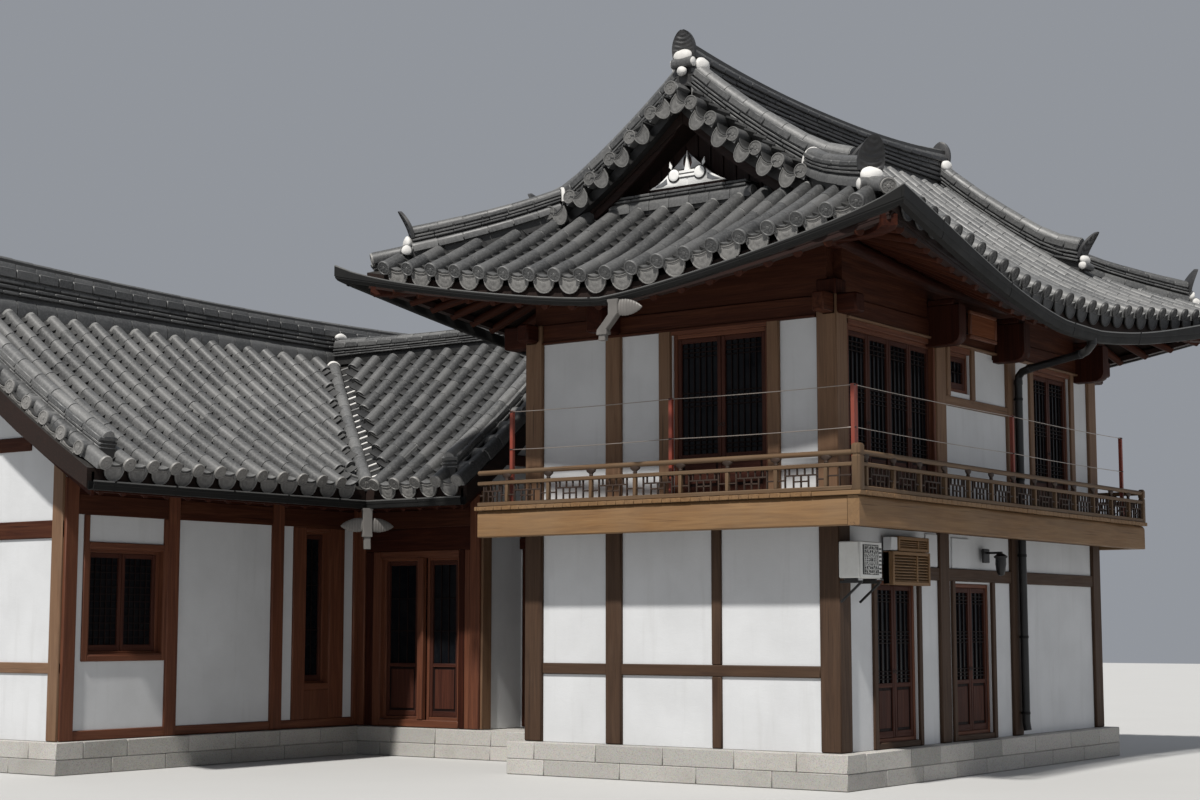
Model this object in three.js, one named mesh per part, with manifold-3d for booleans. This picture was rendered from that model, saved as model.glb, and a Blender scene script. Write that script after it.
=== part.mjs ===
// Hanok house: a two-storey front block with a hip-and-gable tiled roof and a
// balcony, and a one-storey wing and back range behind it. Millimetres, +Z up.
// House frame used while building: x along the long front, y towards the back,
// z up from the ground, zero at the outer corner of the near corner post.
import * as THREE from 'three';
import { mergeVertices } from 'three/addons/utils/BufferGeometryUtils.js';
import Module from 'manifold-3d';

const wasm = await Module();
wasm.setup();

// ---------------------------------------------------------------- dimensions
const MM = 1000;                    // all values below are in metres
const ORIGIN = [2.28, 5.825, 0];     // house-frame point that becomes the origin

// front block
const LX = 6.81, LY = 4.01;         // outside of the posts, long and short way
const Z_FLOOR1 = 0.36;              // top of the stone base and ground floor
const Z_DECK = 2.94;                // upper floor and balcony boards
const Z_LINTEL0 = 4.78, Z_LINTEL1 = 5.0;
const POST = 0.24;                  // square posts
const WALL_OUT = 0.04, WALL_IN = 0.24, POST_DEPTH = 0.17;
const POSTS_X = [0, 2.253, 4.12, 6.57];   // left edges of the front posts
const POST_Y_MID = 2.69;            // gable-side middle post, near edge

// main roof (tile-bed surface)
const XA = -1.25, XB = 8.06, YA = -1.10, YB = 5.11;   // corners of the tiled eaves
const YR = (YA + YB) / 2;           // ridge line
const D = (YB - YA) / 2;            // eaves to ridge, in plan
const ZEL = 5.145, ZES = 5.105;     // tile bed at the middle of the long and the short eaves
const HA = 0.5176, HBL = 0.070, HBS = 0.060;   // slope profile  h = HA d + HB d^2
const LIFT_P = 1.3, U_LONG = 4.3, U_SHORT = 3.3;
const BOW = 0.10, OUT = 0.20;       // the eaves bow outward in plan towards the corners
const X_VERGE0 = 0.22, X_GABLE0 = 0.55;     // left verge edge, left gable boards
const X_VERGE1 = 6.59, X_GABLE1 = 6.26;
const RIDGE_X0 = 0.12, RIDGE_X1 = 6.69;

// gutter
const GX0 = -1.50, GX1 = 8.31, GY0 = -1.57, GY1 = 5.58;
const GZ = 4.97, GLIFT = 0.60;

// balcony
const BX0 = -0.55, BX1 = 7.05, BY0 = -0.55, BY1 = 4.30;

// wing and back range
const WX0 = 1.6, WX1 = 4.8;         // wing walls
const WEX0 = 0.6, WEX1 = 5.8;       // wing eaves
const WRX = 3.2, KW = 2.6 / 3.1;    // wing ridge, and how much steeper the wing slopes are than the range's
const WY0 = 5.95, WV0 = 5.36;       // wing gable wall and verge
const RY0 = 8.0, RY1 = 12.2;        // range walls
const REY0 = 6.98, REY1 = 13.22;    // range eaves
const RRY = 10.1;                   // range ridge
const RX0 = -3.2, RX1 = 7.0;        // range end walls
const RV0 = -3.75, RV1 = 7.6;       // range verges
const ZE2 = 3.30, HA2 = 0.56, HB2 = 0.036;   // lower roofs' bed and profile
const Z_TOP2 = 3.32;                // top of the lower walls

// ------------------------------------------------------------------- helpers
const col = {
  stone: 0x8d8b86, plaster: 0xe4e4e0, wood: 0x6b3a1e, woodLight: 0x8a5f3a,
  woodDark: 0x3a1d12, tile: 0x4a4b4d, metal: 0x2b2c2f, red: 0x7c3128,
  glass: 0x20262a, grey: 0x9a9b98, board: 0x5a1f14,
};
const mat = (c, rough = 0.8, metal = 0) => new THREE.MeshStandardMaterial({ color: c, roughness: rough, metalness: metal });

function toManifold(geo) {
  const g = geo.clone();
  for (const k of Object.keys(g.attributes)) if (k !== 'position') g.deleteAttribute(k);
  const m = mergeVertices(g, 1e-4);
  const verts = new Float32Array(m.attributes.position.array);
  let idx = m.index ? Array.from(m.index.array) : [...Array(verts.length / 3).keys()];
  // faces must point outward
  let vol = 0;
  const P = i => [verts[3 * i], verts[3 * i + 1], verts[3 * i + 2]];
  for (let t = 0; t < idx.length; t += 3) {
    const [a, b, c] = [P(idx[t]), P(idx[t + 1]), P(idx[t + 2])];
    vol += (a[0] * (b[1] * c[2] - b[2] * c[1]) - a[1] * (b[0] * c[2] - b[2] * c[0]) + a[2] * (b[0] * c[1] - b[1] * c[0])) / 6;
  }
  if (vol < 0) for (let t = 0; t < idx.length; t += 3) [idx[t + 1], idx[t + 2]] = [idx[t + 2], idx[t + 1]];
  return new wasm.Manifold(new wasm.Mesh({ numProp: 3, vertProperties: verts, triVerts: new Uint32Array(idx) }));
}
function toGeometry(man) {
  const m = man.getMesh();
  const g = new THREE.BufferGeometry();
  const n = m.vertProperties.length / m.numProp;
  const pos = new Float32Array(n * 3);
  for (let i = 0; i < n; i++) for (let k = 0; k < 3; k++) pos[3 * i + k] = m.vertProperties[i * m.numProp + k];
  g.setAttribute('position', new THREE.BufferAttribute(pos, 3));
  g.setIndex(new THREE.BufferAttribute(new Uint32Array(m.triVerts), 1));
  g.computeVertexNormals();
  return g;
}
// solid box from corner to corner, metres in the house frame
function box(x0, x1, y0, y1, z0, z1) {
  const g = new THREE.BoxGeometry((x1 - x0) * MM, (y1 - y0) * MM, (z1 - z0) * MM);
  g.translate((x0 + x1) / 2 * MM, (y0 + y1) / 2 * MM, (z0 + z1) / 2 * MM);
  return toManifold(g);
}
const grow = (b, e = 0.0004) => box(b[0] - e, b[1] + e, b[2] - e, b[3] + e, b[4] - e, b[5] + e);
const boxes = list => list.map(b => box(...b)).reduce((a, b) => a.add(b));
const growAll = (list, e) => list.map(b => grow(b, e)).reduce((a, b) => a.add(b));
// closed slab over a grid of plan points, with a top and a bottom height
function gridSlab(nu, nv, plan, top, bottom) {
  const v = [], idx = [];
  const push = (x, y, z) => v.push(x * MM, y * MM, z * MM);
  for (let j = 0; j <= nv; j++) for (let i = 0; i <= nu; i++) { const q = plan(i / nu, j / nv); push(q[0], q[1], top(q)); }
  const N = (nu + 1) * (nv + 1);
  for (let j = 0; j <= nv; j++) for (let i = 0; i <= nu; i++) { const q = plan(i / nu, j / nv); push(q[0], q[1], bottom(q)); }
  const A = (i, j) => j * (nu + 1) + i;
  for (let j = 0; j < nv; j++) for (let i = 0; i < nu; i++) {
    const a = A(i, j), b = A(i + 1, j), c = A(i + 1, j + 1), d = A(i, j + 1);
    idx.push(a, b, c, a, c, d, a + N, c + N, b + N, a + N, d + N, c + N);
  }
  const side = (a, b) => idx.push(a, a + N, b + N, a, b + N, b);
  for (let i = 0; i < nu; i++) { side(A(i, 0), A(i + 1, 0)); side(A(i + 1, nv), A(i, nv)); }
  for (let j = 0; j < nv; j++) { side(A(nu, j), A(nu, j + 1)); side(A(0, j + 1), A(0, j)); }
  const g = new THREE.BufferGeometry();
  g.setAttribute('position', new THREE.Float32BufferAttribute(v, 3));
  g.setIndex(idx);
  return toManifold(g);
}
// closed body through a list of closed cross-sections (each a list of points)
function loft(rings, loop = false) {
  const v = [], idx = [], n = rings[0].length, m = rings.length;
  for (const r of rings) for (const p of r) v.push(p[0] * MM, p[1] * MM, p[2] * MM);
  const cnt = loop ? m : m - 1;
  for (let k = 0; k < cnt; k++) {
    const a = k * n, b = ((k + 1) % m) * n;
    for (let i = 0; i < n; i++) { const j = (i + 1) % n; idx.push(a + i, a + j, b + j, a + i, b + j, b + i); }
  }
  if (!loop) {
    const cap = (o, r, flip) => {
      const p3 = r.map(p => new THREE.Vector3(...p));
      const nrm = new THREE.Vector3();
      for (let i = 0; i < n; i++) { const a = p3[i], b = p3[(i + 1) % n]; nrm.x += (a.y - b.y) * (a.z + b.z); nrm.y += (a.z - b.z) * (a.x + b.x); nrm.z += (a.x - b.x) * (a.y + b.y); }
      nrm.normalize();
      const e1 = new THREE.Vector3(Math.abs(nrm.z) < 0.9 ? 0 : 1, 0, Math.abs(nrm.z) < 0.9 ? 1 : 0).cross(nrm).normalize();
      const e2 = nrm.clone().cross(e1);
      const c2 = p3.map(p => new THREE.Vector2(p.dot(e1), p.dot(e2)));
      for (const t of THREE.ShapeUtils.triangulateShape(c2, [])) idx.push(o + t[0], o + t[flip ? 2 : 1], o + t[flip ? 1 : 2]);
    };
    cap(0, rings[0], true); cap((m - 1) * n, rings[m - 1], false);
  }
  const g = new THREE.BufferGeometry();
  g.setAttribute('position', new THREE.Float32BufferAttribute(v, 3));
  g.setIndex(idx);
  return toManifold(g);
}
// upright prism over a plan polygon or wall prism over an elevation polygon
function prismXZ(poly, y0, y1) { return loft([poly.map(p => [p[0], y0, p[1]]), poly.map(p => [p[0], y1, p[1]])]); }
function prismYZ(poly, x0, x1) { return loft([poly.map(p => [x0, p[0], p[1]]), poly.map(p => [x1, p[0], p[1]])]); }

const house = new THREE.Group();
house.name = 'hanok_house';
house.position.set(-ORIGIN[0] * MM, -ORIGIN[1] * MM, -ORIGIN[2] * MM);
const made = {};
// cut a body clear of named neighbours, keeping a small gap, and keep its main piece
function clearOf(man, ...names) {
  let m = man; const e = 0.35;
  for (const n of names) {
    const b = made[n];
    for (const t of [[0, 0, 0], [e, 0, 0], [-e, 0, 0], [0, e, 0], [0, -e, 0], [0, 0, e], [0, 0, -e]]) m = m.subtract(b.translate(t));
  }
  const p = m.decompose(); p.sort((a, b) => b.volume() - a.volume());
  return p[0];
}
function put(name, man, material, ...neighbours) {
  if (neighbours.length) man = clearOf(man, ...neighbours);
  made[name] = man;
  const mesh = new THREE.Mesh(toGeometry(man), material);
  mesh.name = name;
  house.add(mesh);
}

// ------------------------------------------------------------- roof surfaces
const hL = d => HA * d + HBL * d * d, hS = d => HA * d + HBS * d * d;
const gFall = (u, U) => Math.pow(Math.max(0, 1 - u / U), LIFT_P);
// rise of the bed towards the corners of an eave
function liftL(x, d) {
  const l = 0.44 * Math.pow(Math.max(0, 1 - Math.max(0, x - XA) / 3.6), 1.1), r = 0.44 * Math.pow(Math.max(0, 1 - Math.max(0, XB - x) / 4.1), 1.4);
  return (l + r) * Math.max(0, 1 - Math.pow(Math.max(0, d) / 3.15, 1.5));
}
function liftS(y, d) {
  const f = u => 0.48 * Math.pow(Math.max(0, 1 - Math.max(0, u) / 3.15), 1.3);
  return (f(y - YA + OUT) + f(YB + OUT - y)) * Math.max(0, 1 - Math.pow(Math.max(0, d) / 2.0, 4));
}
// bed height of the long slopes and of the short skirts
function zLong(x, dd) { return ZEL + hL(dd) + liftL(x, dd); }
function zShort(y, dd) { return ZES + hS(dd) + liftS(y, dd); }
const soffitLine = dd => dd < 1.5 ? -0.10 + 0.52 * dd : 0.68 + 0.80 * (dd - 1.5);
const bLong = (x, dd) => ZEL + soffitLine(dd) + liftL(x, dd);
const bShort = (y, dd) => ZES + soffitLine(dd) + liftS(y, dd);
const near0 = dd => Math.max(0, 1 - dd / 1.1);
const bowL = (x, dd) => (BOW - (BOW + OUT) * Math.min(1, gFall(x - XA, U_LONG) + gFall(XB - x, U_LONG))) * near0(dd);
const bowS = (y, dd) => BOW * (1 - Math.min(1, gFall(Math.max(0, y - YA), U_SHORT) + gFall(Math.max(0, YB - y), U_SHORT))) * near0(dd);

const GAP = 0.006;
const rowsLong = [0, 0.35, 0.75, 1.15, 1.465, 1.475, 1.9, 2.5, D - 0.003];
function longSlope(front) {
  return gridSlab(16, rowsLong.length - 1, (u, v) => {
    const dd = rowsLong[Math.round(v * (rowsLong.length - 1))];
    const xl = dd < 1.47 ? XA + dd + GAP : X_VERGE0, xr = dd < 1.47 ? XB - dd - GAP : X_VERGE1;
    const x = xl + (xr - xl) * u;
    const b = bowL(x, dd);
    return [x, front ? YA + dd + b : YB - dd - b, dd];
  }, q => zLong(q[0], q[2]), q => bLong(q[0], q[2]));
}
put('main_roof_front_slope', longSlope(true), mat(col.tile, 0.75));
put('main_roof_back_slope', longSlope(false), mat(col.tile, 0.75));

const rowsShort = [0, 0.35, 0.75, 1.1, 1.40, 1.46, 1.79];
function skirt(left) {
  return gridSlab(12, rowsShort.length - 1, (u, v) => {
    const dd = rowsShort[Math.round(v * (rowsShort.length - 1))];
    const e = dd < 1.42 ? GAP : 0.40;
    const yl = YA - OUT * near0(dd) + dd + e, yr = YB + OUT * near0(dd) - dd - e;
    const y = yl + (yr - yl) * u;
    const b = bowS(y, dd);
    return [left ? XA + dd + b : XB - dd - b, y, dd];
  }, q => zShort(q[1], q[2]), q => bShort(q[1], q[2]));
}
put('main_roof_left_skirt', skirt(true), mat(col.tile, 0.75), 'main_roof_front_slope', 'main_roof_back_slope');
put('main_roof_right_skirt', skirt(false), mat(col.tile, 0.75), 'main_roof_front_slope', 'main_roof_back_slope');

// gable boards stand on the skirt's upper edge, under the long slopes
function gable(x0, x1, outer, dir) {
  const pts = [];
  const base = ZES + hS(1.79) + 0.03;
  const under = y => bLong(0.6, Math.min(y - YA, YB - y)) - 0.002;
  const ys = [];
  for (let y = YA + 0.9; y <= YB - 0.9 + 1e-6; y += (YB - YA - 1.8) / 24) if (under(y) > base + 0.02) ys.push(y);
  pts.push([ys[0], base], ...ys.map(y => [y, under(y)]), [ys[ys.length - 1], base]);
  let m = prismYZ(pts, x0, x1);
  // plaster ornament on the boards
  const oy = 2.08, oz = 6.49;
  m = m.add(prismYZ([[oy - 0.52, oz], [oy + 0.52, oz], [oy + 0.30, oz + 0.16], [oy + 0.08, oz + 0.40], [oy - 0.08, oz + 0.40], [oy - 0.30, oz + 0.16]], Math.min(outer, outer - dir * 0.03), Math.max(outer, outer - dir * 0.03)));
  return m;
}
put('gable_wall_left', gable(X_GABLE0, X_GABLE0 + 0.06, X_GABLE0 + 0.001, 1), mat(col.board), 'main_roof_front_slope', 'main_roof_back_slope', 'main_roof_left_skirt');
put('gable_wall_right', gable(X_GABLE1 - 0.06, X_GABLE1, X_GABLE1 - 0.001, -1), mat(col.board), 'main_roof_front_slope', 'main_roof_back_slope', 'main_roof_right_skirt');

// main ridge: a course with slack in the middle and raised ends
{
  const xs = [RIDGE_X0, 0.3, 0.9, 1.7, 2.6, 3.4, 4.2, 5.1, 5.9, 6.5, RIDGE_X1];
  const rings = xs.map(x => {
    const s = Math.abs((x - 3.405) / 3.285);
    const top = 7.86 + 0.20 * Math.pow(s, 2.2), bot = 7.30;
    return [[x, YR - 0.15, bot], [x, YR, bot + 0.14], [x, YR + 0.15, bot], [x, YR + 0.13, top - 0.05], [x, YR + 0.06, top], [x, YR - 0.06, top], [x, YR - 0.13, top - 0.05]];
  });
  let m = loft(rings);
  for (const x of [RIDGE_X0 - 0.02, RIDGE_X1 - 0.06]) m = m.add(box(x, x + 0.08, YR - 0.13, YR + 0.13, 7.62, 8.19));
  put('main_ridge', m, mat(col.tile, 0.75), 'main_roof_front_slope', 'main_roof_back_slope');
}
// descending ridges along the verges and hip ridges to the corners, one pair a gable
function gableRidges(left) {
  const X = x => left ? x : (XA + XB) - x;
  const parts = [];
  for (const front of [true, false]) {
    const Y = dd => front ? YA + dd : YB - dd;
    const sec = (x, dd, w, hgt, zb, diag) => {
      const o = diag ? -OUT * near0(dd) : 0;
      const y = front ? YA + dd + o : YB - dd - o, nx = diag ? -0.7071 * w : -w, ny = diag ? (front ? 0.7071 : -0.7071) * w : 0;
      return [[X(x + nx), y + ny, zb], [X(x - nx), y - ny, zb], [X(x - nx * 0.8), y - ny * 0.8, zb + hgt * 0.8], [X(x - nx * 0.3), y - ny * 0.3, zb + hgt], [X(x + nx * 0.3), y + ny * 0.3, zb + hgt], [X(x + nx * 0.8), y + ny * 0.8, zb + hgt * 0.8]];
    };
    // the descending ridge runs flatter than the tiles and stands higher at its foot
    const top1 = dd => dd > 1.442 ? 6.66 + 0.60 * (dd - 1.442) + 0.085 * (dd - 1.442) * (dd - 1.442) : 6.66 + 0.30 * (dd - 1.442);
    const r1 = [D - 0.20, 2.5, 2.1, 1.7, 1.42, 1.08].map(dd => { const z = zLong(0.42, dd) + 0.004; return sec(0.40, dd, 0.12, top1(dd) - z, z, false); });
    parts.push(loft(r1));
    const bedAt = dd => Math.max(zLong(XA + dd, dd), zShort(YA + dd - OUT * near0(dd), dd)) + 0.012;
    const r2 = [1.46, 1.3, 0.95, 0.6, 0.30, 0.16].map(dd => sec(XA + dd, dd, 0.12, 0.42, bedAt(dd), true));
    parts.push(loft(r2));
    const r3 = [0.25, 0.13].map(dd => { const z = bedAt(dd) + 0.1; return sec(XA + dd, dd, 0.12, 0.48, z, true); });
    parts.push(loft(r3));
    const r4 = [[1.13, 6.20, 0.38], [0.98, 6.36, 0.26], [0.84, 6.50, 0.14]].map(q => sec(0.40, q[0], 0.12, q[2], q[1], false));
    parts.push(loft(r4));
  }
  return parts;
}
for (const left of [true, false]) {
  const p = gableRidges(left), e = left ? 'left' : 'right';
  const near = ['main_roof_front_slope', 'main_roof_back_slope', 'main_roof_' + e + '_skirt', 'gable_wall_' + e, 'main_ridge'];
  put('hip_ridge_front_' + e, p[0].add(p[1]).add(p[2]).add(p[3]), mat(col.tile, 0.75), ...near);
  put('hip_ridge_back_' + e, p[4].add(p[5]).add(p[6]).add(p[7]), mat(col.tile, 0.75), ...near);
}

// gutter round the eaves: an open trough that rises to the corners
{
  const pts = [];
  const N1 = 14, N2 = 10;
  const sideLong = (front, rev) => {
    for (let i = 0; i < N1; i++) {
      const t = (rev ? 1 - i / N1 : i / N1), x = GX0 + (GX1 - GX0) * t, u0 = x - GX0, u1 = GX1 - x;
      const g = gFall(u0, U_LONG + 0.2) + gFall(u1, U_LONG + 0.2);
      const e = (0.30) * (1 - g);
      pts.push([x, front ? GY0 + e : GY1 - e, GZ + GLIFT * g, 0, front ? -1 : 1, i === 0 ? (rev ? 1 : -1) : 0]);
    }
  };
  const sideShort = (left, rev) => {
    for (let i = 0; i < N2; i++) {
      const t = (rev ? 1 - i / N2 : i / N2), y = GY0 + (GY1 - GY0) * t, u0 = y - GY0, u1 = GY1 - y;
      const g = gFall(u0, U_SHORT + 0.27) + gFall(u1, U_SHORT + 0.27);
      const e = (0.14) * (1 - g);
      pts.push([left ? GX0 + e : GX1 - e, y, GZ + GLIFT * g, left ? -1 : 1, 0, i === 0 ? 2 : 0]);
    }
  };
  sideLong(true, false); sideShort(false, false); sideLong(false, true); sideShort(true, true);
  const n = pts.length;
  const rings = pts.map((p, k) => {
    const a = pts[(k + n - 1) % n], b = pts[(k + 1) % n];
    const d1 = new THREE.Vector2(p[0] - a[0], p[1] - a[1]).normalize(), d2 = new THREE.Vector2(b[0] - p[0], b[1] - p[1]).normalize();
    const n1 = new THREE.Vector2(d1.y, -d1.x), n2 = new THREE.Vector2(d2.y, -d2.x);
    const m = n1.clone().add(n2).normalize(); const s = 1 / Math.max(0.5, m.dot(n1));
    const out = m.multiplyScalar(s);          // outward
    const Q = (o, z) => [p[0] + out.x * o, p[1] + out.y * o, p[2] + z];
    return [Q(0, 0), Q(0, -0.14), Q(-0.11, -0.14), Q(-0.11, -0.02), Q(-0.095, -0.02), Q(-0.095, -0.125), Q(-0.015, -0.125), Q(-0.015, 0)];
  });
  put('main_gutter', loft(rings, true), mat(col.metal, 0.45, 0.6));
}

// ---------------------------------------------------------- front block body
put('upper_floor', box(WALL_IN + 0.001, LX - WALL_IN - 0.001, WALL_IN + 0.001, LY - WALL_IN - 0.001, Z_DECK - 0.2, Z_DECK), mat(col.wood));

// door and window openings: [u0, u1, z0, z1] along each side
const OPEN = {
  upper_front_doors_wide: [0.283, 2.247, 2.98, 4.72],
  upper_front_window: [2.667, 3.158, 4.25, 4.71],
  upper_front_doors_narrow: [4.90, 6.0, 2.98, 4.725],
  lower_front_door_left: [0.83, 1.74, 0.42, 2.10],
  lower_front_door_right: [2.66, 3.58, 0.42, 2.10],
};
const OPEN_L = { upper_left_doors: [0.836, 2.03, 2.98, 4.74] };
const OPEN_R = { upper_right_window: [1.0, 2.2, 3.6, 4.6] };

const frameFront = [
  ...POSTS_X.map(x => [x, x + POST, 0, POST_DEPTH, Z_FLOOR1 + 0.001, 5.0]),
  [0, LX, 0.0, POST_DEPTH, Z_LINTEL0, Z_LINTEL1],
  [0, LX, 0.0, POST_DEPTH, 2.64, 2.93],
  [2.45, 4.2, 0.01, 0.12, 4.08, 4.19],
  [3.17, 3.27, 0.01, 0.12, 4.1, 4.85],
  [4.78, 4.89, 0.01, 0.12, 2.8, 4.85], [6.01, 6.13, 0.01, 0.12, 2.8, 4.85],
  [0.2, 2.3, 0.01, 0.12, 2.12, 2.26], [2.3, 4.2, 0.01, 0.12, 2.12, 2.26], [4.2, 6.6, 0.01, 0.12, 2.12, 2.26],
  [0.74, 0.82, 0.01, 0.12, 0.361, 2.2], [1.75, 1.83, 0.01, 0.12, 0.361, 2.2],
  [2.57, 2.65, 0.01, 0.12, 0.361, 2.2], [3.59, 3.68, 0.01, 0.12, 0.361, 2.2],
];
const frameBack = frameFront.slice(0, 6).map(b => [b[0], b[1], LY - POST_DEPTH, LY, b[4], b[5]]);
const frameLeft = [
  [0, POST_DEPTH, POST + 0.001, LY - POST - 0.001, Z_LINTEL0, Z_LINTEL1],
  [0, POST_DEPTH, POST + 0.001, LY - POST - 0.001, 2.64, 2.93],
  [0, POST_DEPTH, POST_Y_MID, POST_Y_MID + 0.21, Z_FLOOR1 + 0.001, 5.0],
  [0.01, 0.12, 0.69, 0.826, 2.8, 4.85], [0.01, 0.12, 2.04, 2.18, 2.8, 4.85],
  [0.01, 0.12, POST + 0.001, LY - POST - 0.001, 1.1, 1.22],
];
const frameRight = frameLeft.slice(0, 3).map(b => [LX - b[1], LX - b[0], b[2], b[3], b[4], b[5]]);
const Fm = { front: boxes(frameFront), back: boxes(frameBack), left: boxes(frameLeft), right: boxes(frameRight) };
const Fg = [...frameFront, ...frameBack, ...frameLeft, ...frameRight];
const fg = growAll(Fg, 0.0004);
for (const k of ['front', 'back', 'left', 'right']) {
  let m = Fm[k];
  if (k === 'front') { for (const x of [2.03, 3.72, 6.1]) m = m.add(box(x - 0.09, x + 0.09, -0.33, 0.05, 4.72, 4.99)); }
  put('timber_frame_' + k, m, mat(col.wood));
}
// infill walls, split off the posts and beams, with openings right through
const cutOpen = (m, o, f) => Object.values(o).reduce((a, b) => a.subtract(f(b)), m);
let wF = box(POST + 0.001, LX - POST - 0.001, WALL_OUT, WALL_IN, Z_FLOOR1 + 0.001, 4.995);
wF = cutOpen(wF, OPEN, b => box(b[0], b[1], -0.2, 0.5, b[2], b[3])).subtract(fg);
let wB = box(POST + 0.001, LX - POST - 0.001, LY - WALL_IN, LY - WALL_OUT, Z_FLOOR1 + 0.001, 4.995);
wB = wB.subtract(box(3.1, 3.9, LY - 0.5, LY + 0.2, Z_FLOOR1 - 0.1, 2.4)).subtract(fg);
let wL = box(WALL_OUT, WALL_IN, WALL_IN + 0.001, LY - WALL_IN - 0.001, Z_FLOOR1 + 0.001, 4.995);
wL = cutOpen(wL, OPEN_L, b => box(-0.2, 0.5, b[0], b[1], b[2], b[3])).subtract(fg);
let wR = box(LX - WALL_IN, LX - WALL_OUT, WALL_IN + 0.001, LY - WALL_IN - 0.001, Z_FLOOR1 + 0.001, 4.995);
wR = cutOpen(wR, OPEN_R, b => box(LX - 0.5, LX + 0.2, b[0], b[1], b[2], b[3])).subtract(fg);
put('front_wall', wF, mat(col.plaster, 0.9), 'timber_frame_front', 'timber_frame_back', 'timber_frame_left', 'timber_frame_right');
put('back_wall', wB, mat(col.plaster, 0.9), 'timber_frame_front', 'timber_frame_back', 'timber_frame_left', 'timber_frame_right');
put('left_wall', wL, mat(col.plaster, 0.9), 'timber_frame_front', 'timber_frame_back', 'timber_frame_left', 'timber_frame_right');
put('right_wall', wR, mat(col.plaster, 0.9), 'timber_frame_front', 'timber_frame_back', 'timber_frame_left', 'timber_frame_right');

// joinery: a frame with leaves and sunk glass panels on both faces
function joinery(b, leaves, place) {
  const g = 0.003, w = b[1] - b[0] - 2 * g, hh = b[3] - b[2] - 2 * g;
  let m = box(0, w, 0, 0.06, 0, hh);
  const lw = (w - 0.08) / leaves;
  for (let i = 0; i < leaves; i++) {
    const a = 0.04 + lw * i + 0.05, c = 0.04 + lw * (i + 1) - 0.05;
    for (const yy of [[-0.01, 0.024], [0.036, 0.07]]) m = m.subtract(box(a, c, yy[0], yy[1], 0.10, hh - 0.09));
  }
  return m.translate([0, 0, 0]).transform(place(b[0] + g, b[2] + g));
}
const shift = (x, y, z) => [1, 0, 0, 0, 0, 1, 0, 0, 0, 0, 1, 0, x * MM, y * MM, z * MM, 1];
const turnL = (x, y, z) => [0, 1, 0, 0, 1, 0, 0, 0, 0, 0, 1, 0, x * MM, y * MM, z * MM, 1];
const leafCount = { upper_front_doors_wide: 4, upper_front_window: 1, upper_front_doors_narrow: 2, lower_front_door_left: 2, lower_front_door_right: 2, upper_left_doors: 2, upper_right_window: 2 };
for (const [n, b] of Object.entries(OPEN)) put(n, joinery(b, leafCount[n], (u, z) => shift(u, 0.07, z)), mat(col.woodDark));
for (const [n, b] of Object.entries(OPEN_L)) put(n, joinery(b, leafCount[n], (u, z) => turnL(0.07, u, z)), mat(col.woodDark));
for (const [n, b] of Object.entries(OPEN_R)) put(n, joinery(b, leafCount[n], (u, z) => turnL(LX - 0.13, u, z)), mat(col.woodDark));

// eave beams on the walls, shaped on top to the rafters
{
  const ztL = (x, dd) => bLong(x, dd) - 0.175, ztS = (y, dd) => bShort(y, dd) - 0.175;
  const xs = []; for (let i = 0; i <= 12; i++) xs.push(-0.02 + (LX + 0.04) * i / 12);
  const ys = []; for (let i = 0; i <= 8; i++) ys.push(-0.02 + (LY + 0.04) * i / 8);
  const zb = 5.003;
  const fb = (y0, y1, dd) => loft(xs.map(x => { const z = ztL(x, dd); return [[x, y0, zb], [x, y1, zb], [x, y1, z], [x, y0, z]]; }));
  const sb = (x0, x1, dd) => loft(ys.map(y => { const z = ztS(y, dd); return [[x0, y, zb], [x1, y, zb], [x1, y, z], [x0, y, z]]; }));
  const m = fb(-0.02, 0.22, 1.075).add(fb(LY - 0.22, LY + 0.02, 1.075)).add(sb(-0.02, 0.22, 1.22)).add(sb(LX - 0.22, LX + 0.02, 1.22));
  put('eave_beams', m, mat(col.wood));
}
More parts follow.
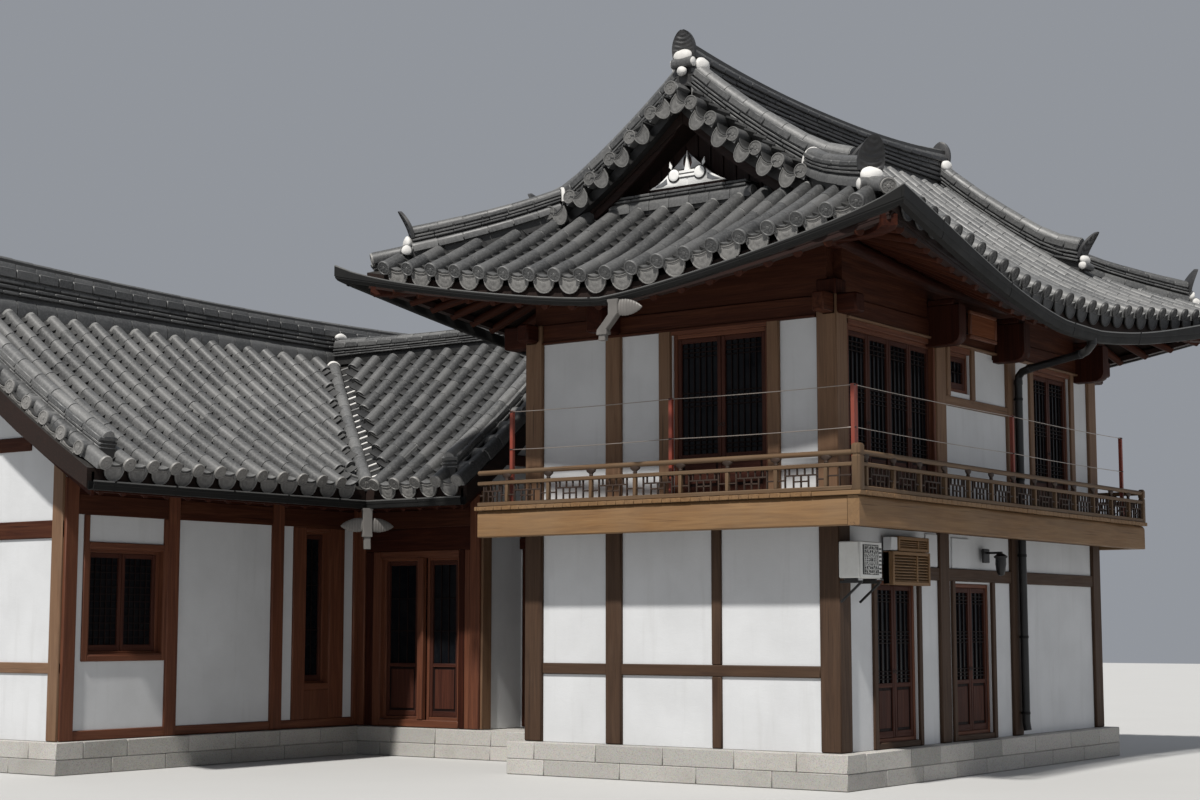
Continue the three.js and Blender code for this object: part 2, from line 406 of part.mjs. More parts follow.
// rafters, corner rafters and the eave board that joins them
{
  let m = null;
  const add = q => { m = m ? m.add(q) : q; };
  const ns = 10;
  const raf = (front, x, w = 0.055) => {
    const dmax = Math.min(1.5, x - XA - 0.12, XB - x - 0.12);
    const ds = [0.02, Math.max(0.3, dmax)];
    return loft(ds.map(dd => { const b = bowL(x, dd), y = front ? YA + dd + b : YB - dd - b; const z = bLong(x, dd) - 0.03; return [[x - w, y, z - 0.12], [x + w, y, z - 0.12], [x + w, y, z], [x - w, y, z]]; }));
  };
  const rafS = (left, y, w = 0.055) => {
    const dmax = Math.min(1.5, y - YA - 0.12, YB - y - 0.12);
    const ds = [0.02, Math.max(0.3, dmax)];
    return loft(ds.map(dd => { const b = bowS(y, dd), x = left ? XA + dd + b : XB - dd - b; const z = bShort(y, dd) - 0.03; return [[x, y - w, z - 0.12], [x, y + w, z - 0.12], [x, y + w, z], [x, y - w, z]]; }));
  };
  for (let i = 0; i < 14; i++) { const x = XA + 0.62 + (XB - XA - 1.24) * i / 13; add(raf(true, x)); add(raf(false, x)); }
  for (let i = 0; i < 9; i++) { const y = YA + 0.62 + (YB - YA - 1.24) * i / 8; add(rafS(true, y)); add(rafS(false, y)); }
  const board = (fr, long) => {
    const n = 16, rings = [];
    for (let i = 0; i <= n; i++) {
      if (long) {
        const x = XA + 0.05 + (XB - XA - 0.1) * i / n, b = bowL(x, 0);
        const y = fr ? YA + 0.03 + b : YB - 0.03 - b, s = fr ? 1 : -1, z = bLong(x, 0.0) - 0.04;
        rings.push([[x, y, z - 0.07], [x, y + s * 0.09, z - 0.07], [x, y + s * 0.09, z], [x, y, z]]);
      } else {
        const y = YA - OUT + 0.05 + (YB - YA + 2 * OUT - 0.1) * i / n, b = bowS(y, 0);
        const x = fr ? XA + 0.03 + b : XB - 0.03 - b, s = fr ? 1 : -1, z = bShort(y, 0.0) - 0.04;
        rings.push([[x, y, z - 0.07], [x + s * 0.09, y, z - 0.07], [x + s * 0.09, y, z], [x, y, z]]);
      }
    }
    return loft(rings);
  };
  add(board(true, true)); add(board(false, true)); add(board(true, false)); add(board(false, false));
  for (const lx of [true, false]) for (const fy of [true, false]) {
    const pt = dd => { const o = OUT * near0(dd); return [lx ? XA + dd : XB - dd, fy ? YA + dd - o : YB - dd + o]; };
    const sx = lx ? 1 : -1, sy = fy ? 1 : -1, w = 0.075;
    const r = [0.06, 0.5, 1.0, 1.5].map(dd => {
      const [x, y] = pt(dd); const z = Math.min(bLong(XA + dd, dd), bLong(XB - dd, dd), bShort(YA + dd - OUT * near0(dd), dd)) - 0.04 - dd * 0.02;
      const a = [x - sx * w * 0.7071, y + sy * w * 0.7071], b = [x + sx * w * 0.7071, y - sy * w * 0.7071];
      return [[a[0], a[1], z - 0.24], [b[0], b[1], z - 0.24], [b[0], b[1], z], [a[0], a[1], z]];
    });
    add(loft(r));
  }
  // corner rafters are notched over the beams
  m = m.subtract(made.eave_beams).subtract(made.eave_beams.translate([0, 0, 0.4]));
  for (const [x, y] of [[-1, -1], [1, -1], [-1, 1], [1, 1]]) m = m.subtract(made.eave_beams.translate([x * 0.4, y * 0.4, 0]));
  const bits = m.decompose(); bits.sort((a, b) => b.volume() - a.volume());
  put('main_rafters', bits[0], mat(col.wood));
}

// --------------------------------------------------------------- the balcony
{
  const deck = boxes([[BX0, BX1, BY0, -0.002, Z_DECK - 0.05, Z_DECK], [BX0, -0.002, BY0, BY1, Z_DECK - 0.05, Z_DECK], [LX + 0.002, BX1, BY0, 0.3, Z_DECK - 0.05, Z_DECK]]).subtract(box(4.38, 4.46, -0.075, 0.1, 2.8, 3.0));
  put('balcony_deck', deck, mat(col.woodLight));
  const zt = Z_DECK - 0.052, zb = 2.60;
  let b = boxes([[BX0 + 0.03, BX1 - 0.03, BY0 + 0.03, BY0 + 0.16, zb, zt], [BX0 + 0.03, BX0 + 0.16, BY0 + 0.03, BY1 - 0.03, zb, zt], [BX1 - 0.16, BX1 - 0.03, BY0 + 0.03, 0.28, zb, zt]]);
  for (const x of [0.4, 1.3, 2.2, 3.1, 4.0, 4.9, 5.8, 6.6]) b = b.add(box(x - 0.05, x + 0.05, BY0 + 0.1, -0.003, zb + 0.08, zt));
  for (const y of [0.5, 1.35, 2.2, 3.05, 3.85]) b = b.add(box(BX0 + 0.1, -0.003, y - 0.05, y + 0.05, zb + 0.08, zt));
  put('balcony_beams', b, mat(col.woodLight));
}
// lattice railing: bottom rail, second rail, round top rail, balusters
function railRun(x0, y0, x1, y1) {
  const len = Math.hypot(x1 - x0, y1 - y0), along = Math.abs(x1 - x0) > Math.abs(y1 - y0);
  const z0 = Z_DECK + 0.001, list = [];
  const seg = (a, b, w, za, zb) => {
    if (along) list.push([x0 + a, x0 + b, y0 - w, y0 + w, za, zb]); else list.push([x0 - w, x0 + w, y0 + a, y0 + b, za, zb]);
  };
  seg(0, len, 0.03, z0, z0 + 0.05);
  seg(0, len, 0.025, z0 + 0.25, z0 + 0.285);
  seg(0, len, 0.028, z0 + 0.345, z0 + 0.40);
  const n = Math.max(1, Math.round(len / 0.62));
  for (let i = 0; i <= n; i++) { const c = len * i / n; seg(Math.max(0, c - 0.025), Math.min(len, c + 0.025), 0.025, z0, z0 + 0.37); }
  return list;
}
{
  const f = boxes([...railRun(BX0 + 0.05, BY0 + 0.05, BX1 - 0.05, BY0 + 0.05), ...railRun(BX1 - 0.05, BY0 + 0.05, BX1 - 0.05, 0.25), [BX0 + 0.0, BX0 + 0.1, BY0, BY0 + 0.1, Z_DECK + 0.001, Z_DECK + 0.46]]);
  put('balcony_railing_front', f, mat(col.woodLight));
  put('balcony_railing_left', boxes(railRun(BX0 + 0.05, BY0 + 0.103, BX0 + 0.05, BY1 - 0.03)), mat(col.woodLight));
}
// steel posts and two stretched cables round the balcony
{
  const y = BY0 + 0.14, x = BX0 + 0.14, z0 = Z_DECK + 0.001, z1 = 4.0, list = [];
  const posts = [[x, y], [3.3, y], [6.56, y], [x, 1.75], [x, 3.87]];
  for (const p of posts) list.push([p[0] - 0.02, p[0] + 0.02, p[1] - 0.02, p[1] + 0.02, z0, z1]);
  for (const z of [3.56, 3.98]) { list.push([x, 6.56, y - 0.006, y + 0.006, z, z + 0.012]); list.push([x - 0.006, x + 0.006, y, 3.87, z, z + 0.012]); }
  put('safety_rail', boxes(list), mat(col.red, 0.6, 0.3));
}
// downpipe from the gutter to the wall and down to the ground
{
  const P = [[3.76, -1.20, 4.84], [3.78, -1.09, 4.71], [4.23, -0.17, 4.63], [4.29, -0.060, 4.54], [4.29, -0.060, 3.4], [4.29, -0.060, 0.42]];
  const rings = P.map((p, k) => {
    const a = new THREE.Vector3(...P[Math.max(0, k - 1)]), b = new THREE.Vector3(...P[Math.min(P.length - 1, k + 1)]);
    const t = b.sub(a).normalize();
    let s = new THREE.Vector3(0.72, 0.69, 0); s.addScaledVector(t, -s.dot(t)).normalize();
    const q = t.clone().cross(s).normalize(), r = 0.048;
    return [...Array(8).keys()].map(i => { const c = Math.cos(i * Math.PI / 4) * r, d = Math.sin(i * Math.PI / 4) * r; return [p[0] + s.x * c + q.x * d, p[1] + s.y * c + q.y * d, p[2] + s.z * c + q.z * d]; });
  });
  put('downpipe', loft(rings), mat(col.metal, 0.4, 0.2), 'balcony_deck', 'balcony_beams', 'timber_frame_front', 'front_wall', 'main_gutter');
}
put('name_board', box(2.72, 3.42, -0.20, -0.16, 4.84, 5.16).add(box(2.80, 2.86, -0.17, -0.0015, 4.9, 4.94)).add(box(3.28, 3.34, -0.17, -0.0015, 4.9, 4.94)), mat(col.red));
put('ac_unit', boxes([[-0.02, 0.44, -0.27, -0.0015, 2.10, 2.47]]), mat(col.grey, 0.5));
put('louvre_box', boxes([[0.93, 1.78, -0.12, -0.0015, 2.05, 2.56]]), mat(col.woodLight));

// -------------------------------------------------------- wing and back range
const h2 = dd => HA2 * dd + HB2 * dd * dd;
const z2 = dd => ZE2 + h2(dd);
const soff2 = dd => z2(dd) - 0.22 - 0.05 * Math.min(1, dd);
const rows2 = [0, 0.6, 1.2, 1.9, 2.6, 3.1];
const slab2 = plan => gridSlab(6, rows2.length - 1, (u, v) => { const dd = rows2[Math.round(v * (rows2.length - 1))]; return [...plan(u, dd), dd]; }, q => z2(q[2]), q => soff2(q[2]));
const e2 = 0.004;
put('wing_roof_west', slab2((u, dd) => { const y0 = WV0, y1 = REY0 + dd - e2; return [WEX0 + KW * Math.min(dd, 3.097), y0 + (y1 - y0) * u]; }), mat(col.tile, 0.75));
const wingEast = slab2((u, dd) => { const y0 = WV0, y1 = REY0 + dd + 0.001; return [WEX1 - KW * Math.min(dd, 3.097), y0 + (y1 - y0) * u]; });
put('range_roof_south_west', slab2((u, dd) => { const x0 = RV0, x1 = WEX0 + KW * dd - e2; return [x0 + (x1 - x0) * u, REY0 + Math.min(dd, 3.097)]; }), mat(col.tile, 0.75));
const rangeSouthEast = slab2((u, dd) => { const x0 = RV1, x1 = WEX1 - KW * dd - 0.001 + (dd > 3.05 ? 0.01 : 0); return [x0 + (x1 - x0) * u, REY0 + Math.min(dd, 3.097)]; });
put('wing_roof_east', wingEast.add(rangeSouthEast), mat(col.tile, 0.75));
put('range_roof_north', gridSlab(10, rows2.length - 1, (u, v) => { const dd = rows2[Math.round(v * (rows2.length - 1))]; return [RV0 + (RV1 - RV0) * u, REY1 - Math.min(dd, 3.117), dd]; }, q => z2(q[2]), q => soff2(q[2])), mat(col.tile, 0.75));
// ridges of the lower roofs
{
  const zb = z2(3.1) + 0.004;
  const ring = (s, top, along) => {
    const P = (a, z) => along === 'x' ? [s, RRY + 0.01 + a, z] : [WRX + a, s, z];
    return [P(-0.14, zb), P(0.14, zb), P(0.12, top - 0.05), P(0.05, top), P(-0.05, top), P(-0.12, top - 0.05)];
  };
  const mid = (RV0 + RV1) / 2, half = (RV1 - RV0) / 2;
  const xs = [...Array(11).keys()].map(i => RV0 + 0.1 + (RV1 - RV0 - 0.2) * i / 10);
  let r = loft(xs.map(x => ring(x, 5.98 + 0.18 * Math.pow(Math.abs(x - mid) / half, 2), 'x')));
  put('range_ridge', r, mat(col.tile, 0.75));
  const ys = [WV0 + 0.04, 6.3, 7.3, 8.3, 9.3, RRY - 0.135];
  let w = loft(ys.map(y => ring(y, 5.68 + 0.07 * Math.pow((y - 7.8) / 2.3, 2), 'y')));
  put('wing_ridge', w, mat(col.tile, 0.75));
  // one round-backed course down each valley
  for (const [n, sx, x0] of [['valley_course', 1, WEX0]]) {
    const rr = [0.02, 0.7, 1.4, 2.1, 2.7].map(dd => {
      const x = x0 + sx * KW * dd, y = REY0 + dd, z = z2(dd) + 0.004, w0 = 0.11, nx = 0.7071 * w0, ny = -sx * 0.7071 * w0;
      return [[x - nx, y - ny, z], [x + nx, y + ny, z], [x + nx * 0.7, y + ny * 0.7, z + 0.10], [x, y, z + 0.14], [x - nx * 0.7, y - ny * 0.7, z + 0.10]];
    });
    put(n, loft(rr), mat(col.tile, 0.75), 'wing_roof_west', 'range_roof_south_west');
  }
}
// base, walls and gables of the wing and the back range
put('stone_base', boxes([[-0.14, LX + 0.14, -0.14, LY + 0.14, 0, Z_FLOOR1], [RX0 - 0.12, RX1 + 0.12, RY0 - 0.12, RY1 + 0.12, 0, Z_FLOOR1], [WX0 - 0.12, WX1 + 0.12, LY, RY0, 0, Z_FLOOR1]]), mat(col.stone, 0.9));
const T2 = 0.18, zf = Z_FLOOR1 + 0.001;
const under2 = dd => soff2(Math.max(0, dd)) - 0.003;
function gableYZ(y0, y1, eaveY0, eaveY1, k = 1) {   // elevation of an end wall
  const yr = (eaveY0 + eaveY1) / 2;
  const pts = [[y0, zf]];
  const n = 8; for (let i = 0; i <= n; i++) { const y = y0 + (y1 - y0) * i / n; pts.push([y, under2(Math.min(y - eaveY0, eaveY1 - y) / k)]); }
  pts.push([y1, zf]);
  return pts;
}
let rangeEndW = prismYZ(gableYZ(RY0, RY1, REY0, REY1), RX0, RX0 + T2);
let rangeEndE = prismYZ(gableYZ(RY0, RY1, REY0, REY1), RX1 - T2, RX1);
let wingEnd = prismXZ(gableYZ(WX0, WX1, WEX0, WEX1, KW), WY0, WY0 + T2).subtract(box(2.7, 3.7, WY0 - 0.1, WY0 + T2 + 0.1, Z_FLOOR1 + 0.0, 2.4));
put('range_west_gable', rangeEndW, mat(col.plaster, 0.9), 'wing_roof_west', 'wing_roof_east', 'range_roof_south_west', 'range_roof_north');
put('range_east_gable', rangeEndE, mat(col.plaster, 0.9), 'wing_roof_west', 'wing_roof_east', 'range_roof_south_west', 'range_roof_north');
put('wing_south_gable', wingEnd, mat(col.plaster, 0.9), 'wing_roof_west', 'wing_roof_east', 'range_roof_south_west', 'range_roof_north');
// openings of the long walls: a rhythm of glazed doors and windows
const wallX = (x0, x1, y0, y1) => gridSlab(1, 1, (u, v) => [x0 + (x1 - x0) * u, y0 + (y1 - y0) * v], q => under2(Math.min(q[1] - REY0, REY1 - q[1])), () => zf);
const wallY = (x0, x1, y0, y1) => gridSlab(1, 1, (u, v) => [x0 + (x1 - x0) * u, y0 + (y1 - y0) * v], q => under2(Math.min(q[0] - WEX0, WEX1 - q[0]) / KW), () => zf);
let rs = wallX(RX0 + T2 + 0.001, WX0 + T2, RY0, RY0 + T2);
const RANGE_WIN = [[-2.85, -1.75, 1.3, 2.5], [0.59, 1.03, 0.9, 2.83]];
for (const w of RANGE_WIN) rs = rs.subtract(box(w[0], w[1], RY0 - 0.1, RY0 + T2 + 0.1, w[2], w[3]));
put('range_south_wall', rs, mat(col.plaster, 0.9), 'range_roof_south_west', 'wing_roof_west', 'wing_roof_east');
let rn = wallX(RX0 + T2 + 0.001, RX1 - T2 - 0.001, RY1 - T2, RY1);
rn = rn.subtract(box(-1.6, -0.4, RY1 - 0.5, RY1 + 0.2, 1.2, 2.4)).subtract(box(3.4, 4.6, RY1 - 0.5, RY1 + 0.2, 1.2, 2.4));
put('range_north_wall', rn, mat(col.plaster, 0.9), 'wing_roof_west', 'wing_roof_east', 'range_roof_south_west', 'range_roof_north');
let ww = wallY(WX0, WX0 + T2, WY0 + T2 + 0.001, RY0 - 0.001);
ww = ww.subtract(box(WX0 - 0.1, WX0 + T2 + 0.1, 6.3, 7.6, 0.45, 2.5));
put('wing_west_wall', ww, mat(col.plaster, 0.9), 'wing_roof_west', 'range_roof_south_west');
let we = wallY(WX1 - T2, WX1, WY0 + T2 + 0.001, RY0 + 0.05);
we = we.add(wallX(WX1 - T2, RX1 - T2 - 0.001, RY0, RY0 + T2));
put('wing_east_wall', we, mat(col.plaster, 0.9), 'wing_roof_east', 'range_south_wall');
put('wing_west_doors', joinery([6.3, 7.6, 0.45, 2.5], 3, (u, z) => turnL(WX0 + 0.05, u, z)), mat(col.woodDark));
// one sheet behind each long wall closes its windows
put('range_south_glazing', box(-2.95, 1.25, RY0 + T2 + 0.002, RY0 + T2 + 0.022, 0.75, 2.92), mat(col.woodDark));
put('range_north_glazing', box(-1.7, 4.7, RY1 - T2 - 0.022, RY1 - T2 - 0.002, 1.1, 2.5), mat(col.woodDark));
// covered link between the front block and the wing
put('link_passage', box(2.4, 4.6, LY + 0.003, WY0 - 0.002, zf, 2.75).subtract(box(2.55, 4.45, LY - 0.1, WY0 + 0.1, zf - 0.1, 2.6)), mat(col.plaster, 0.9));
// gutter of the inner court: wing eave and range eave in one L
{
  const path = [[RV0, REY0 - 0.02], [WEX0 - 0.02, REY0 - 0.02], [WEX0 - 0.02, WV0]];
  const rings = path.map((p, k) => {
    const out = k === 0 ? [0, -1] : k === 1 ? [-1, -1] : [-1, 0];
    const Q = (o, z) => [p[0] + out[0] * o, p[1] + out[1] * o, 3.16 + z];
    return [Q(0.11, 0), Q(0.11, -0.10), Q(0, -0.10), Q(0, 0), Q(0.014, 0), Q(0.014, -0.086), Q(0.096, -0.086), Q(0.096, 0)];
  });
  put('court_gutter', loft(rings), mat(col.metal, 0.45, 0.6));
}

export default house;
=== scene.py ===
# Hanok house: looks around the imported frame. Metres, +Z up.
# Shapes are worked out in the house frame (x along the long front, y towards the
# back, zero at the outer corner of the near post) and shifted into the row frame.
import math
import bpy
import numpy as np
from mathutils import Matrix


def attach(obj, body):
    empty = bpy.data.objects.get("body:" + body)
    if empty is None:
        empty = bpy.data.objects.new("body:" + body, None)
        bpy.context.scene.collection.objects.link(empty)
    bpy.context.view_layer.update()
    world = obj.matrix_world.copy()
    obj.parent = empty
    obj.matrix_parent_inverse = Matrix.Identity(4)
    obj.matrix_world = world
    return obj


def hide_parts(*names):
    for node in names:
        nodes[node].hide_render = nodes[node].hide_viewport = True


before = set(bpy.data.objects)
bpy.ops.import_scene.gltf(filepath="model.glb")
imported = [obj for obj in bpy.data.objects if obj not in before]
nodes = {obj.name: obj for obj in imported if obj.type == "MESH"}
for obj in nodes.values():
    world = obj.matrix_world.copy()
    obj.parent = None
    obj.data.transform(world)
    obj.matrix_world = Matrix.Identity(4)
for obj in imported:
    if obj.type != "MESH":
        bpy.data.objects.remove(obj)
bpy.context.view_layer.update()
OX, OY = 2.28, 5.825
rng = np.random.default_rng(20)

# ------------------------------------------------------------------ dimensions
LX, LY = 6.81, 4.01
Z_FLOOR1, Z_DECK = 0.36, 2.94
POST = 0.24
XA, XB, YA, YB = -1.25, 8.06, -1.10, 5.11
YR = (YA + YB) / 2
D = (YB - YA) / 2
ZEL, ZES = 5.145, 5.105
U_LONG, U_SHORT, BOW, OUT = 4.3, 3.3, 0.10, 0.20


def fall(u, U):
    return np.maximum(0.0, 1 - u / U) ** 1.3


def near0(d):
    return np.maximum(0.0, 1 - d / 1.1)


def z_long(x, d):
    l = 0.44 * np.maximum(0, 1 - np.maximum(0, x - XA) / 3.6) ** 1.1
    r = 0.44 * np.maximum(0, 1 - np.maximum(0, XB - x) / 4.1) ** 1.4
    dp = np.maximum(0, d)
    return ZEL + 0.5176 * d + 0.070 * d * np.abs(d) + (l + r) * np.maximum(0, 1 - (dp / 3.15) ** 1.5)


def z_short(y, d):
    def f(u):
        return 0.48 * np.maximum(0, 1 - np.maximum(0, u) / 3.15) ** 1.3
    dp = np.maximum(0, d)
    return ZES + 0.5176 * d + 0.060 * d * np.abs(d) + (f(y - YA + OUT) + f(YB + OUT - y)) * np.maximum(0, 1 - (dp / 2.0) ** 4)


def bow_long(x, d):
    return (BOW - (BOW + OUT) * np.minimum(1, fall(np.maximum(x - XA, 0), U_LONG) + fall(np.maximum(XB - x, 0), U_LONG))) * near0(d)


def bow_short(y, d):
    return BOW * (1 - np.minimum(1, fall(np.maximum(0, y - YA), U_SHORT) + fall(np.maximum(0, YB - y), U_SHORT))) * near0(d)


def soffit(d):
    return np.where(d < 1.5, -0.10 + 0.52 * d, 0.68 + 0.80 * (d - 1.5))


def b_long(x, d):
    return z_long(x, d) - (0.5176 * d + 0.070 * d * np.abs(d)) + soffit(d)


def b_short(y, d):
    return z_short(y, d) - (0.5176 * d + 0.060 * d * np.abs(d)) + soffit(d)


# bed surfaces, as points for a row coordinate and a distance d up from the eave
def s_front(x, d):
    return np.stack([x + 0 * d, YA + d + bow_long(x, d), z_long(x, d)], -1)


def s_back(x, d):
    return np.stack([x + 0 * d, YB - d - bow_long(x, d), z_long(x, d)], -1)


def s_left(y, d):
    return np.stack([XA + d + bow_short(y, d), y + 0 * d, z_short(y, d)], -1)


def s_right(y, d):
    return np.stack([XB - d - bow_short(y, d), y + 0 * d, z_short(y, d)], -1)


WX0, WX1, WEX0, WEX1, WRX = 1.6, 4.8, 0.6, 5.8, 3.2
KW = 2.6 / 3.1                       # the wing slopes are steeper than the range's
WY0, WV0 = 5.95, 5.36
RY0, RY1, REY0, REY1, RRY = 8.0, 12.2, 6.98, 13.22, 10.1
RX0, RX1, RV0, RV1 = -3.2, 7.0, -3.75, 7.6
ZE2 = 3.30


def z2(d):
    return ZE2 + 0.56 * d + 0.036 * d * np.abs(d)


def s_wwest(y, d):
    return np.stack([WEX0 + KW * d, y + 0 * d, z2(d)], -1)


def s_weast(y, d):
    return np.stack([WEX1 - KW * d, y + 0 * d, z2(d)], -1)


def s_rsouth(x, d):
    return np.stack([x + 0 * d, REY0 + d, z2(d)], -1)


def s_rnorth(x, d):
    return np.stack([x + 0 * d, REY1 - d, z2(d)], -1)


# ------------------------------------------------------------------- mesh code
def unit(a):
    return a / np.maximum(np.linalg.norm(a, axis=-1, keepdims=True), 1e-9)


def volume(v, loops, sizes):
    tot, o = 0.0, 0
    c = v.mean(0)
    for s in sizes:
        p = v[loops[o:o + s]] - c
        for k in range(1, s - 1):
            tot += np.dot(p[0], np.cross(p[k], p[k + 1]))
        o += s
    return tot


def geo(v, faces, mats=0, wear=None):
    """Closed body from points and a list of faces, turned so that faces point outward."""
    v = np.asarray(v, float)
    sizes = np.array([len(f) for f in faces])
    loops = np.concatenate([np.asarray(f) for f in faces])
    if volume(v, loops, sizes) < 0:
        loops = np.concatenate([np.asarray(f)[::-1] for f in faces])
    m = np.full(len(sizes), mats) if np.isscalar(mats) else np.asarray(mats)
    w = np.zeros(len(v)) if wear is None else np.asarray(wear, float)
    return v, loops, sizes, m, w


def loft(rings, caps=True, loop=False, mat=0, wear=None):
    rings = np.asarray(rings, float)
    m, n, _ = rings.shape
    i = np.arange(n)
    j = (i + 1) % n
    faces = []
    for k in range(m if loop else m - 1):
        a, b = k * n, ((k + 1) % m) * n
        faces += list(np.stack([a + i, a + j, b + j, b + i], -1))
    if caps and not loop:
        faces += [i[::-1], (m - 1) * n + i]
    w = None if wear is None else np.repeat(np.asarray(wear, float), n)
    return geo(rings.reshape(-1, 3), faces, mat, w)


def lathe(prof, n, mod=None, wear=None):
    """prof: radius, height pairs round local y, from back centre to front centre."""
    rings = []
    th = np.arange(n) * 2 * np.pi / n
    for k, (r, y) in enumerate(prof):
        dy = 0 if mod is None else mod[k] * np.cos(8 * th)
        rings.append(np.stack([r * np.cos(th), np.full(n, y) + dy, r * np.sin(th)], -1))
    return loft(rings, wear=wear)


def join_geo(*gs):
    v, l, s, m, w, o = [], [], [], [], [], 0
    for g in gs:
        v.append(g[0]); l.append(g[1] + o); s.append(g[2]); m.append(g[3]); w.append(g[4])
        o += len(g[0])
    return np.concatenate(v), np.concatenate(l), np.concatenate(s), np.concatenate(m), np.concatenate(w)


def _cbox_topology():
    S, M = [], []
    for sx in (-1, 1):
        for sy in (-1, 1):
            for sz in (-1, 1):
                for ax in range(3):
                    S.append((sx, sy, sz))
                    M.append([0 if k == ax else 1 for k in range(3)])
    S, M = np.array(S, float), np.array(M, float)

    def idx(s, ax):
        return (int(s[0] > 0) * 4 + int(s[1] > 0) * 2 + int(s[2] > 0)) * 3 + ax
    faces = []
    for ax in range(3):
        a, b = (ax + 1) % 3, (ax + 2) % 3
        for sg in (-1, 1):
            f = []
            for (p, q) in ((-1, -1), (1, -1), (1, 1), (-1, 1)):
                s = [0, 0, 0]; s[ax] = sg; s[a] = p; s[b] = q
                f.append(idx(s, ax))
            faces.append(f)
    for k3 in range(3):
        k1, k2 = (k3 + 1) % 3, (k3 + 2) % 3
        for s1 in (-1, 1):
            for s2 in (-1, 1):
                c = []
                for s3 in (-1, 1):
                    s = [0, 0, 0]; s[k1] = s1; s[k2] = s2; s[k3] = s3
                    c.append(s)
                faces.append([idx(c[0], k1), idx(c[1], k1), idx(c[1], k2), idx(c[0], k2)])
    for sx in (-1, 1):
        for sy in (-1, 1):
            for sz in (-1, 1):
                faces.append([idx((sx, sy, sz), k) for k in range(3)])
    V = S * (1 - 0.2 * M)
    out = []
    for f in faces:
        p = V[f]
        nrm = np.cross(p[1] - p[0], p[2] - p[0])
        out.append(f if np.dot(nrm, p.mean(0)) > 0 else f[::-1])
    return S, M, np.concatenate([np.array(f) for f in out]), np.array([len(f) for f in out])


CB_S, CB_M, CB_L, CB_N = _cbox_topology()


def turned(l, s):
    """The same faces wound the other way."""
    e = np.cumsum(s)
    return np.concatenate([l[b - c:b][::-1] for b, c in zip(e, s)])


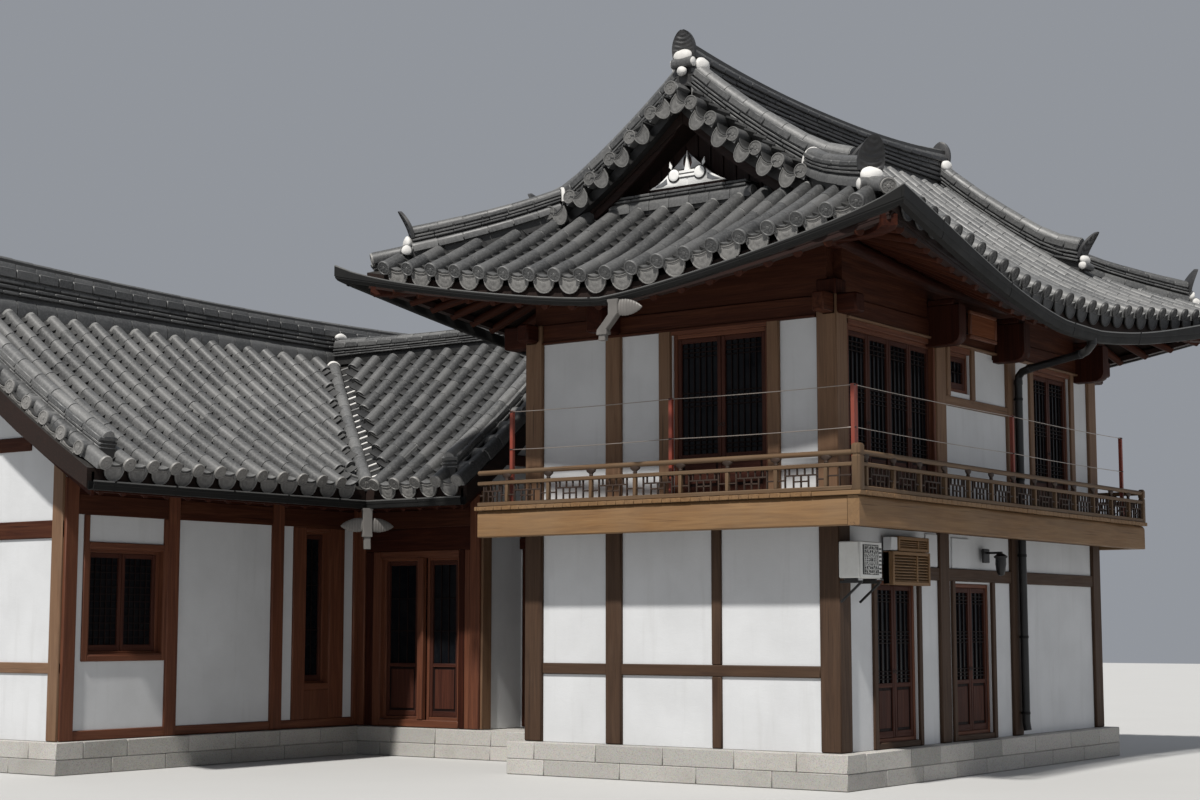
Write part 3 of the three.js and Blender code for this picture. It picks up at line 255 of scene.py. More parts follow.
class Part:
    """Collects bodies and becomes one object riding on the frame."""
    def __init__(self, name, slot, mats, replaces=(), angle=38):
        self.name, self.slot, self.mats, self.nodes, self.angle = name, slot, mats, replaces, angle
        self.v, self.l, self.s, self.m, self.g, self.r, self.w = [], [], [], [], [], [], []
        self.n = 0

    def raw(self, v, l, s, m, g, r, w):
        self.v.append(v); self.l.append(l + self.n); self.s.append(s); self.m.append(m)
        self.g.append(g); self.r.append(r); self.w.append(w)
        self.n += len(v)

    def add(self, G, mat=None, g=None, rnd=None):
        v, l, s, m, w = G
        m = m if mat is None else np.full(len(s), mat)
        if g is None:
            e = v.max(0) - v.min(0)
            g = np.roll(v, -int(np.argmax(e)), axis=1) + rng.uniform(0, 30, 3)
        self.raw(v, l, s, m, g, np.full(len(v), rng.random() if rnd is None else rnd), w)

    def stamp(self, G, P, X, Y, Z, scale=None, rnd=None, mat=None):
        v, l, s, m, w = G
        P = np.atleast_2d(P)
        K, T = len(P), len(v)
        X, Y, Z = [np.broadcast_to(np.atleast_2d(a), (K, 3)) for a in (X, Y, Z)]
        lv = np.broadcast_to(v[None], (K, T, 3)).copy()
        if scale is not None:
            lv *= np.asarray(scale)[:, None, :]
        V = P[:, None] + lv[..., 0:1] * X[:, None] + lv[..., 1:2] * Y[:, None] + lv[..., 2:3] * Z[:, None]
        off = rng.uniform(0, 30, (K, 1, 3))
        g = lv[..., [1, 0, 2]] + off
        r = rng.random(K) if rnd is None else np.broadcast_to(rnd, (K,))
        left = (np.cross(X, Y) * Z).sum(-1) < 0
        L = np.where(left[:, None], turned(l, s)[None] if left.any() else l[None], l[None])
        self.raw(V.reshape(-1, 3), (L + (np.arange(K) * T)[:, None]).ravel(), np.tile(s, K),
                 np.tile(m if mat is None else np.full(len(s), mat), K), g.reshape(-1, 3), np.repeat(r, T), np.tile(w, K))

    def bars(self, P, X, Y, Z, H, bev=0.006, mat=0, rnd=None):
        """Chamfered bars: centre P, axes, half sizes H (first is along the length)."""
        P, H = np.atleast_2d(P), np.atleast_2d(H)
        K = len(P)
        X, Y, Z = [np.broadcast_to(np.atleast_2d(a), (K, 3)) for a in (X, Y, Z)]
        b = np.minimum(bev, H.min(1) * 0.45)[:, None, None]
        lv = CB_S[None] * (H[:, None, :] - b * CB_M[None])
        V = P[:, None] + lv[..., 0:1] * X[:, None] + lv[..., 1:2] * Y[:, None] + lv[..., 2:3] * Z[:, None]
        g = lv + rng.uniform(0, 30, (K, 1, 3))
        r = rng.random(K) if rnd is None else np.broadcast_to(rnd, (K,))
        left = (np.cross(X, Y) * Z).sum(-1) < 0
        L = np.where(left[:, None], turned(CB_L, CB_N)[None] if left.any() else CB_L[None], CB_L[None])
        self.raw(V.reshape(-1, 3), (L + (np.arange(K) * 24)[:, None]).ravel(), np.tile(CB_N, K),
                 np.full(K * len(CB_N), mat), g.reshape(-1, 3), np.repeat(r, 24), np.zeros(K * 24))

    def box(self, x0, x1, y0, y1, z0, z1, mat=0, bev=0.006, axis=None, rnd=None):
        lo, hi = np.array([x0, y0, z0], float), np.array([x1, y1, z1], float)
        c, hh = (lo + hi) / 2, (hi - lo) / 2
        ax = int(np.argmax(hh)) if axis is None else axis
        E = np.eye(3)
        o = [ax, (ax + 1) % 3, (ax + 2) % 3]
        self.bars(c, E[o[0]], E[o[1]], E[o[2]], hh[o], bev, mat, rnd)

    def beam(self, p0, p1, w, t, mat=0, bev=0.006, up=(0, 0, 1), rnd=None):
        """Bar from p0 to p1, w across and t high."""
        p0, p1 = np.array(p0, float), np.array(p1, float)
        X = unit(p1 - p0)
        Y = unit(np.cross(np.array(up, float), X))
        Z = np.cross(X, Y)
        self.bars((p0 + p1) / 2, X, Y, Z, [np.linalg.norm(p1 - p0) / 2, w / 2, t / 2], bev, mat, rnd)

    def sweep(self, path, prof, side=None, mat=0, loop=False, caps=True, rnd=None, scale=None, up=None):
        path, prof = np.asarray(path, float), np.asarray(prof, float)
        t = np.gradient(path, axis=0) if not loop else np.roll(path, -1, 0) - np.roll(path, 1, 0)
        t = unit(t)
        if side is None:
            side = unit(np.cross(t, np.array([0, 0, 1.0])))
        side = np.broadcast_to(np.asarray(side, float), path.shape)
        if up is None:
            up = unit(np.cross(side, t))
            up = np.where(up[:, 2:3] < 0, -up, up)
        up = np.broadcast_to(np.asarray(up, float), path.shape)
        sc = np.ones(len(path)) if scale is None else np.asarray(scale)
        rings = path[:, None] + (prof[None, :, 0:1] * side[:, None] + prof[None, :, 1:2] * up[:, None]) * sc[:, None, None]
        G = loft(rings, caps=caps, loop=loop, mat=mat)
        d = np.concatenate([[0], np.cumsum(np.linalg.norm(np.diff(path, axis=0), axis=1))])
        g = np.concatenate([np.broadcast_to(d[:, None, None], (len(path), len(prof), 1)),
                            np.broadcast_to(prof[None], (len(path), len(prof), 2))], -1).reshape(-1, 3) + rng.uniform(0, 30, 3)
        self.add(G, None, g, rnd)

    def tube(self, path, r, n=10, mat=0, rnd=None, cap=0.15):
        """Round bar along a path with rounded ends."""
        path = np.asarray(path, float)
        r = np.broadcast_to(np.asarray(r, float), (len(path),)).copy()
        t = unit(np.gradient(path, axis=0))
        ref = np.array([0.0, 0, 1]) if abs(t[0, 2]) < 0.9 else np.array([1.0, 0, 0])
        s0 = unit(np.cross(t[0], ref))
        S = []
        for k in range(len(path)):
            s0 = unit(s0 - np.dot(s0, t[k]) * t[k])
            S.append(s0)
        S = np.array(S)
        U = np.cross(S, t)
        e = r[0] * cap
        pts = np.concatenate([[path[0]], [path[0] + t[0] * e], path[1:-1], [path[-1] - t[-1] * e], [path[-1]]])
        idx = np.concatenate([[0, 0], np.arange(1, len(path) - 1), [-1, -1]]).astype(int)
        rr = r[idx].copy(); rr[0] *= 1 - cap; rr[-1] *= 1 - cap
        th = np.arange(n) * 2 * np.pi / n
        rings = pts[:, None] + rr[:, None, None] * (np.cos(th)[None, :, None] * S[idx][:, None] + np.sin(th)[None, :, None] * U[idx][:, None])
        G = loft(rings, mat=mat)
        d = np.concatenate([[0], np.cumsum(np.linalg.norm(np.diff(pts, axis=0), axis=1))])
        g = np.stack([np.repeat(d, n), np.tile(np.cos(th), len(pts)) * np.repeat(rr, n), np.tile(np.sin(th), len(pts)) * np.repeat(rr, n)], -1) + rng.uniform(0, 30, 3)
        self.add(G, None, g, rnd)

    def build(self):
        V = np.concatenate(self.v)
        V = V - np.array([OX, OY, 0.0])
        L, S, M = np.concatenate(self.l), np.concatenate(self.s), np.concatenate(self.m)
        me = bpy.data.meshes.new(self.name)
        me.vertices.add(len(V))
        me.vertices.foreach_set("co", V.astype(np.float32).ravel())
        me.loops.add(len(L))
        me.loops.foreach_set("vertex_index", L.astype(np.int32))
        me.polygons.add(len(S))
        me.polygons.foreach_set("loop_start", np.concatenate([[0], np.cumsum(S)[:-1]]).astype(np.int32))
        for m in self.mats:
            me.materials.append(m)
        me.polygons.foreach_set("material_index", M.astype(np.int32))
        me.polygons.foreach_set("use_smooth", np.ones(len(S), bool))
        me.update(calc_edges=True)
        a = me.attributes.new("grain", "FLOAT_VECTOR", "POINT")
        a.data.foreach_set("vector", np.concatenate(self.g).astype(np.float32).ravel())
        a = me.attributes.new("piece", "FLOAT", "POINT")
        a.data.foreach_set("value", np.concatenate(self.r).astype(np.float32))
        a = me.attributes.new("wear", "FLOAT", "POINT")
        a.data.foreach_set("value", np.concatenate(self.w).astype(np.float32))
        me.set_sharp_from_angle(angle=math.radians(self.angle))
        ob = bpy.data.objects.new(self.name, me)
        bpy.context.scene.collection.objects.link(ob)
        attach(ob, "root")
        if self.nodes:
            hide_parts(*self.nodes)
        tris = int((S - 2).sum())
        TRIS[self.name] = tris
        return ob


TRIS = {}


# ------------------------------------------------------------------- materials
class NT:
    def __init__(self, name):
        self.m = bpy.data.materials.new(name)
        self.m.use_nodes = True
        self.t = self.m.node_tree
        self.b = self.t.nodes["Principled BSDF"]

    def n(self, kind, **kw):
        x = self.t.nodes.new(kind)
        for k, v in kw.items():
            setattr(x, k, v)
        return x

    def put(self, socket, value):
        if isinstance(value, bpy.types.NodeSocket):
            self.t.links.new(value, socket)
        elif value is not None:
            socket.default_value = value

    def attr(self, name, out="Fac"):
        x = self.n("ShaderNodeAttribute", attribute_name=name)
        return x.outputs[out]

    def obj(self):
        return self.n("ShaderNodeTexCoord").outputs["Object"]

    def mapping(self, vec, scale=(1, 1, 1), loc=(0, 0, 0), rot=(0, 0, 0)):
        x = self.n("ShaderNodeMapping")
        self.put(x.inputs["Vector"], vec)
        x.inputs["Scale"].default_value = scale
        x.inputs["Location"].default_value = loc
        x.inputs["Rotation"].default_value = rot
        return x.outputs[0]

    def noise(self, vec, scale, detail=4, rough=0.55, dist=0.0, out="Fac"):
        x = self.n("ShaderNodeTexNoise")
        self.put(x.inputs["Vector"], vec)
        x.inputs["Scale"].default_value = scale
        x.inputs["Detail"].default_value = detail
        x.inputs["Roughness"].default_value = rough
        x.inputs["Distortion"].default_value = dist
        return x.outputs[out]

    def voronoi(self, vec, scale, feature="F1", out="Distance", rand=1.0):
        x = self.n("ShaderNodeTexVoronoi", feature=feature)
        self.put(x.inputs["Vector"], vec)
        x.inputs["Scale"].default_value = scale
        x.inputs["Randomness"].default_value = rand
        return x.outputs[out]

    def ramp(self, fac, stops, mode="LINEAR"):
        x = self.n("ShaderNodeValToRGB")
        x.color_ramp.interpolation = mode
        e = x.color_ramp.elements
        while len(e) < len(stops):
            e.new(0.5)
        for k, (p, c) in enumerate(stops):
            e[k].position = p
            e[k].color = (*c, 1) if len(c) == 3 else c
        self.put(x.inputs[0], fac)
        return x.outputs[0]

    def band(self, fac, lo, hi, a=0.0, b=1.0):
        x = self.n("ShaderNodeMapRange")
        x.clamp = True
        self.put(x.inputs[0], fac)
        for k, v in zip((1, 2, 3, 4), (lo, hi, a, b)):
            x.inputs[k].default_value = v
        return x.outputs[0]

    def mix(self, fac, a, b, blend="MIX"):
        x = self.n("ShaderNodeMix", data_type="RGBA", blend_type=blend)
        self.put(x.inputs[0], fac)
        self.put(x.inputs[6], (*a, 1) if isinstance(a, tuple) else a)
        self.put(x.inputs[7], (*b, 1) if isinstance(b, tuple) else b)
        return x.outputs[2]

    def math(self, op, a, b=None):
        x = self.n("ShaderNodeMath", operation=op)
        self.put(x.inputs[0], a)
        if b is not None:
            self.put(x.inputs[1], b)
        return x.outputs[0]

    def bump(self, height, strength=0.5, dist=0.01, normal=None):
        x = self.n("ShaderNodeBump")
        self.put(x.inputs["Height"], height)
        x.inputs["Strength"].default_value = strength
        x.inputs["Distance"].default_value = dist
        if normal is not None:
            self.put(x.inputs["Normal"], normal)
        return x.outputs[0]

    def out(self, color, rough, normal=None, metal=None, spec=None):
        self.put(self.b.inputs["Base Color"], color)
        self.put(self.b.inputs["Roughness"], rough)
        if normal is not None:
            self.put(self.b.inputs["Normal"], normal)
        if metal is not None:
            self.b.inputs["Metallic"].default_value = metal
        if spec is not None:
            self.b.inputs["Specular IOR Level"].default_value = spec
        return self.m


def clay(name, dark, mid, light, bump=0.35, rim=0.5):
    """Fired grey tile: colour differs from tile to tile, worn edges, dust and damp."""
    t = NT(name)
    p = t.obj()
    base = t.ramp(t.attr("piece"), [(0.0, dark), (0.5, mid), (1.0, light)])
    blot = t.noise(p, 2.2, 5, 0.6)
    base = t.mix(t.band(blot, 0.35, 0.7, 0.0, 0.55), base, tuple(x * 0.62 for x in mid))
    fine = t.noise(p, 34, 6, 0.7)
    base = t.mix(t.band(fine, 0.45, 0.75, 0.0, 0.5), base, tuple(min(1, x * 1.7) for x in light))
    streak = t.noise(t.mapping(t.attr("grain", "Vector"), (3, 26, 26)), 2.0, 4, 0.6)
    base = t.mix(t.band(streak, 0.52, 0.78, 0.0, 0.35), base, tuple(x * 0.5 for x in dark))
    edge = t.math("MULTIPLY", t.attr("wear"), t.band(t.noise(p, 18, 4, 0.6), 0.3, 0.6, 0.35, 1.0))
    base = t.mix(t.math("MULTIPLY", edge, rim), base, tuple(min(1, x * 2.3) for x in light))
    pits = t.noise(p, 160, 3, 0.6)
    hgt = t.math("ADD", t.math("MULTIPLY", fine, 0.6), t.math("MULTIPLY", pits, 0.3))
    return t.out(base, t.band(blot, 0.3, 0.7, 0.40, 0.58), t.bump(hgt, bump, 0.006), spec=0.55)


def wood(name, dark, mid, light, grey=None, greyness=0.0, rough=(0.5, 0.75), fibre=1.0, bump=0.4, coords="attr", crack=0.5, spec=0.30):
    """Timber with grain along the member, checks, and weathering by place."""
    t = NT(name)
    v = t.attr("grain", "Vector") if coords == "attr" else t.obj()
    p = t.obj()
    ring = t.noise(t.mapping(v, (0.55, 9 * fibre, 9 * fibre)), 1.6, 6, 0.6, 1.2)
    fib = t.noise(t.mapping(v, (2.2, 95 * fibre, 95 * fibre)), 1.0, 4, 0.6)
    base = t.ramp(ring, [(0.25, dark), (0.5, mid), (0.78, light)])
    base = t.mix(t.band(fib, 0.35, 0.75, 0.0, 0.45), base, tuple(x * 0.55 for x in dark))
    base = t.mix(t.band(t.attr("piece"), 0.0, 1.0, 0.0, 0.4), base, tuple(x * 0.7 for x in mid))
    if grey is not None:
        big = t.noise(p, 1.3, 5, 0.6)
        base = t.mix(t.band(big, 0.3, 0.62, greyness * 0.4, greyness), base, t.mix(fib, tuple(x * 0.7 for x in grey), tuple(min(1, x * 1.2) for x in grey)))
    cr = t.noise(t.mapping(v, (0.7, 42 * fibre, 42 * fibre)), 1.3, 3, 0.5, 0.3)
    split = t.band(cr, 0.30, 0.36, 1.0, 0.0)
    base = t.mix(t.math("MULTIPLY", split, crack), base, tuple(x * 0.25 for x in dark))
    hgt = t.math("SUBTRACT", t.math("ADD", t.math("MULTIPLY", fib, 0.5), t.math("MULTIPLY", ring, 0.4)), t.math("MULTIPLY", split, 0.6 * crack))
    return t.out(base, t.band(fib, 0.3, 0.7, rough[0], rough[1]), t.bump(hgt, bump, 0.006), spec=spec)


def plaster(name, base_c, shade, stain, bump=0.25, spot=0.4):
    """Trowelled lime plaster with faint clouds, trowel marks and rain marks."""
    t = NT(name)
    p = t.obj()
    cloud = t.noise(p, 1.7, 5, 0.55)
    col = t.mix(t.band(cloud, 0.35, 0.7, 0.0, 0.7), base_c, shade)
    run = t.noise(t.mapping(p, (5, 5, 0.5)), 1.6, 4, 0.6)
    col = t.mix(t.band(run, 0.55, 0.8, 0.0, spot), col, stain)
    trowel = t.noise(t.mapping(p, (3, 3, 7)), 3.0, 5, 0.6, 0.8)
    sand = t.noise(p, 210, 3, 0.6)
    col = t.mix(t.band(sand, 0.45, 0.8, 0.0, 0.18), col, tuple(x * 0.6 for x in shade))
    hgt = t.math("ADD", t.math("MULTIPLY", trowel, 0.7), t.math("MULTIPLY", sand, 0.18))
    return t.out(col, t.band(cloud, 0.3, 0.7, 0.78, 0.92), t.bump(hgt, bump, 0.008), spec=0.3)


def metal(name, base_c, worn, rough=(0.35, 0.55), metallic=0.0, wear_amt=0.5, spec=0.5, bump=0.12):
    """Painted or bare sheet metal with dust, scuffs and run marks."""
    t = NT(name)
    p = t.obj()
    dust = t.noise(p, 3.1, 5, 0.6)
    run = t.noise(t.mapping(p, (14, 14, 1.2)), 1.5, 4, 0.6)
    col = t.mix(t.band(dust, 0.42, 0.75, 0.0, wear_amt), base_c, worn)
    col = t.mix(t.band(run, 0.55, 0.8, 0.0, wear_amt * 0.6), col, tuple(x * 0.55 for x in base_c))
    chip = t.noise(p, 60, 3, 0.7)
    col = t.mix(t.band(chip, 0.68, 0.72, 0.0, 0.5 * wear_amt), col, tuple(min(1, x * 1.5) for x in worn))
    return t.out(col, t.band(dust, 0.3, 0.7, rough[0], rough[1]), t.bump(t.math("ADD", t.math("MULTIPLY", dust, 0.5), t.math("MULTIPLY", chip, 0.2)), bump, 0.006), metal=metallic, spec=spec)


def glass(name):
    """Dark window glass seen from outside, with faint dust."""
    t = NT(name)
    p = t.obj()
    dust = t.noise(p, 9, 5, 0.65)
    wave = t.noise(p, 2.4, 2, 0.5)
    col = t.mix(t.band(dust, 0.45, 0.8, 0.0, 0.35), (0.004, 0.0045, 0.006), (0.018, 0.018, 0.018))
    return t.out(col, t.band(dust, 0.4, 0.8, 0.10, 0.28), t.bump(wave, 0.06, 0.01), spec=0.12)


def granite(name):
    t = NT(name)
    p = t.obj()
    g1 = t.voronoi(p, 190, "F1", "Color")
    g2 = t.noise(p, 95, 4, 0.7)
    base = t.ramp(t.attr("piece"), [(0.0, (0.34, 0.33, 0.31)), (1.0, (0.50, 0.48, 0.45))])
    base = t.mix(0.22, base, g1, "MULTIPLY")
    base = t.mix(t.band(g2, 0.52, 0.66, 0.0, 0.6), base, (0.10, 0.10, 0.10))
    stain = t.noise(p, 1.6, 5, 0.6)
    base = t.mix(t.band(stain, 0.5, 0.8, 0.0, 0.5), base, (0.20, 0.185, 0.16))
    rough = t.noise(p, 22, 5, 0.7)
    return t.out(base, t.band(g2, 0.3, 0.7, 0.7, 0.9), t.bump(t.math("ADD", t.math("MULTIPLY", rough, 0.8), t.math("MULTIPLY", g2, 0.3)), 0.5, 0.01), spec=0.3)


M_TILE = clay("roof_tile", (0.058, 0.060, 0.062), (0.101, 0.102, 0.103), (0.158, 0.158, 0.156))
# pan tiles near black: painted shade standing in for the shadow the cover tiles cast on them
M_PAN = clay("pan_tile_painted_shade", (0.009, 0.009, 0.010), (0.017, 0.017, 0.018), (0.034, 0.034, 0.033))
M_END = clay("end_tile", (0.076, 0.075, 0.072), (0.124, 0.121, 0.117), (0.176, 0.172, 0.165), 0.5, 0.45)
M_VERGE = clay("verge_end_tile", (0.046, 0.046, 0.045), (0.076, 0.075, 0.073), (0.112, 0.110, 0.106), 0.5, 0.4)
# near-black copy of the end tile for the front and back eaves: painted shade on end faces turned away from the light
M_END_SHADE = clay("end_tile_painted_shade", (0.009, 0.009, 0.010), (0.017, 0.017, 0.018), (0.031, 0.031, 0.031), 0.5, 0.4)
# darker copy of the roof tile for the skirts, the wing roofs and the verges, and for the skirt end discs: painted shade
M_TILE2 = clay("roof_tile_skirt_painted_shade", (0.032, 0.033, 0.034), (0.062, 0.063, 0.064), (0.106, 0.106, 0.105))
# darker copy of the roof tile for the range roofs: painted shade
M_TILE3 = clay("roof_tile_court_painted_shade", (0.040, 0.041, 0.042), (0.078, 0.079, 0.080), (0.128, 0.128, 0.127))
M_RIDGE = clay("ridge_tile", (0.040, 0.041, 0.042), (0.070, 0.071, 0.072), (0.112, 0.112, 0.111))
# near-black tile for the end shields and the main ridge courses: painted shade on faces turned away from the light
M_SHIELD = clay("end_shield_tile_painted_shade", (0.014, 0.014, 0.015), (0.024, 0.024, 0.026), (0.040, 0.040, 0.041), 0.4, 0.35)
# dark clay for bedding and ridge cores; the same material makes the dark boards behind windows and louvre slats,
# painted shade for the dark inside
M_DARK = clay("dark_clay_and_painted_shade", (0.010, 0.010, 0.010), (0.016, 0.016, 0.016), (0.026, 0.025, 0.024), 0.5)
M_JOINT = plaster("joint_mortar", (0.23, 0.23, 0.225), (0.12, 0.12, 0.12), (0.07, 0.07, 0.07), 0.5)
M_LIME = plaster("lime_mortar", (0.70, 0.69, 0.67), (0.52, 0.51, 0.49), (0.27, 0.26, 0.25), 0.5, 0.5)
# brighter copy of the lime for the gable ornament: painted sunlight, as the ornament sits in the shade of the verge
M_ORN = plaster("gable_ornament_lime_painted_light", (0.84, 0.84, 0.83), (0.70, 0.70, 0.68), (0.42, 0.41, 0.39), 0.4, 0.3)
M_WALL = plaster("wall_plaster", (0.565, 0.575, 0.590), (0.485, 0.493, 0.505), (0.385, 0.385, 0.382), spot=0.3)
M_GREYP = plaster("grey_plaster", (0.15, 0.155, 0.165), (0.10, 0.105, 0.115), (0.06, 0.06, 0.065), 0.5)
# eave, rafter and lintel timbers are made about half as bright as their wood: painted shade of the deep eaves
W_EAVE = wood("eave_timber", (0.014, 0.0035, 0.002), (0.034, 0.008, 0.004), (0.070, 0.019, 0.008), spec=0.12)
W_RAFT = wood("rafter_timber", (0.018, 0.005, 0.003), (0.042, 0.011, 0.005), (0.080, 0.024, 0.010), spec=0.12)
W_BEAM = wood("lintel_timber", (0.021, 0.0055, 0.003), (0.052, 0.015, 0.007), (0.102, 0.037, 0.017), spec=0.14)
W_POST = wood("post_timber", (0.080, 0.036, 0.017), (0.160, 0.082, 0.041), (0.245, 0.142, 0.080), grey=(0.19, 0.125, 0.082), greyness=0.36)
W_DECK = wood("deck_timber", (0.098, 0.042, 0.013), (0.195, 0.098, 0.034), (0.285, 0.162, 0.064), grey=(0.20, 0.14, 0.085), greyness=0.44)
W_RAIL = wood("rail_timber", (0.050, 0.023, 0.010), (0.110, 0.056, 0.023), (0.170, 0.098, 0.046), grey=(0.13, 0.094, 0.060), greyness=0.5)
W_CUP = wood("rail_cup_timber", (0.012, 0.006, 0.004), (0.032, 0.016, 0.010), (0.060, 0.032, 0.019), grey=(0.06, 0.045, 0.035), greyness=0.25)
# darker copy of the post timber for the ground-floor members: painted shade, as under the balcony
W_LOW = wood("low_timber_painted_shade", (0.026, 0.012, 0.007), (0.056, 0.029, 0.016), (0.092, 0.052, 0.031), grey=(0.075, 0.052, 0.038), greyness=0.3, spec=0.18)
W_FLOOR = wood("floor_timber", (0.120, 0.060, 0.028), (0.210, 0.115, 0.058), (0.300, 0.180, 0.098), coords="obj")
W_DOOR = wood("door_timber", (0.022, 0.008, 0.006), (0.055, 0.018, 0.011), (0.100, 0.036, 0.020), bump=0.25, crack=0.2)
W_FRAME = wood("door_frame_timber", (0.060, 0.018, 0.009), (0.120, 0.039, 0.018), (0.185, 0.070, 0.034), bump=0.3, crack=0.3)
# gable, barge and eave boards near black: painted shade under the verges and eaves
W_BOARD = wood("gable_board_timber", (0.007, 0.003, 0.002), (0.017, 0.006, 0.004), (0.032, 0.011, 0.008))
W_STILE = wood("door_stile_timber", (0.024, 0.007, 0.005), (0.056, 0.017, 0.010), (0.092, 0.031, 0.018), bump=0.25, crack=0.2, spec=0.18)
W_LATT = wood("lattice_timber", (0.0045, 0.002, 0.002), (0.010, 0.0045, 0.004), (0.019, 0.008, 0.006), bump=0.2, crack=0.1, spec=0.12)
W_SIGN = wood("sign_timber", (0.088, 0.024, 0.009), (0.160, 0.050, 0.018), (0.235, 0.084, 0.034), bump=0.2, crack=0.2, spec=0.15)
K_GUTTER = metal("gutter_metal", (0.005, 0.005, 0.005), (0.012, 0.012, 0.011), (0.60, 0.80), 0.0, 0.5, spec=0.28)
K_LIP = metal("gutter_lip", (0.105, 0.105, 0.103), (0.16, 0.16, 0.155), (0.35, 0.5), 0.2, 0.4)
K_OUTLET = metal("outlet_metal", (0.125, 0.117, 0.110), (0.20, 0.188, 0.176), (0.45, 0.62), 0.15, 0.6)
K_RED = metal("red_steel", (0.20, 0.036, 0.020), (0.13, 0.040, 0.026), (0.4, 0.65), 0.0, 0.7)
K_CABLE = metal("cable_steel", (0.34, 0.30, 0.27), (0.22, 0.19, 0.17), (0.3, 0.5), 0.6, 0.4)
K_WHITE = metal("appliance_paint", (0.58, 0.585, 0.57), (0.40, 0.40, 0.38), (0.4, 0.6), 0.0, 0.6)
K_BLACK = metal("black_metal", (0.014, 0.014, 0.015), (0.045, 0.044, 0.042), (0.35, 0.55), 0.3, 0.5)
GLASS = glass("window_glass")
G_STONE = granite("granite_base")


def slab_finish(name):
    """Roof bed: dark bedding clay on top, brown boards at the edges and underneath."""
    t = NT(name)
    p = t.obj()
    nz = t.n("ShaderNodeSeparateXYZ")
    t.put(nz.inputs[0], t.n("ShaderNodeNewGeometry").outputs["True Normal"])
    up = t.band(nz.outputs[2], 0.20, 0.30)
    soil = t.mix(t.band(t.noise(p, 14, 6, 0.7), 0.35, 0.7), (0.016, 0.015, 0.014), (0.040, 0.037, 0.034))
    fib = t.noise(t.mapping(p, (1.2, 60, 60)), 1.0, 5, 0.6)
    brd = t.ramp(fib, [(0.25, (0.006, 0.003, 0.002)), (0.55, (0.013, 0.006, 0.004)), (0.8, (0.026, 0.011, 0.007))])
    brd = t.mix(t.band(t.noise(p, 1.8, 5, 0.6), 0.4, 0.7, 0, 0.5), brd, (0.022, 0.009, 0.006))
    return t.out(t.mix(up, brd, soil), 0.8, t.bump(t.noise(p, 40, 5, 0.7), 0.3, 0.006), spec=0.3)


M_SLAB = slab_finish("roof_bed")

# ------------------------------------------------------------- tile templates
R_COVER, C_COVER = 0.077, 0.096      # radius and centre height over the bed


def arc(a0, a1, n):
    return np.radians(np.linspace(a0, a1, n))


def cover_template():
    th = arc(0, 180, 9)
    prof = np.concatenate([[(R_COVER, -0.075)], np.stack([R_COVER * np.cos(th), R_COVER * np.sin(th)], -1), [(-R_COVER, -0.075)]])
    rings = []
    for y, k in ((0.003, 0.93), (0.012, 1.0), (0.965, 1.0), (0.975, 0.93)):
        p = prof.copy()
        p[1:-1] *= k
        rings.append(np.stack([p[:, 0], np.full(len(p), y), p[:, 1]], -1))
    return loft(rings, wear=[0.8, 0.15, 0.0, 0.35])


def pan_template(hw=0.150, sag=0.105, th=0.024, n=9, lip=0.042, power=1.7):
    a = np.linspace(-1, 1, n)
    z = sag * np.abs(a) ** power
    rings = []
    for y, dz in ((0.0, lip), (1.12, 0.004)):
        top = np.stack([a * hw, np.full(n, y), z + dz], -1)
        bot = np.stack([a[::-1] * hw, np.full(n, y), z[::-1] + dz - th], -1)
        rings.append(np.concatenate([top, bot]))
    return loft(rings, wear=[0.8, 0.0])


def disc_template(R=0.080, n=22):
    prof = [(0.02, 0.03), (R * 0.97, 0.03), (R, 0.024), (R, 0.004), (R * 0.965, 0.0), (R * 0.86, 0.0), (R * 0.82, 0.006),
            (R * 0.64, 0.007), (R * 0.42, 0.004), (R * 0.27, 0.007), (R * 0.22, 0.002), (R * 0.03, 0.001)]
    mod = [0, 0, 0, 0, 0, 0, 0, 0.003, 0.0035, 0, 0, 0]
    return lathe(prof, n, mod, wear=[0, 0.2, 0.7, 0.7, 0.8, 0.7, 0.2, 0.4, 0.5, 0.2, 0.6, 0.6])


def plate_outline(w, hh, n=9):
    """Shield: concave top following the pan tile, rounded bottom."""
    top = [(-w + 2 * w * k / 8, 0.035 * abs(-1 + 2 * k / 8) ** 2) for k in range(9)]
    th = arc(12, 168, n)
    bot = [(w * 1.02 * np.cos(t), -hh * np.sin(t) ** 0.85) for t in th]
    return np.array(top + bot)


def plate_template(w=0.134, hh=0.160):
    o = plate_outline(w, hh)
    c = np.array([0, -hh * 0.42])
    rings = []
    for k, y in ((0.97, 0.022), (1.0, 0.017), (1.0, 0.004), (0.975, 0.0), (0.88, 0.0), (0.85, 0.006), (0.62, 0.005), (0.5, 0.009), (0.2, 0.004)):
        p = c + (o - c) * k
        rings.append(np.stack([p[:, 0], np.full(len(p), y), p[:, 1]], -1))
    return loft(rings, wear=[0.1, 0.6, 0.7, 0.9, 0.7, 0.1, 0.3, 0.6, 0.3])


T_COVER, T_PAN, T_DISC, T_PLATE = cover_template(), pan_template(), disc_template(), plate_template()
T_PAN_WIDE = pan_template(hw=0.128, sag=0.055, th=0.018, n=7, lip=0.030, power=2.2)


def row_frames(S, u, ds, side_sign):
    """Points, tangent, side and normal along a row at coordinate u."""
    P = S(np.full(len(ds), u), ds)
    e = 0.02
    s = unit(S(np.full(len(ds), u + e), ds) - S(np.full(len(ds), u - e), ds)) * side_sign
    t = unit(np.gradient(P, axis=0))
    s = unit(s - (s * t).sum(-1, keepdims=True) * t)
    n = np.cross(s, t)
    return P, t, s, n


def resample(P, step, start=0.0, end=None, *others):
    d = np.concatenate([[0], np.cumsum(np.linalg.norm(np.diff(P, axis=0), axis=1))])
    total = d[-1] if end is None else end
    q = np.arange(start, total, step)
    out = [np.stack([np.interp(q, d, A[:, k]) for k in range(3)], -1) for A in (P, *others)]
    return q, out, total


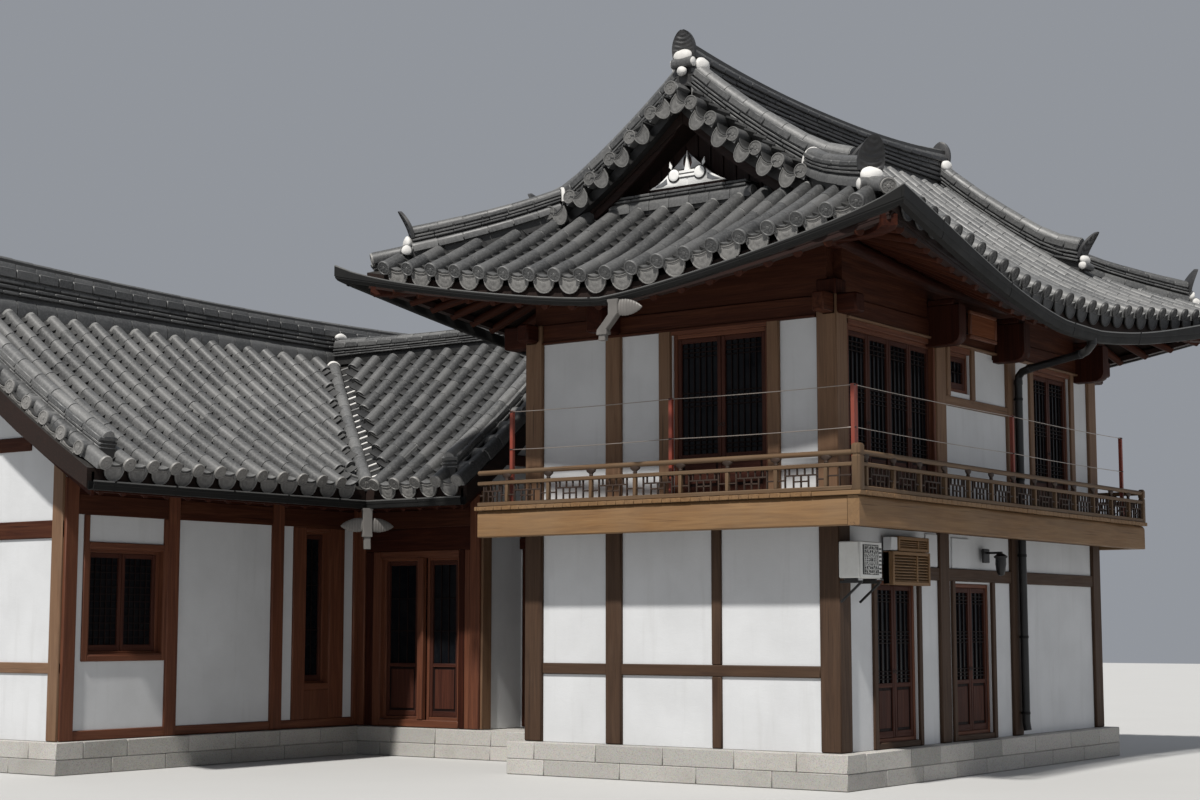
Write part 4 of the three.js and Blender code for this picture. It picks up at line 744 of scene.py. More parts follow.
def tile_field(part, S, rows, dmin, dmax, m_cover=0, m_pan=1, m_joint=2, m_end=3, eave=True, gaps=None, over=0.052, eave_rows=None, valley=False, end_cap=False, m_disc=None):
    """Rows of cover tiles with pan tiles between them on surface S."""
    # side sign so that side x tangent points up
    um = rows[len(rows) // 2]
    dd = np.linspace(0.5, 0.8, 4)
    P, t, s, n = row_frames(S, um, dd, 1)
    sg = 1 if n[0, 2] > 0 else -1
    for k, u in enumerate(rows):
        ev = eave and (eave_rows is None or eave_rows(u))
        a, b = dmin(u) - (over if ev else 0), dmax(u)
        if b - a < 0.12:
            continue
        ds = np.linspace(a, b, max(8, int((b - a) / 0.06)))
        P, t, s, n = row_frames(S, u, ds, sg)
        q, (p, tt, ss, nn), tot = resample(P, 0.302, 0.0, None, t, s, n)
        nxt = np.minimum(q + 0.302, tot)
        keep = nxt - q > 0.05
        q, p, nxt = q[keep], p[keep], nxt[keep]
        dist = np.concatenate([[0], np.cumsum(np.linalg.norm(np.diff(P, axis=0), axis=1))])
        pe = np.stack([np.interp(nxt, dist, P[:, c]) for c in range(3)], -1)
        T = unit(pe - p)
        ss = unit(np.stack([np.interp(q, dist, s[:, c]) for c in range(3)], -1))
        K = len(q)
        jit = rng.normal(0, 0.0022, (K, 1))
        yaw = rng.normal(0, 0.006, (K, 1))
        T2 = unit(T + yaw * ss)
        ss2 = unit(ss - (ss * T2).sum(-1, keepdims=True) * T2)
        N2 = np.cross(ss2, T2)
        sc = np.stack([1 + rng.normal(0, 0.012, K), np.linalg.norm(pe - p, axis=1), 1 + rng.normal(0, 0.012, K)], -1)
        part.stamp(T_COVER, p + ss * jit + N2 * (C_COVER + rng.normal(0, 0.0015, (K, 1))), ss2, T2, N2, sc, mat=m_cover)
        # mortar seen in the joints
        th = arc(0, 180, 7)
        rj = R_COVER - 0.0065
        prof = np.concatenate([[(rj - 0.0015, -0.07)], np.stack([rj * np.cos(th), rj * np.sin(th)], -1), [(0.0015 - rj, -0.07)]])
        w = np.unique(np.r_[0:len(P):3, len(P) - 1])
        part.sweep(P[w] + n[w] * C_COVER, prof, side=s[w], up=n[w], mat=m_joint)
        if ev:
            part.stamp(T_DISC, P[0] - t[0] * 0.020 + n[0] * (C_COVER + 0.004), s[0], t[0], n[0], mat=m_end if m_disc is None else m_disc)
        elif valley:
            part.stamp(T_DISC, P[0] - t[0] * 0.016 + n[0] * (C_COVER - 0.003), s[0], t[0], n[0], mat=m_cover)
        if end_cap:
            part.stamp(T_DISC, P[-1] + t[-1] * 0.018 + n[-1] * (C_COVER - 0.004), -s[-1], -t[-1], n[-1], mat=m_end)
    mids = [(rows[k] + rows[k + 1]) / 2 for k in range(len(rows) - 1)] if gaps is None else gaps
    for u in mids:
        ev = eave and (eave_rows is None or eave_rows(u))
        a, b = dmin(u) - (over - 0.014 if ev else 0), dmax(u)
        if b - a < 0.1:
            continue
        ds = np.linspace(a, b, max(8, int((b - a) / 0.06)))
        P, t, s, n = row_frames(S, u, ds, sg)
        q, (p, tt, ss, nn), tot = resample(P, 0.142, 0.0, None, t, s, n)
        K = len(q)
        tt, ss, nn = unit(tt), unit(ss), unit(nn)
        ln = np.minimum(0.142, tot - q + 0.01)
        sc = np.stack([1 + rng.normal(0, 0.01, K), ln, 1 + rng.normal(0, 0.05, K)], -1)
        part.stamp(T_PAN, p + nn * (0.012 + rng.normal(0, 0.002, (K, 1))) + ss * rng.normal(0, 0.002, (K, 1)), ss, tt, nn, sc, mat=m_pan)
        if ev:
            ang = math.radians(16)
            f = unit(t[0] * math.cos(ang) - n[0] * math.sin(ang))
            upv = np.cross(s[0], f)
            part.stamp(T_PLATE, P[0] - t[0] * 0.006 + n[0] * 0.048, s[0], f, upv, mat=m_end)
            part.stamp(T_PAN_WIDE, P[0] + t[0] * 0.004 + n[0] * 0.040, s[0], t[0], n[0], np.array([[1.0, 0.10, 1.0]]), mat=m_cover)


TILE_MATS = [M_TILE, M_PAN, M_JOINT, M_END, M_DARK, M_LIME, M_END_SHADE, M_TILE2, M_TILE3]
ROW_X = [0.17 + 0.322 * k for k in range(-4, 25)]
ROW_Y = [-1.002 + 0.332 * k for k in range(19)]


def long_dmax(x):
    u = min(x - XA, XB - x)
    return D - 0.11 if u > 1.56 else u - 0.07


def skirt_dmax(y):
    u = min(y - YA, YB - y)
    if u + OUT < 1.1 + OUT:
        u = (u + OUT) / (1 + OUT / 1.1)
    return min(u - 0.07, 1.62)


def zero(u):
    return 0.0


def roof_piece(name, S, rows, dmax, dmin=zero, **kw):
    p = Part(name, "tile", TILE_MATS)
    tile_field(p, S, rows, dmin, dmax, **kw)
    return p


def at_eave(dmin):
    return lambda u: dmin(u) <= 0.0


W_ROWS = [5.43 + 0.33 * k for k in range(15)]
R_ROWS = [RV0 + 0.16 + 0.33 * k for k in range(35)]


def w_dmin(y):
    return 0.0 if y < REY0 - 0.10 else max(0.0, y - REY0) + 0.43


def rw_dmin(x):
    return 0.0 if x < WEX0 - 0.28 else max(0.0, x - WEX0) / KW + 0.30


def re_dmin(x):
    return 0.0 if x > WEX1 + 0.28 else max(0.0, WEX1 - x) / KW + 0.30


def d_low(u):
    return 2.99


def raised(S, u0, u1, up=0.075, reach=0.95):
    """The same surface with its eave lifted most at mid length, fading up the slope."""
    def f(u, d):
        q = np.abs((u - (u0 + u1) / 2) / ((u1 - u0) / 2))
        lift = up * np.clip(1 - q ** 3, 0, 1) * np.clip(1 - np.maximum(d, 0) / reach, 0, 1) ** 1.6
        return S(u, d) + lift[..., None] * np.array([0, 0, 1.0])
    return f


# the front and back eaves end in the near-black end tiles (index 6): painted shade
roof_piece("main_tiles_front", raised(s_front, XA, XB), ROW_X, long_dmax, m_end=6).build()
roof_piece("main_tiles_back", raised(s_back, XA, XB), ROW_X, long_dmax, m_end=6).build()
# the skirts use the darker tile copy (index 7) for covers and end discs: painted shade
roof_piece("main_tiles_left", raised(s_left, YA, YB), ROW_Y, skirt_dmax, m_cover=7, m_disc=7).build()
roof_piece("main_tiles_right", raised(s_right, YA, YB), ROW_Y, skirt_dmax, m_cover=7, m_disc=7).build()
# the wing roofs use the darker tile copy (index 7): painted shade
roof_piece("wing_tiles_west", s_wwest, W_ROWS, d_low, w_dmin, eave_rows=at_eave(w_dmin), valley=True, m_cover=7).build()
roof_piece("wing_tiles_east", s_weast, W_ROWS, d_low, w_dmin, eave_rows=at_eave(w_dmin), valley=True, m_cover=7).build()
# the range roofs use the other darker tile copy (index 8): painted shade
roof_piece("range_tiles_south_west", s_rsouth, [x for x in R_ROWS if x < WRX - 0.2], d_low, rw_dmin, eave_rows=at_eave(rw_dmin), valley=True, m_cover=8).build()
roof_piece("range_tiles_south_east", s_rsouth, [x for x in R_ROWS if x > WRX + 0.2 and x < RV1 - 0.1], d_low, re_dmin, eave_rows=at_eave(re_dmin), valley=True, m_cover=8).build()
roof_piece("range_tiles_north", s_rnorth, [x for x in R_ROWS if x < RV1 - 0.1], d_low, over=-0.118, m_cover=8).build()


# -------------------------------------------------- ridges and their ornaments
RIDGE_MATS = [M_RIDGE, M_DARK, M_JOINT, M_LIME, M_END, M_TILE, M_SHIELD]


def dome_pts(r, z, n=11, a0=0, a1=180):
    th = arc(a0, a1, n)
    return np.stack([r * np.cos(th), z * np.sin(th)], -1)


def ridge(part, base, top, side, layers, L=0.30, core=(0.0, 0.93), core_hw=0.085, dip=0.0):
    """Stack of tile courses along base; layers are (kind, from, to, half width, material)."""
    base, top = np.asarray(base, float), np.asarray(top, float)
    H = top - base[:, 2]
    side = np.broadcast_to(np.asarray(side, float), base.shape)
    n0 = len(part.v)
    for li, (kind, f0, f1, hw, mat) in enumerate(layers):
        f = (f0 + f1) / 2 if kind == "slab" else f0
        P = base + np.array([0, 0, 1.0]) * (f * H)[:, None]
        d = np.concatenate([[0], np.cumsum(np.linalg.norm(np.diff(P, axis=0), axis=1))])
        n = max(1, int(round(d[-1] / L)))
        cuts = np.linspace(0, d[-1], n + 1)
        if kind == "slab" and n > 1:
            cuts[1:-1] += rng.uniform(-0.05, 0.05, n - 1) + (0.5 * L if li % 2 else 0) * 0.5
        at = lambda q, A: np.stack([np.interp(q, d, A[:, k]) for k in range(3)], -1)
        a, b = at(cuts[:-1], P), at(cuts[1:], P)
        X = unit(b - a)
        S = unit(at((cuts[:-1] + cuts[1:]) / 2, side))
        S = unit(S - (S * X).sum(-1, keepdims=True) * X)
        Z = np.cross(X, S)
        Z = np.where(Z[:, 2:3] < 0, -Z, Z)
        Hm = np.interp((cuts[:-1] + cuts[1:]) / 2, d, H)
        th = (f1 - f0) * Hm * np.abs(Z[:, 2])
        ln = np.linalg.norm(b - a, axis=1)
        K = n
        if kind == "slab":
            hs = np.stack([ln / 2 - 0.0025, np.full(K, hw) + rng.normal(0, 0.003, K), th / 2], -1)
            part.bars((a + b) / 2 + Z * rng.normal(0, 0.001, (K, 1)), X, S, Z, hs, 0.010, mat)
        else:
            sc = np.stack([np.full(K, hw / R_COVER), ln, th / R_COVER], -1)
            part.stamp(T_COVER, a + Z * rng.normal(0, 0.001, (K, 1)), S, X, Z, sc, mat=mat)
            pr = np.concatenate([[(hw * 0.9, -0.03)], dome_pts(hw * 0.93, 1.0, 9) * [1, 1], [(-hw * 0.9, -0.03)]])
            rings = []
            for k in range(len(P)):
                t3 = unit(P[min(k + 1, len(P) - 1)] - P[max(k - 1, 0)])
                s3 = unit(side[k] - np.dot(side[k], t3) * t3)
                u3 = np.cross(t3, s3)
                u3 = u3 if u3[2] > 0 else -u3
                hh = (f1 - f0) * H[k] * abs(u3[2]) * 0.93
                rings.append(P[k] + pr[:, 0:1] * s3 + pr[:, 1:2] * np.where(pr[:, 1:2] < 0, 1, hh) * u3)
            part.add(loft(rings, mat=2))
    # packed filling behind the courses
    lo, hi = core
    rings = []
    for k in range(len(base)):
        z0, z1 = base[k] + [0, 0, lo * H[k] - dip], base[k] + [0, 0, hi * H[k]]
        rings.append([z0 - side[k] * core_hw, z0 + side[k] * core_hw, z1 + side[k] * core_hw * 0.75, z1 - side[k] * core_hw * 0.75])
    part.add(loft(rings, mat=1))


def shield(part, P, out, w=0.135, h=0.42, lean=0.14, mat=6, th=0.032, ribs=6.0, power=2.6):
    """Upright end tile: leaf outline, raised rim, wavy ribs, leaning outward at the top."""
    out = unit(np.array([out[0], out[1], 0.0]))
    s = np.array([-out[1], out[0], 0.0])
    nv, nu = 44, 15
    rings = []
    u = np.linspace(-1, 1, nu)
    for v in np.linspace(0, 0.995, nv):
        ww = w * (1 - v ** power) ** 0.5 * (0.90 + 0.30 * v * (1 - v) * 2)
        o = lean * v ** 1.7
        edge = np.abs(u)
        rim = 0.007 * np.clip((edge - 0.84) / 0.06, 0, 1) * np.clip((1 - v) * 14, 0, 1)
        rim = np.maximum(rim, 0.007 * np.clip((v - 0.90) * 22, 0, 1))
        wave = 0.006 * np.sin(2 * np.pi * (ribs * v + 0.42 * np.cos(2.6 * u))) * np.clip((0.82 - edge) * 8, 0, 1) * np.clip((0.90 - v) * 12, 0, 1)
        cup = -0.018 * (1 - edge ** 2)
        fr = np.stack([u * ww, np.full(nu, o) + th / 2 + rim + wave + cup * 0.5], -1)
        bk = np.stack([u[::-2] * ww, np.full(len(u[::-2]), o) - th / 2 + cup[::-2] * 0.5], -1)
        q = np.concatenate([fr, bk])
        rings.append(P + np.array([0, 0, h * v]) + q[:, 0:1] * s + q[:, 1:2] * out)
    G = loft(rings, mat=mat, wear=0.15 + 0.75 * (np.linspace(0, 1, nv) > 0.93))
    part.add(G)


def blob(part, P, X, Y, Z, r, mat=3, lump=0.07, cut=None):
    """Lump of lime mortar: an uneven rounded body."""
    X, Y, Z = unit(np.array(X, float)), unit(np.array(Y, float)), unit(np.array(Z, float))
    ph = rng.uniform(0, 6.28, 6)
    rings = []
    n = 18
    th = np.arange(n) * 2 * np.pi / n
    for a in np.linspace(-1.45, 1.45, 13):
        c, sn = np.cos(a), np.sin(a)
        l = 1 + lump * (np.sin(2 * th + ph[0] + 2 * a) + 0.6 * np.sin(3 * th + ph[1] - 3 * a) + 0.4 * np.sin(5 * th + ph[2] + 4 * a))
        y, z = c * np.cos(th) * l, c * np.sin(th) * l
        if cut is not None:
            z = np.maximum(z, cut)
        rings.append(P + X * (sn * r[0]) + (y * r[1])[:, None] * Y + (z * r[2])[:, None] * Z)
    part.add(loft(rings, mat=mat, wear=np.zeros(13)))


def bolster(part, P, X, Z, length, r, mat=5, disc=3, both=True):
    """A single cover tile lying crosswise, its ends closed by mortar discs."""
    X, Z = unit(np.array(X, float)), np.array(Z, float)
    S = unit(np.cross(X, Z)); Z = np.cross(S, X)
    Z = Z if Z[2] > 0 else -Z
    th = np.radians(np.linspace(-50, 230, 19))
    prof = np.stack([r * np.cos(th), r * np.sin(th)], -1)
    rings = [P + X * (length * a) + (prof[:, 0:1] * S + prof[:, 1:2] * Z) * k for a, k in ((-0.5, 0.93), (-0.48, 1.0), (0.0, 1.0), (0.48, 1.0), (0.5, 0.93))]
    part.add(loft(rings, mat=mat, wear=[0.8, 0.2, 0, 0.2, 0.8]))
    for sg in ((-1, 1) if both else (-1,)):
        c = P + X * (sg * (length * 0.5 - 0.004))
        th = np.arange(18) * 2 * np.pi / 18
        rr = 0.95 + 0.05 * np.sin(3 * th + rng.uniform(0, 6))
        R = [c + X * (sg * y) + (k * r * rr[:, None]) * (np.cos(th)[:, None] * S + np.sin(th)[:, None] * Z) for k, y in ((0.86, 0.0), (0.88, 0.012), (0.6, 0.024), (0.2, 0.028))]
        part.add(loft(R, mat=disc))


def hip_xy(left, front, d):
    x = XA + d if left else XB - d
    y = YA + d - OUT * near0(d) if front else YB - d + OUT * near0(d)
    return x, y


HIP_LAYERS = [("round", 0.0, 0.26, 0.125, 0), ("slab", 0.24, 0.34, 0.118, 0), ("slab", 0.40, 0.50, 0.112, 0), ("slab", 0.55, 0.76, 0.118, 0), ("round", 0.74, 1.0, 0.088, 0)]
DESC_LAYERS = [("slab", 0.00, 0.09, 0.132, 0), ("slab", 0.15, 0.23, 0.126, 0), ("slab", 0.29, 0.38, 0.128, 0), ("slab", 0.43, 0.72, 0.122, 0), ("round", 0.70, 1.0, 0.098, 5)]
for left in (True, False):
    for front in (True, False):
        nm = ("front" if front else "back") + "_" + ("left" if left else "right")
        p = Part("hip_and_verge_ridge_" + nm, "tile", RIDGE_MATS, ("hip_ridge_" + nm,))
        sx, sy = (-1.0 if left else 1.0), (-1.0 if front else 1.0)
        # descending ridge along the verge
        dd = np.linspace(3.06, 1.08, 28)
        x = 0.38 if left else XA + XB - 0.38
        y = YA + dd if front else YB - dd
        zb = np.where(dd > 1.442, 6.39 + 0.60 * (dd - 1.442) + 0.085 * (dd - 1.442) ** 2, 6.39 + 0.30 * (dd - 1.442))
        zb = zb - 0.02
        ridge(p, np.stack([np.full(28, x), y, zb], -1), zb + 0.335, [1.0, 0, 0], DESC_LAYERS, core=(0, 0.9), dip=0.20)
        e = np.array([x, y[-1], zb[-1]])
        shield(p, e + [0, sy * 0.0, 0.055], (0, sy), w=0.128, h=0.33, lean=0.22, ribs=5)
        blob(p, e + [0, sy * 0.045, 0.03], [1, 0, 0], [0, 1, 0], [0, 0, 1], (0.120, 0.055, 0.075))
        bolster(p, e + [0, sy * 0.06, -0.05], [1, 0, 0], [0, 0, 1], 0.25, 0.058, mat=0)
        # hip ridge to the corner
        dd = np.linspace(1.44, 0.33, 22)
        hx, hy = hip_xy(left, front, dd)
        zt = np.maximum(z_long(hx, dd), z_short(hy, dd)) + 0.165
        B = np.stack([hx, hy, zt], -1)
        s = np.array([sy, -sx, 0.0]) / math.sqrt(2)
        out = np.array([sx, sy, 0.0]) / math.sqrt(2)
        ridge(p, B, zt + 0.225 + 0.03 * ((1.44 - dd) / 1.11) ** 2, s, HIP_LAYERS, core=(0, 0.92), dip=0.19)
        # rounded inner end, limewashed
        c0 = B[0] - out * 0.005
        th = arc(0, 180, 15)
        R = []
        for k, y0 in ((1.0, 0.0), (1.06, 0.006), (1.06, 0.035), (0.98, 0.045)):
            R.append(np.concatenate([c0 + [0, 0, 0.05] - out * y0 + k * (0.118 * np.cos(th)[:, None] * s + 0.175 * np.sin(th)[:, None] * np.array([0, 0, 1.0])),
                                     c0 + [0, 0, 0.05] - out * y0 + (k - 0.14) * (0.118 * np.cos(th[::-1])[:, None] * s + 0.175 * np.sin(th[::-1])[:, None] * np.array([0, 0, 1.0]))]))
        p.add(loft(R, mat=3))
        # cover tile running out over the corner
        dq = np.linspace(0.36, 0.045, 6)
        cx, cy = hip_xy(left, front, dq)
        C = np.stack([cx, cy, np.maximum(z_long(cx, dq), z_short(cy, dq)) + 0.125], -1)
        pr = [(0.088 * np.cos(a), 0.088 * np.sin(a)) for a in np.radians(np.linspace(-35, 215, 13))]
        tc = unit(C[-1] - C[-2])
        p.sweep(C, pr, side=s, mat=0)
        nz = np.cross(s, tc)
        nz = nz if nz[2] > 0 else -nz
        p.stamp(T_DISC, C[-1] + tc * 0.022, s, -tc, nz, mat=4)
        # corner end: shield, dome, cross tile and wedge
        E = B[-1]
        shield(p, E + [0, 0, 0.10] + out * 0.0, out, w=0.135, h=0.32, lean=0.15, ribs=5)
        blob(p, E + [0, 0, 0.045] + out * 0.05, s, out, [0, 0, 1], (0.115, 0.055, 0.085))
        bolster(p, E + [0, 0, -0.050] + out * 0.075, s, [0, 0, 1], 0.27, 0.066, mat=0)
        blob(p, E + [0, 0, -0.135] + out * 0.11, s, out, [0, 0, 1], (0.07, 0.05, 0.06))
        for sg in (-1, 1):
            blob(p, E + [0, 0, -0.150] + out * 0.13 + s * sg * 0.085, s, out, [0, 0, 1], (0.045, 0.05, 0.045), lump=0.12)
        for q, dz in ((0.02, -0.115), (0.05, -0.150)):
            p.bars(E + out * (q + 0.09) + [0, 0, dz], s, out, [0, 0, 1.0], [0.075, 0.055, 0.010], 0.004, 0)
        p.build()

# main ridge
p = Part("main_ridge_courses", "tile", RIDGE_MATS, ("main_ridge",))
xs = np.linspace(0.25, 6.56, 60)
sx = np.abs((xs - 3.405) / 3.285)
top = 7.885 + 0.20 * sx ** 2.2
B = np.stack([xs, np.full(60, YR), np.full(60, 7.43)], -1)
# all main ridge courses but the top round use index 6, the near-black tile: painted shade on the ridge face
MAIN_LAYERS = [("round", 0.0, 0.20, 0.150, 6), ("slab", 0.22, 0.30, 0.128, 6), ("slab", 0.335, 0.415, 0.124, 6), ("slab", 0.45, 0.53, 0.120, 6), ("slab", 0.565, 0.645, 0.116, 6),
               ("slab", 0.68, 0.79, 0.128, 6), ("round", 0.77, 1.0, 0.090, 0)]
ridge(p, B, top, [0, 1.0, 0], MAIN_LAYERS, core=(0, 0.95), core_hw=0.105, dip=0.16)
for left in (True, False):
    sx = -1.0 if left else 1.0
    X0 = 0.265 if left else 6.545
    shield(p, np.array([X0, YR, 7.84]), (sx, 0), w=0.148, h=0.335, lean=0.030, ribs=7, power=2.8)
    blob(p, np.array([X0 + sx * 0.035, YR, 7.875]), [0, 1, 0], [1, 0, 0], [0, 0, 1], (0.120, 0.045, 0.075))
    bolster(p, np.array([X0 + sx * 0.030, YR, 7.795]), [0, 1, 0], [0, 0, 1], 0.26, 0.062, mat=0)
    for sy in (-1, 1):
        # limewashed heads of the two verge ridges, and the mortar edge of the long ridge
        blob(p, np.array([X0 - sx * 0.125, YR + sy * 0.155, 7.775]), [1, 0, 0], [0, 1, 0], [0, 0, 1], (0.115, 0.060, 0.095))
        if not left:
            p.tube([[X0 - sx * 0.02, YR + sy * 0.125, 7.56], [X0 - sx * 0.03, YR + sy * 0.128, 7.70], [X0 - sx * 0.02, YR + sy * 0.125, 7.86]], 0.022, 8, 3)
    blob(p, np.array([X0 + sx * 0.055, YR, 7.700]), [0, 1, 0], [1, 0, 0], [0, 0, 1], (0.06, 0.045, 0.055))
p.build()

# ------------------------------------------------------------ gable ends, main
Z_V = lambda d: 6.298 + 0.49 * (d - 1.444) + 0.137 * (d - 1.444) ** 2
for left in (True, False):
    nm = "left" if left else "right"
    sx = 1.0 if left else -1.0
    fx = (lambda x: x) if left else (lambda x: XA + XB - x)
    p = Part("verge_tiles_" + nm, "tile", [M_TILE2, M_PAN, M_DARK, M_VERGE, W_BOARD, M_LIME])
    for front in (True, False):
        sy = 1.0 if front else -1.0
        Y = lambda d: YA + d if front else YB - d
        # places along the slope, 0.30 apart from the foot
        ds = (1.50, 1.775, 2.05, 2.33, 2.61, 2.86) if front else (1.42, 1.705, 1.99, 2.265, 2.54, 2.82, 3.085)
        for k, d in enumerate(ds):
            slope = 0.49 + 0.274 * (d - 1.444)
            T = unit(np.array([0, sy, slope]))
            N = unit(np.array([0, -sy * slope, 1.0]))
            P = np.array([fx(0.015), Y(d), Z_V(d)])
            X = np.array([sx, 0, 0.0])
            p.stamp(T_COVER, P, T, X, N, np.array([[1.0, 0.36, 1.0]]), mat=0)
            p.stamp(T_DISC, P - X * 0.012, T, X, N, mat=3)
            if d < 2.95:
                dm = d + 0.142
                Pm = np.array([fx(0.0), Y(dm), Z_V(dm) - 0.088])
                T2 = unit(np.array([0, sy, 0.49 + 0.274 * (dm - 1.444)]))
                N2 = unit(np.array([0, -sy * (0.49 + 0.274 * (dm - 1.444)), 1.0]))
                p.stamp(T_PLATE, Pm, T2, X, N2, np.array([[0.73, 1.0, 0.98]]), mat=3)
                p.stamp(T_PAN_WIDE, Pm + X * 0.004 - N2 * 0.005, T2, X, N2, np.array([[0.84, 0.34, 1.0]]), mat=1)
        # bedding under the verge and the barge board
        dd = np.linspace(1.36, 3.08, 24)
        zz = Z_V(dd)
        for a, b, zo, h2, mt in ((0.12, 0.34, -0.10, 0.13, 2),):
            R = [[[fx(a), Y(q), z + zo - h2], [fx(b), Y(q), z + zo - h2], [fx(b), Y(q), z + 0.02], [fx(a), Y(q), z + zo]] for q, z in zip(dd, zz)]
            p.add(loft(R, mat=mt))
        db = np.linspace(1.36, 3.102, 26)
        R = [[[fx(0.245), Y(q), Z_V(q) - 0.36], [fx(0.285), Y(q), Z_V(q) - 0.36], [fx(0.285), Y(q), Z_V(q) - 0.16], [fx(0.245), Y(q), Z_V(q) - 0.16]] for q in db]
        G = loft(R)
        p.add(G, 4, G[0][:, [1, 0, 2]] + rng.uniform(0, 30, 3))
        # first round of the foot, where verge meets skirt
        blob(p, np.array([fx(0.10), Y(1.36), Z_V(1.36) - 0.05]), [1, 0, 0], [0, 1, 0], [0, 0, 1], (0.08, 0.05, 0.05), mat=5)
    p.build()

    # boards, each cut to the slope, with narrow cover strips
    base = ZES + 0.5176 * 1.79 + 0.060 * 1.79 ** 2 + 0.03
    under = lambda y: float(b_long(np.array(0.6), np.array(min(y - YA, YB - y)))) - 0.012
    g = Part("gable_boards_" + nm, "gable_board", [W_BOARD, M_ORN, M_GREYP, M_DARK], ("gable_wall_" + nm,))
    y = YA + 0.98
    while y < YB - 0.98:
        y1 = min(y + 0.165, YB - 0.98)
        za, zb_ = under(y), under(y1)
        lo = base
        if max(za, zb_) > lo + 0.03:
            pts = [(y + 0.002, lo), (y1 - 0.002, lo), (y1 - 0.002, max(zb_, lo + 0.01)), (y + 0.002, max(za, lo + 0.01))]
            if y < YR < y1:
                pts = [(y + 0.002, lo), (y1 - 0.002, lo), (y1 - 0.002, zb_), (YR, under(YR)), (y + 0.002, za)]
            R = [[[fx(xx), q[0], q[1]] for q in pts] for xx in (0.552, 0.556, 0.60)]
            G = loft(R)
            gv = G[0][:, [2, 1, 0]] + rng.uniform(0, 30, 3)
            g.add(G, 0, gv)
        if za > lo + 0.06:
            g.box(min(fx(0.532), fx(0.556)), max(fx(0.532), fx(0.556)), y - 0.014, y + 0.014, lo, za - 0.03, 0, 0.004)
        y = y1

    def relief(pts, x0, x1, mat, bev=0.006):
        pts = np.array(pts, float)
        c = pts.mean(0)
        R = []
        for xx, k in ((x0, 1.0), (x1 + (x0 - x1) * 0.25, 1.0), (x1, 1 - bev / 0.08)):
            q = c + (pts - c) * k
            R.append(np.stack([np.full(len(q), fx(xx - 0.20)), q[:, 0], q[:, 1]], -1))
        g.add(loft(R, mat=mat))
    oy = 2.010
    M = lambda pts: [(oy + a, b - 0.055) for a, b in pts]
    # plinth that carries the ornament forward of the boards
    R = [[[fx(xx), oy + a, b] for a, b in ((-0.47, 6.40), (0.47, 6.40), (0.40, 6.47), (0.27, 6.55), (0.16, 6.66), (0.0, 6.80), (-0.16, 6.66), (-0.27, 6.55), (-0.40, 6.47))] for xx in (0.335, 0.56)]
    g.add(loft(R, mat=0))
    for sg in (-1, 1):
        # swept foot of the white ground and its grey fields
        relief(M([(0, 6.50), (sg * 0.50, 6.50), (sg * 0.42, 6.535), (sg * 0.33, 6.585), (sg * 0.26, 6.64), (sg * 0.20, 6.69), (sg * 0.13, 6.665), (0, 6.66)]), 0.532, 0.512, 1)
        relief(M([(sg * 0.035, 6.685), (sg * 0.060, 6.74), (sg * 0.050, 6.80), (sg * 0.012, 6.865), (sg * 0.12, 6.76), (sg * 0.19, 6.70), (sg * 0.12, 6.68)]), 0.530, 0.518, 2)
        relief(M([(sg * 0.27, 6.60), (sg * 0.36, 6.545), (sg * 0.43, 6.515), (sg * 0.33, 6.515), (sg * 0.26, 6.54)]), 0.514, 0.506, 2)
        for r, y0, mt, q in ((0.082, 0.0, 3, 0.012), (0.066, 0.006, 1, 0.016)):
            th = np.arange(28) * 2 * np.pi / 28
            R = [np.stack([np.full(28, fx(0.314 - y0 - dx)), oy + sg * 0.168 + rr * np.cos(th), 6.567 + rr * np.sin(th)], -1) for dx, rr in ((0.0, r), (q * 0.7, r), (q, r - 0.008), (q + 0.001, r * 0.5))]
            g.add(loft(R, mat=mt))
        relief(M([(sg * 0.205, 6.69), (sg * 0.235, 6.72), (sg * 0.228, 6.785), (sg * 0.195, 6.73)]), 0.516, 0.506, 1)
    relief(M([(-0.036, 6.66), (0.036, 6.66), (0.020, 6.73), (0.006, 6.80), (0.0, 6.885), (-0.006, 6.80), (-0.020, 6.73)]), 0.530, 0.504, 1)
    for z in (6.607, 6.650):
        relief(M([(-0.105, z - 0.014), (0.105, z - 0.014), (0.105, z + 0.014), (-0.105, z + 0.014)]), 0.516, 0.498, 1)
        relief(M([(-0.100, z - 0.026), (0.100, z - 0.026), (0.100, z - 0.019), (-0.100, z - 0.019)]), 0.516, 0.506, 3)
    g.build()

    # two courses of tiles along the foot of the boards
    c = Part("gable_foot_courses_" + nm, "tile", RIDGE_MATS)
    ys = np.linspace(1.06, 3.08, 22)
    zz = 6.395 + 0.0 * ys
    x0 = fx(0.40)
    for (zo, h2, a, b) in ((0.022, 0.030, 0.30, 0.56), (-0.020, 0.026, 0.28, 0.54)):
        n = 7
        cut = np.linspace(1.24, 2.98, n + 1) + np.concatenate([[0], rng.uniform(-0.05, 0.05, n - 1), [0]])
        for k in range(n):
            c.box(min(fx(a), fx(b)), max(fx(a), fx(b)), cut[k] + 0.003, cut[k + 1] - 0.003, 6.36 + zo, 6.36 + zo + h2, 0, 0.008, axis=1)
    n = 7
    cut = np.linspace(1.18, 3.03, n + 1)
    P = np.stack([np.full(n, fx(0.34)), cut[:-1], np.full(n, 6.275)], -1)
    c.stamp(T_COVER, P, np.array([[1.0, 0, 0]]) * sx, np.array([[0, 1.0, 0]]), np.array([[0, 0, 1.0]]), np.stack([np.full(n, 0.85), np.diff(cut), np.full(n, 0.85)], -1), mat=0)
    c.box(min(fx(0.30), fx(0.55)), max(fx(0.30), fx(0.55)), 1.20, 3.01, 6.16, 6.345, 1, 0.01)
    for yy, sg in ((1.18, -1), (3.03, 1)):
        c.stamp(T_DISC, np.array([fx(0.34), yy + sg * 0.012, 6.275]), np.array([1.0, 0, 0]), np.array([0, -sg, 0.0]), np.array([0, 0, 1.0]), np.array([[0.86, 1, 0.86]]), mat=4)
    c.build()

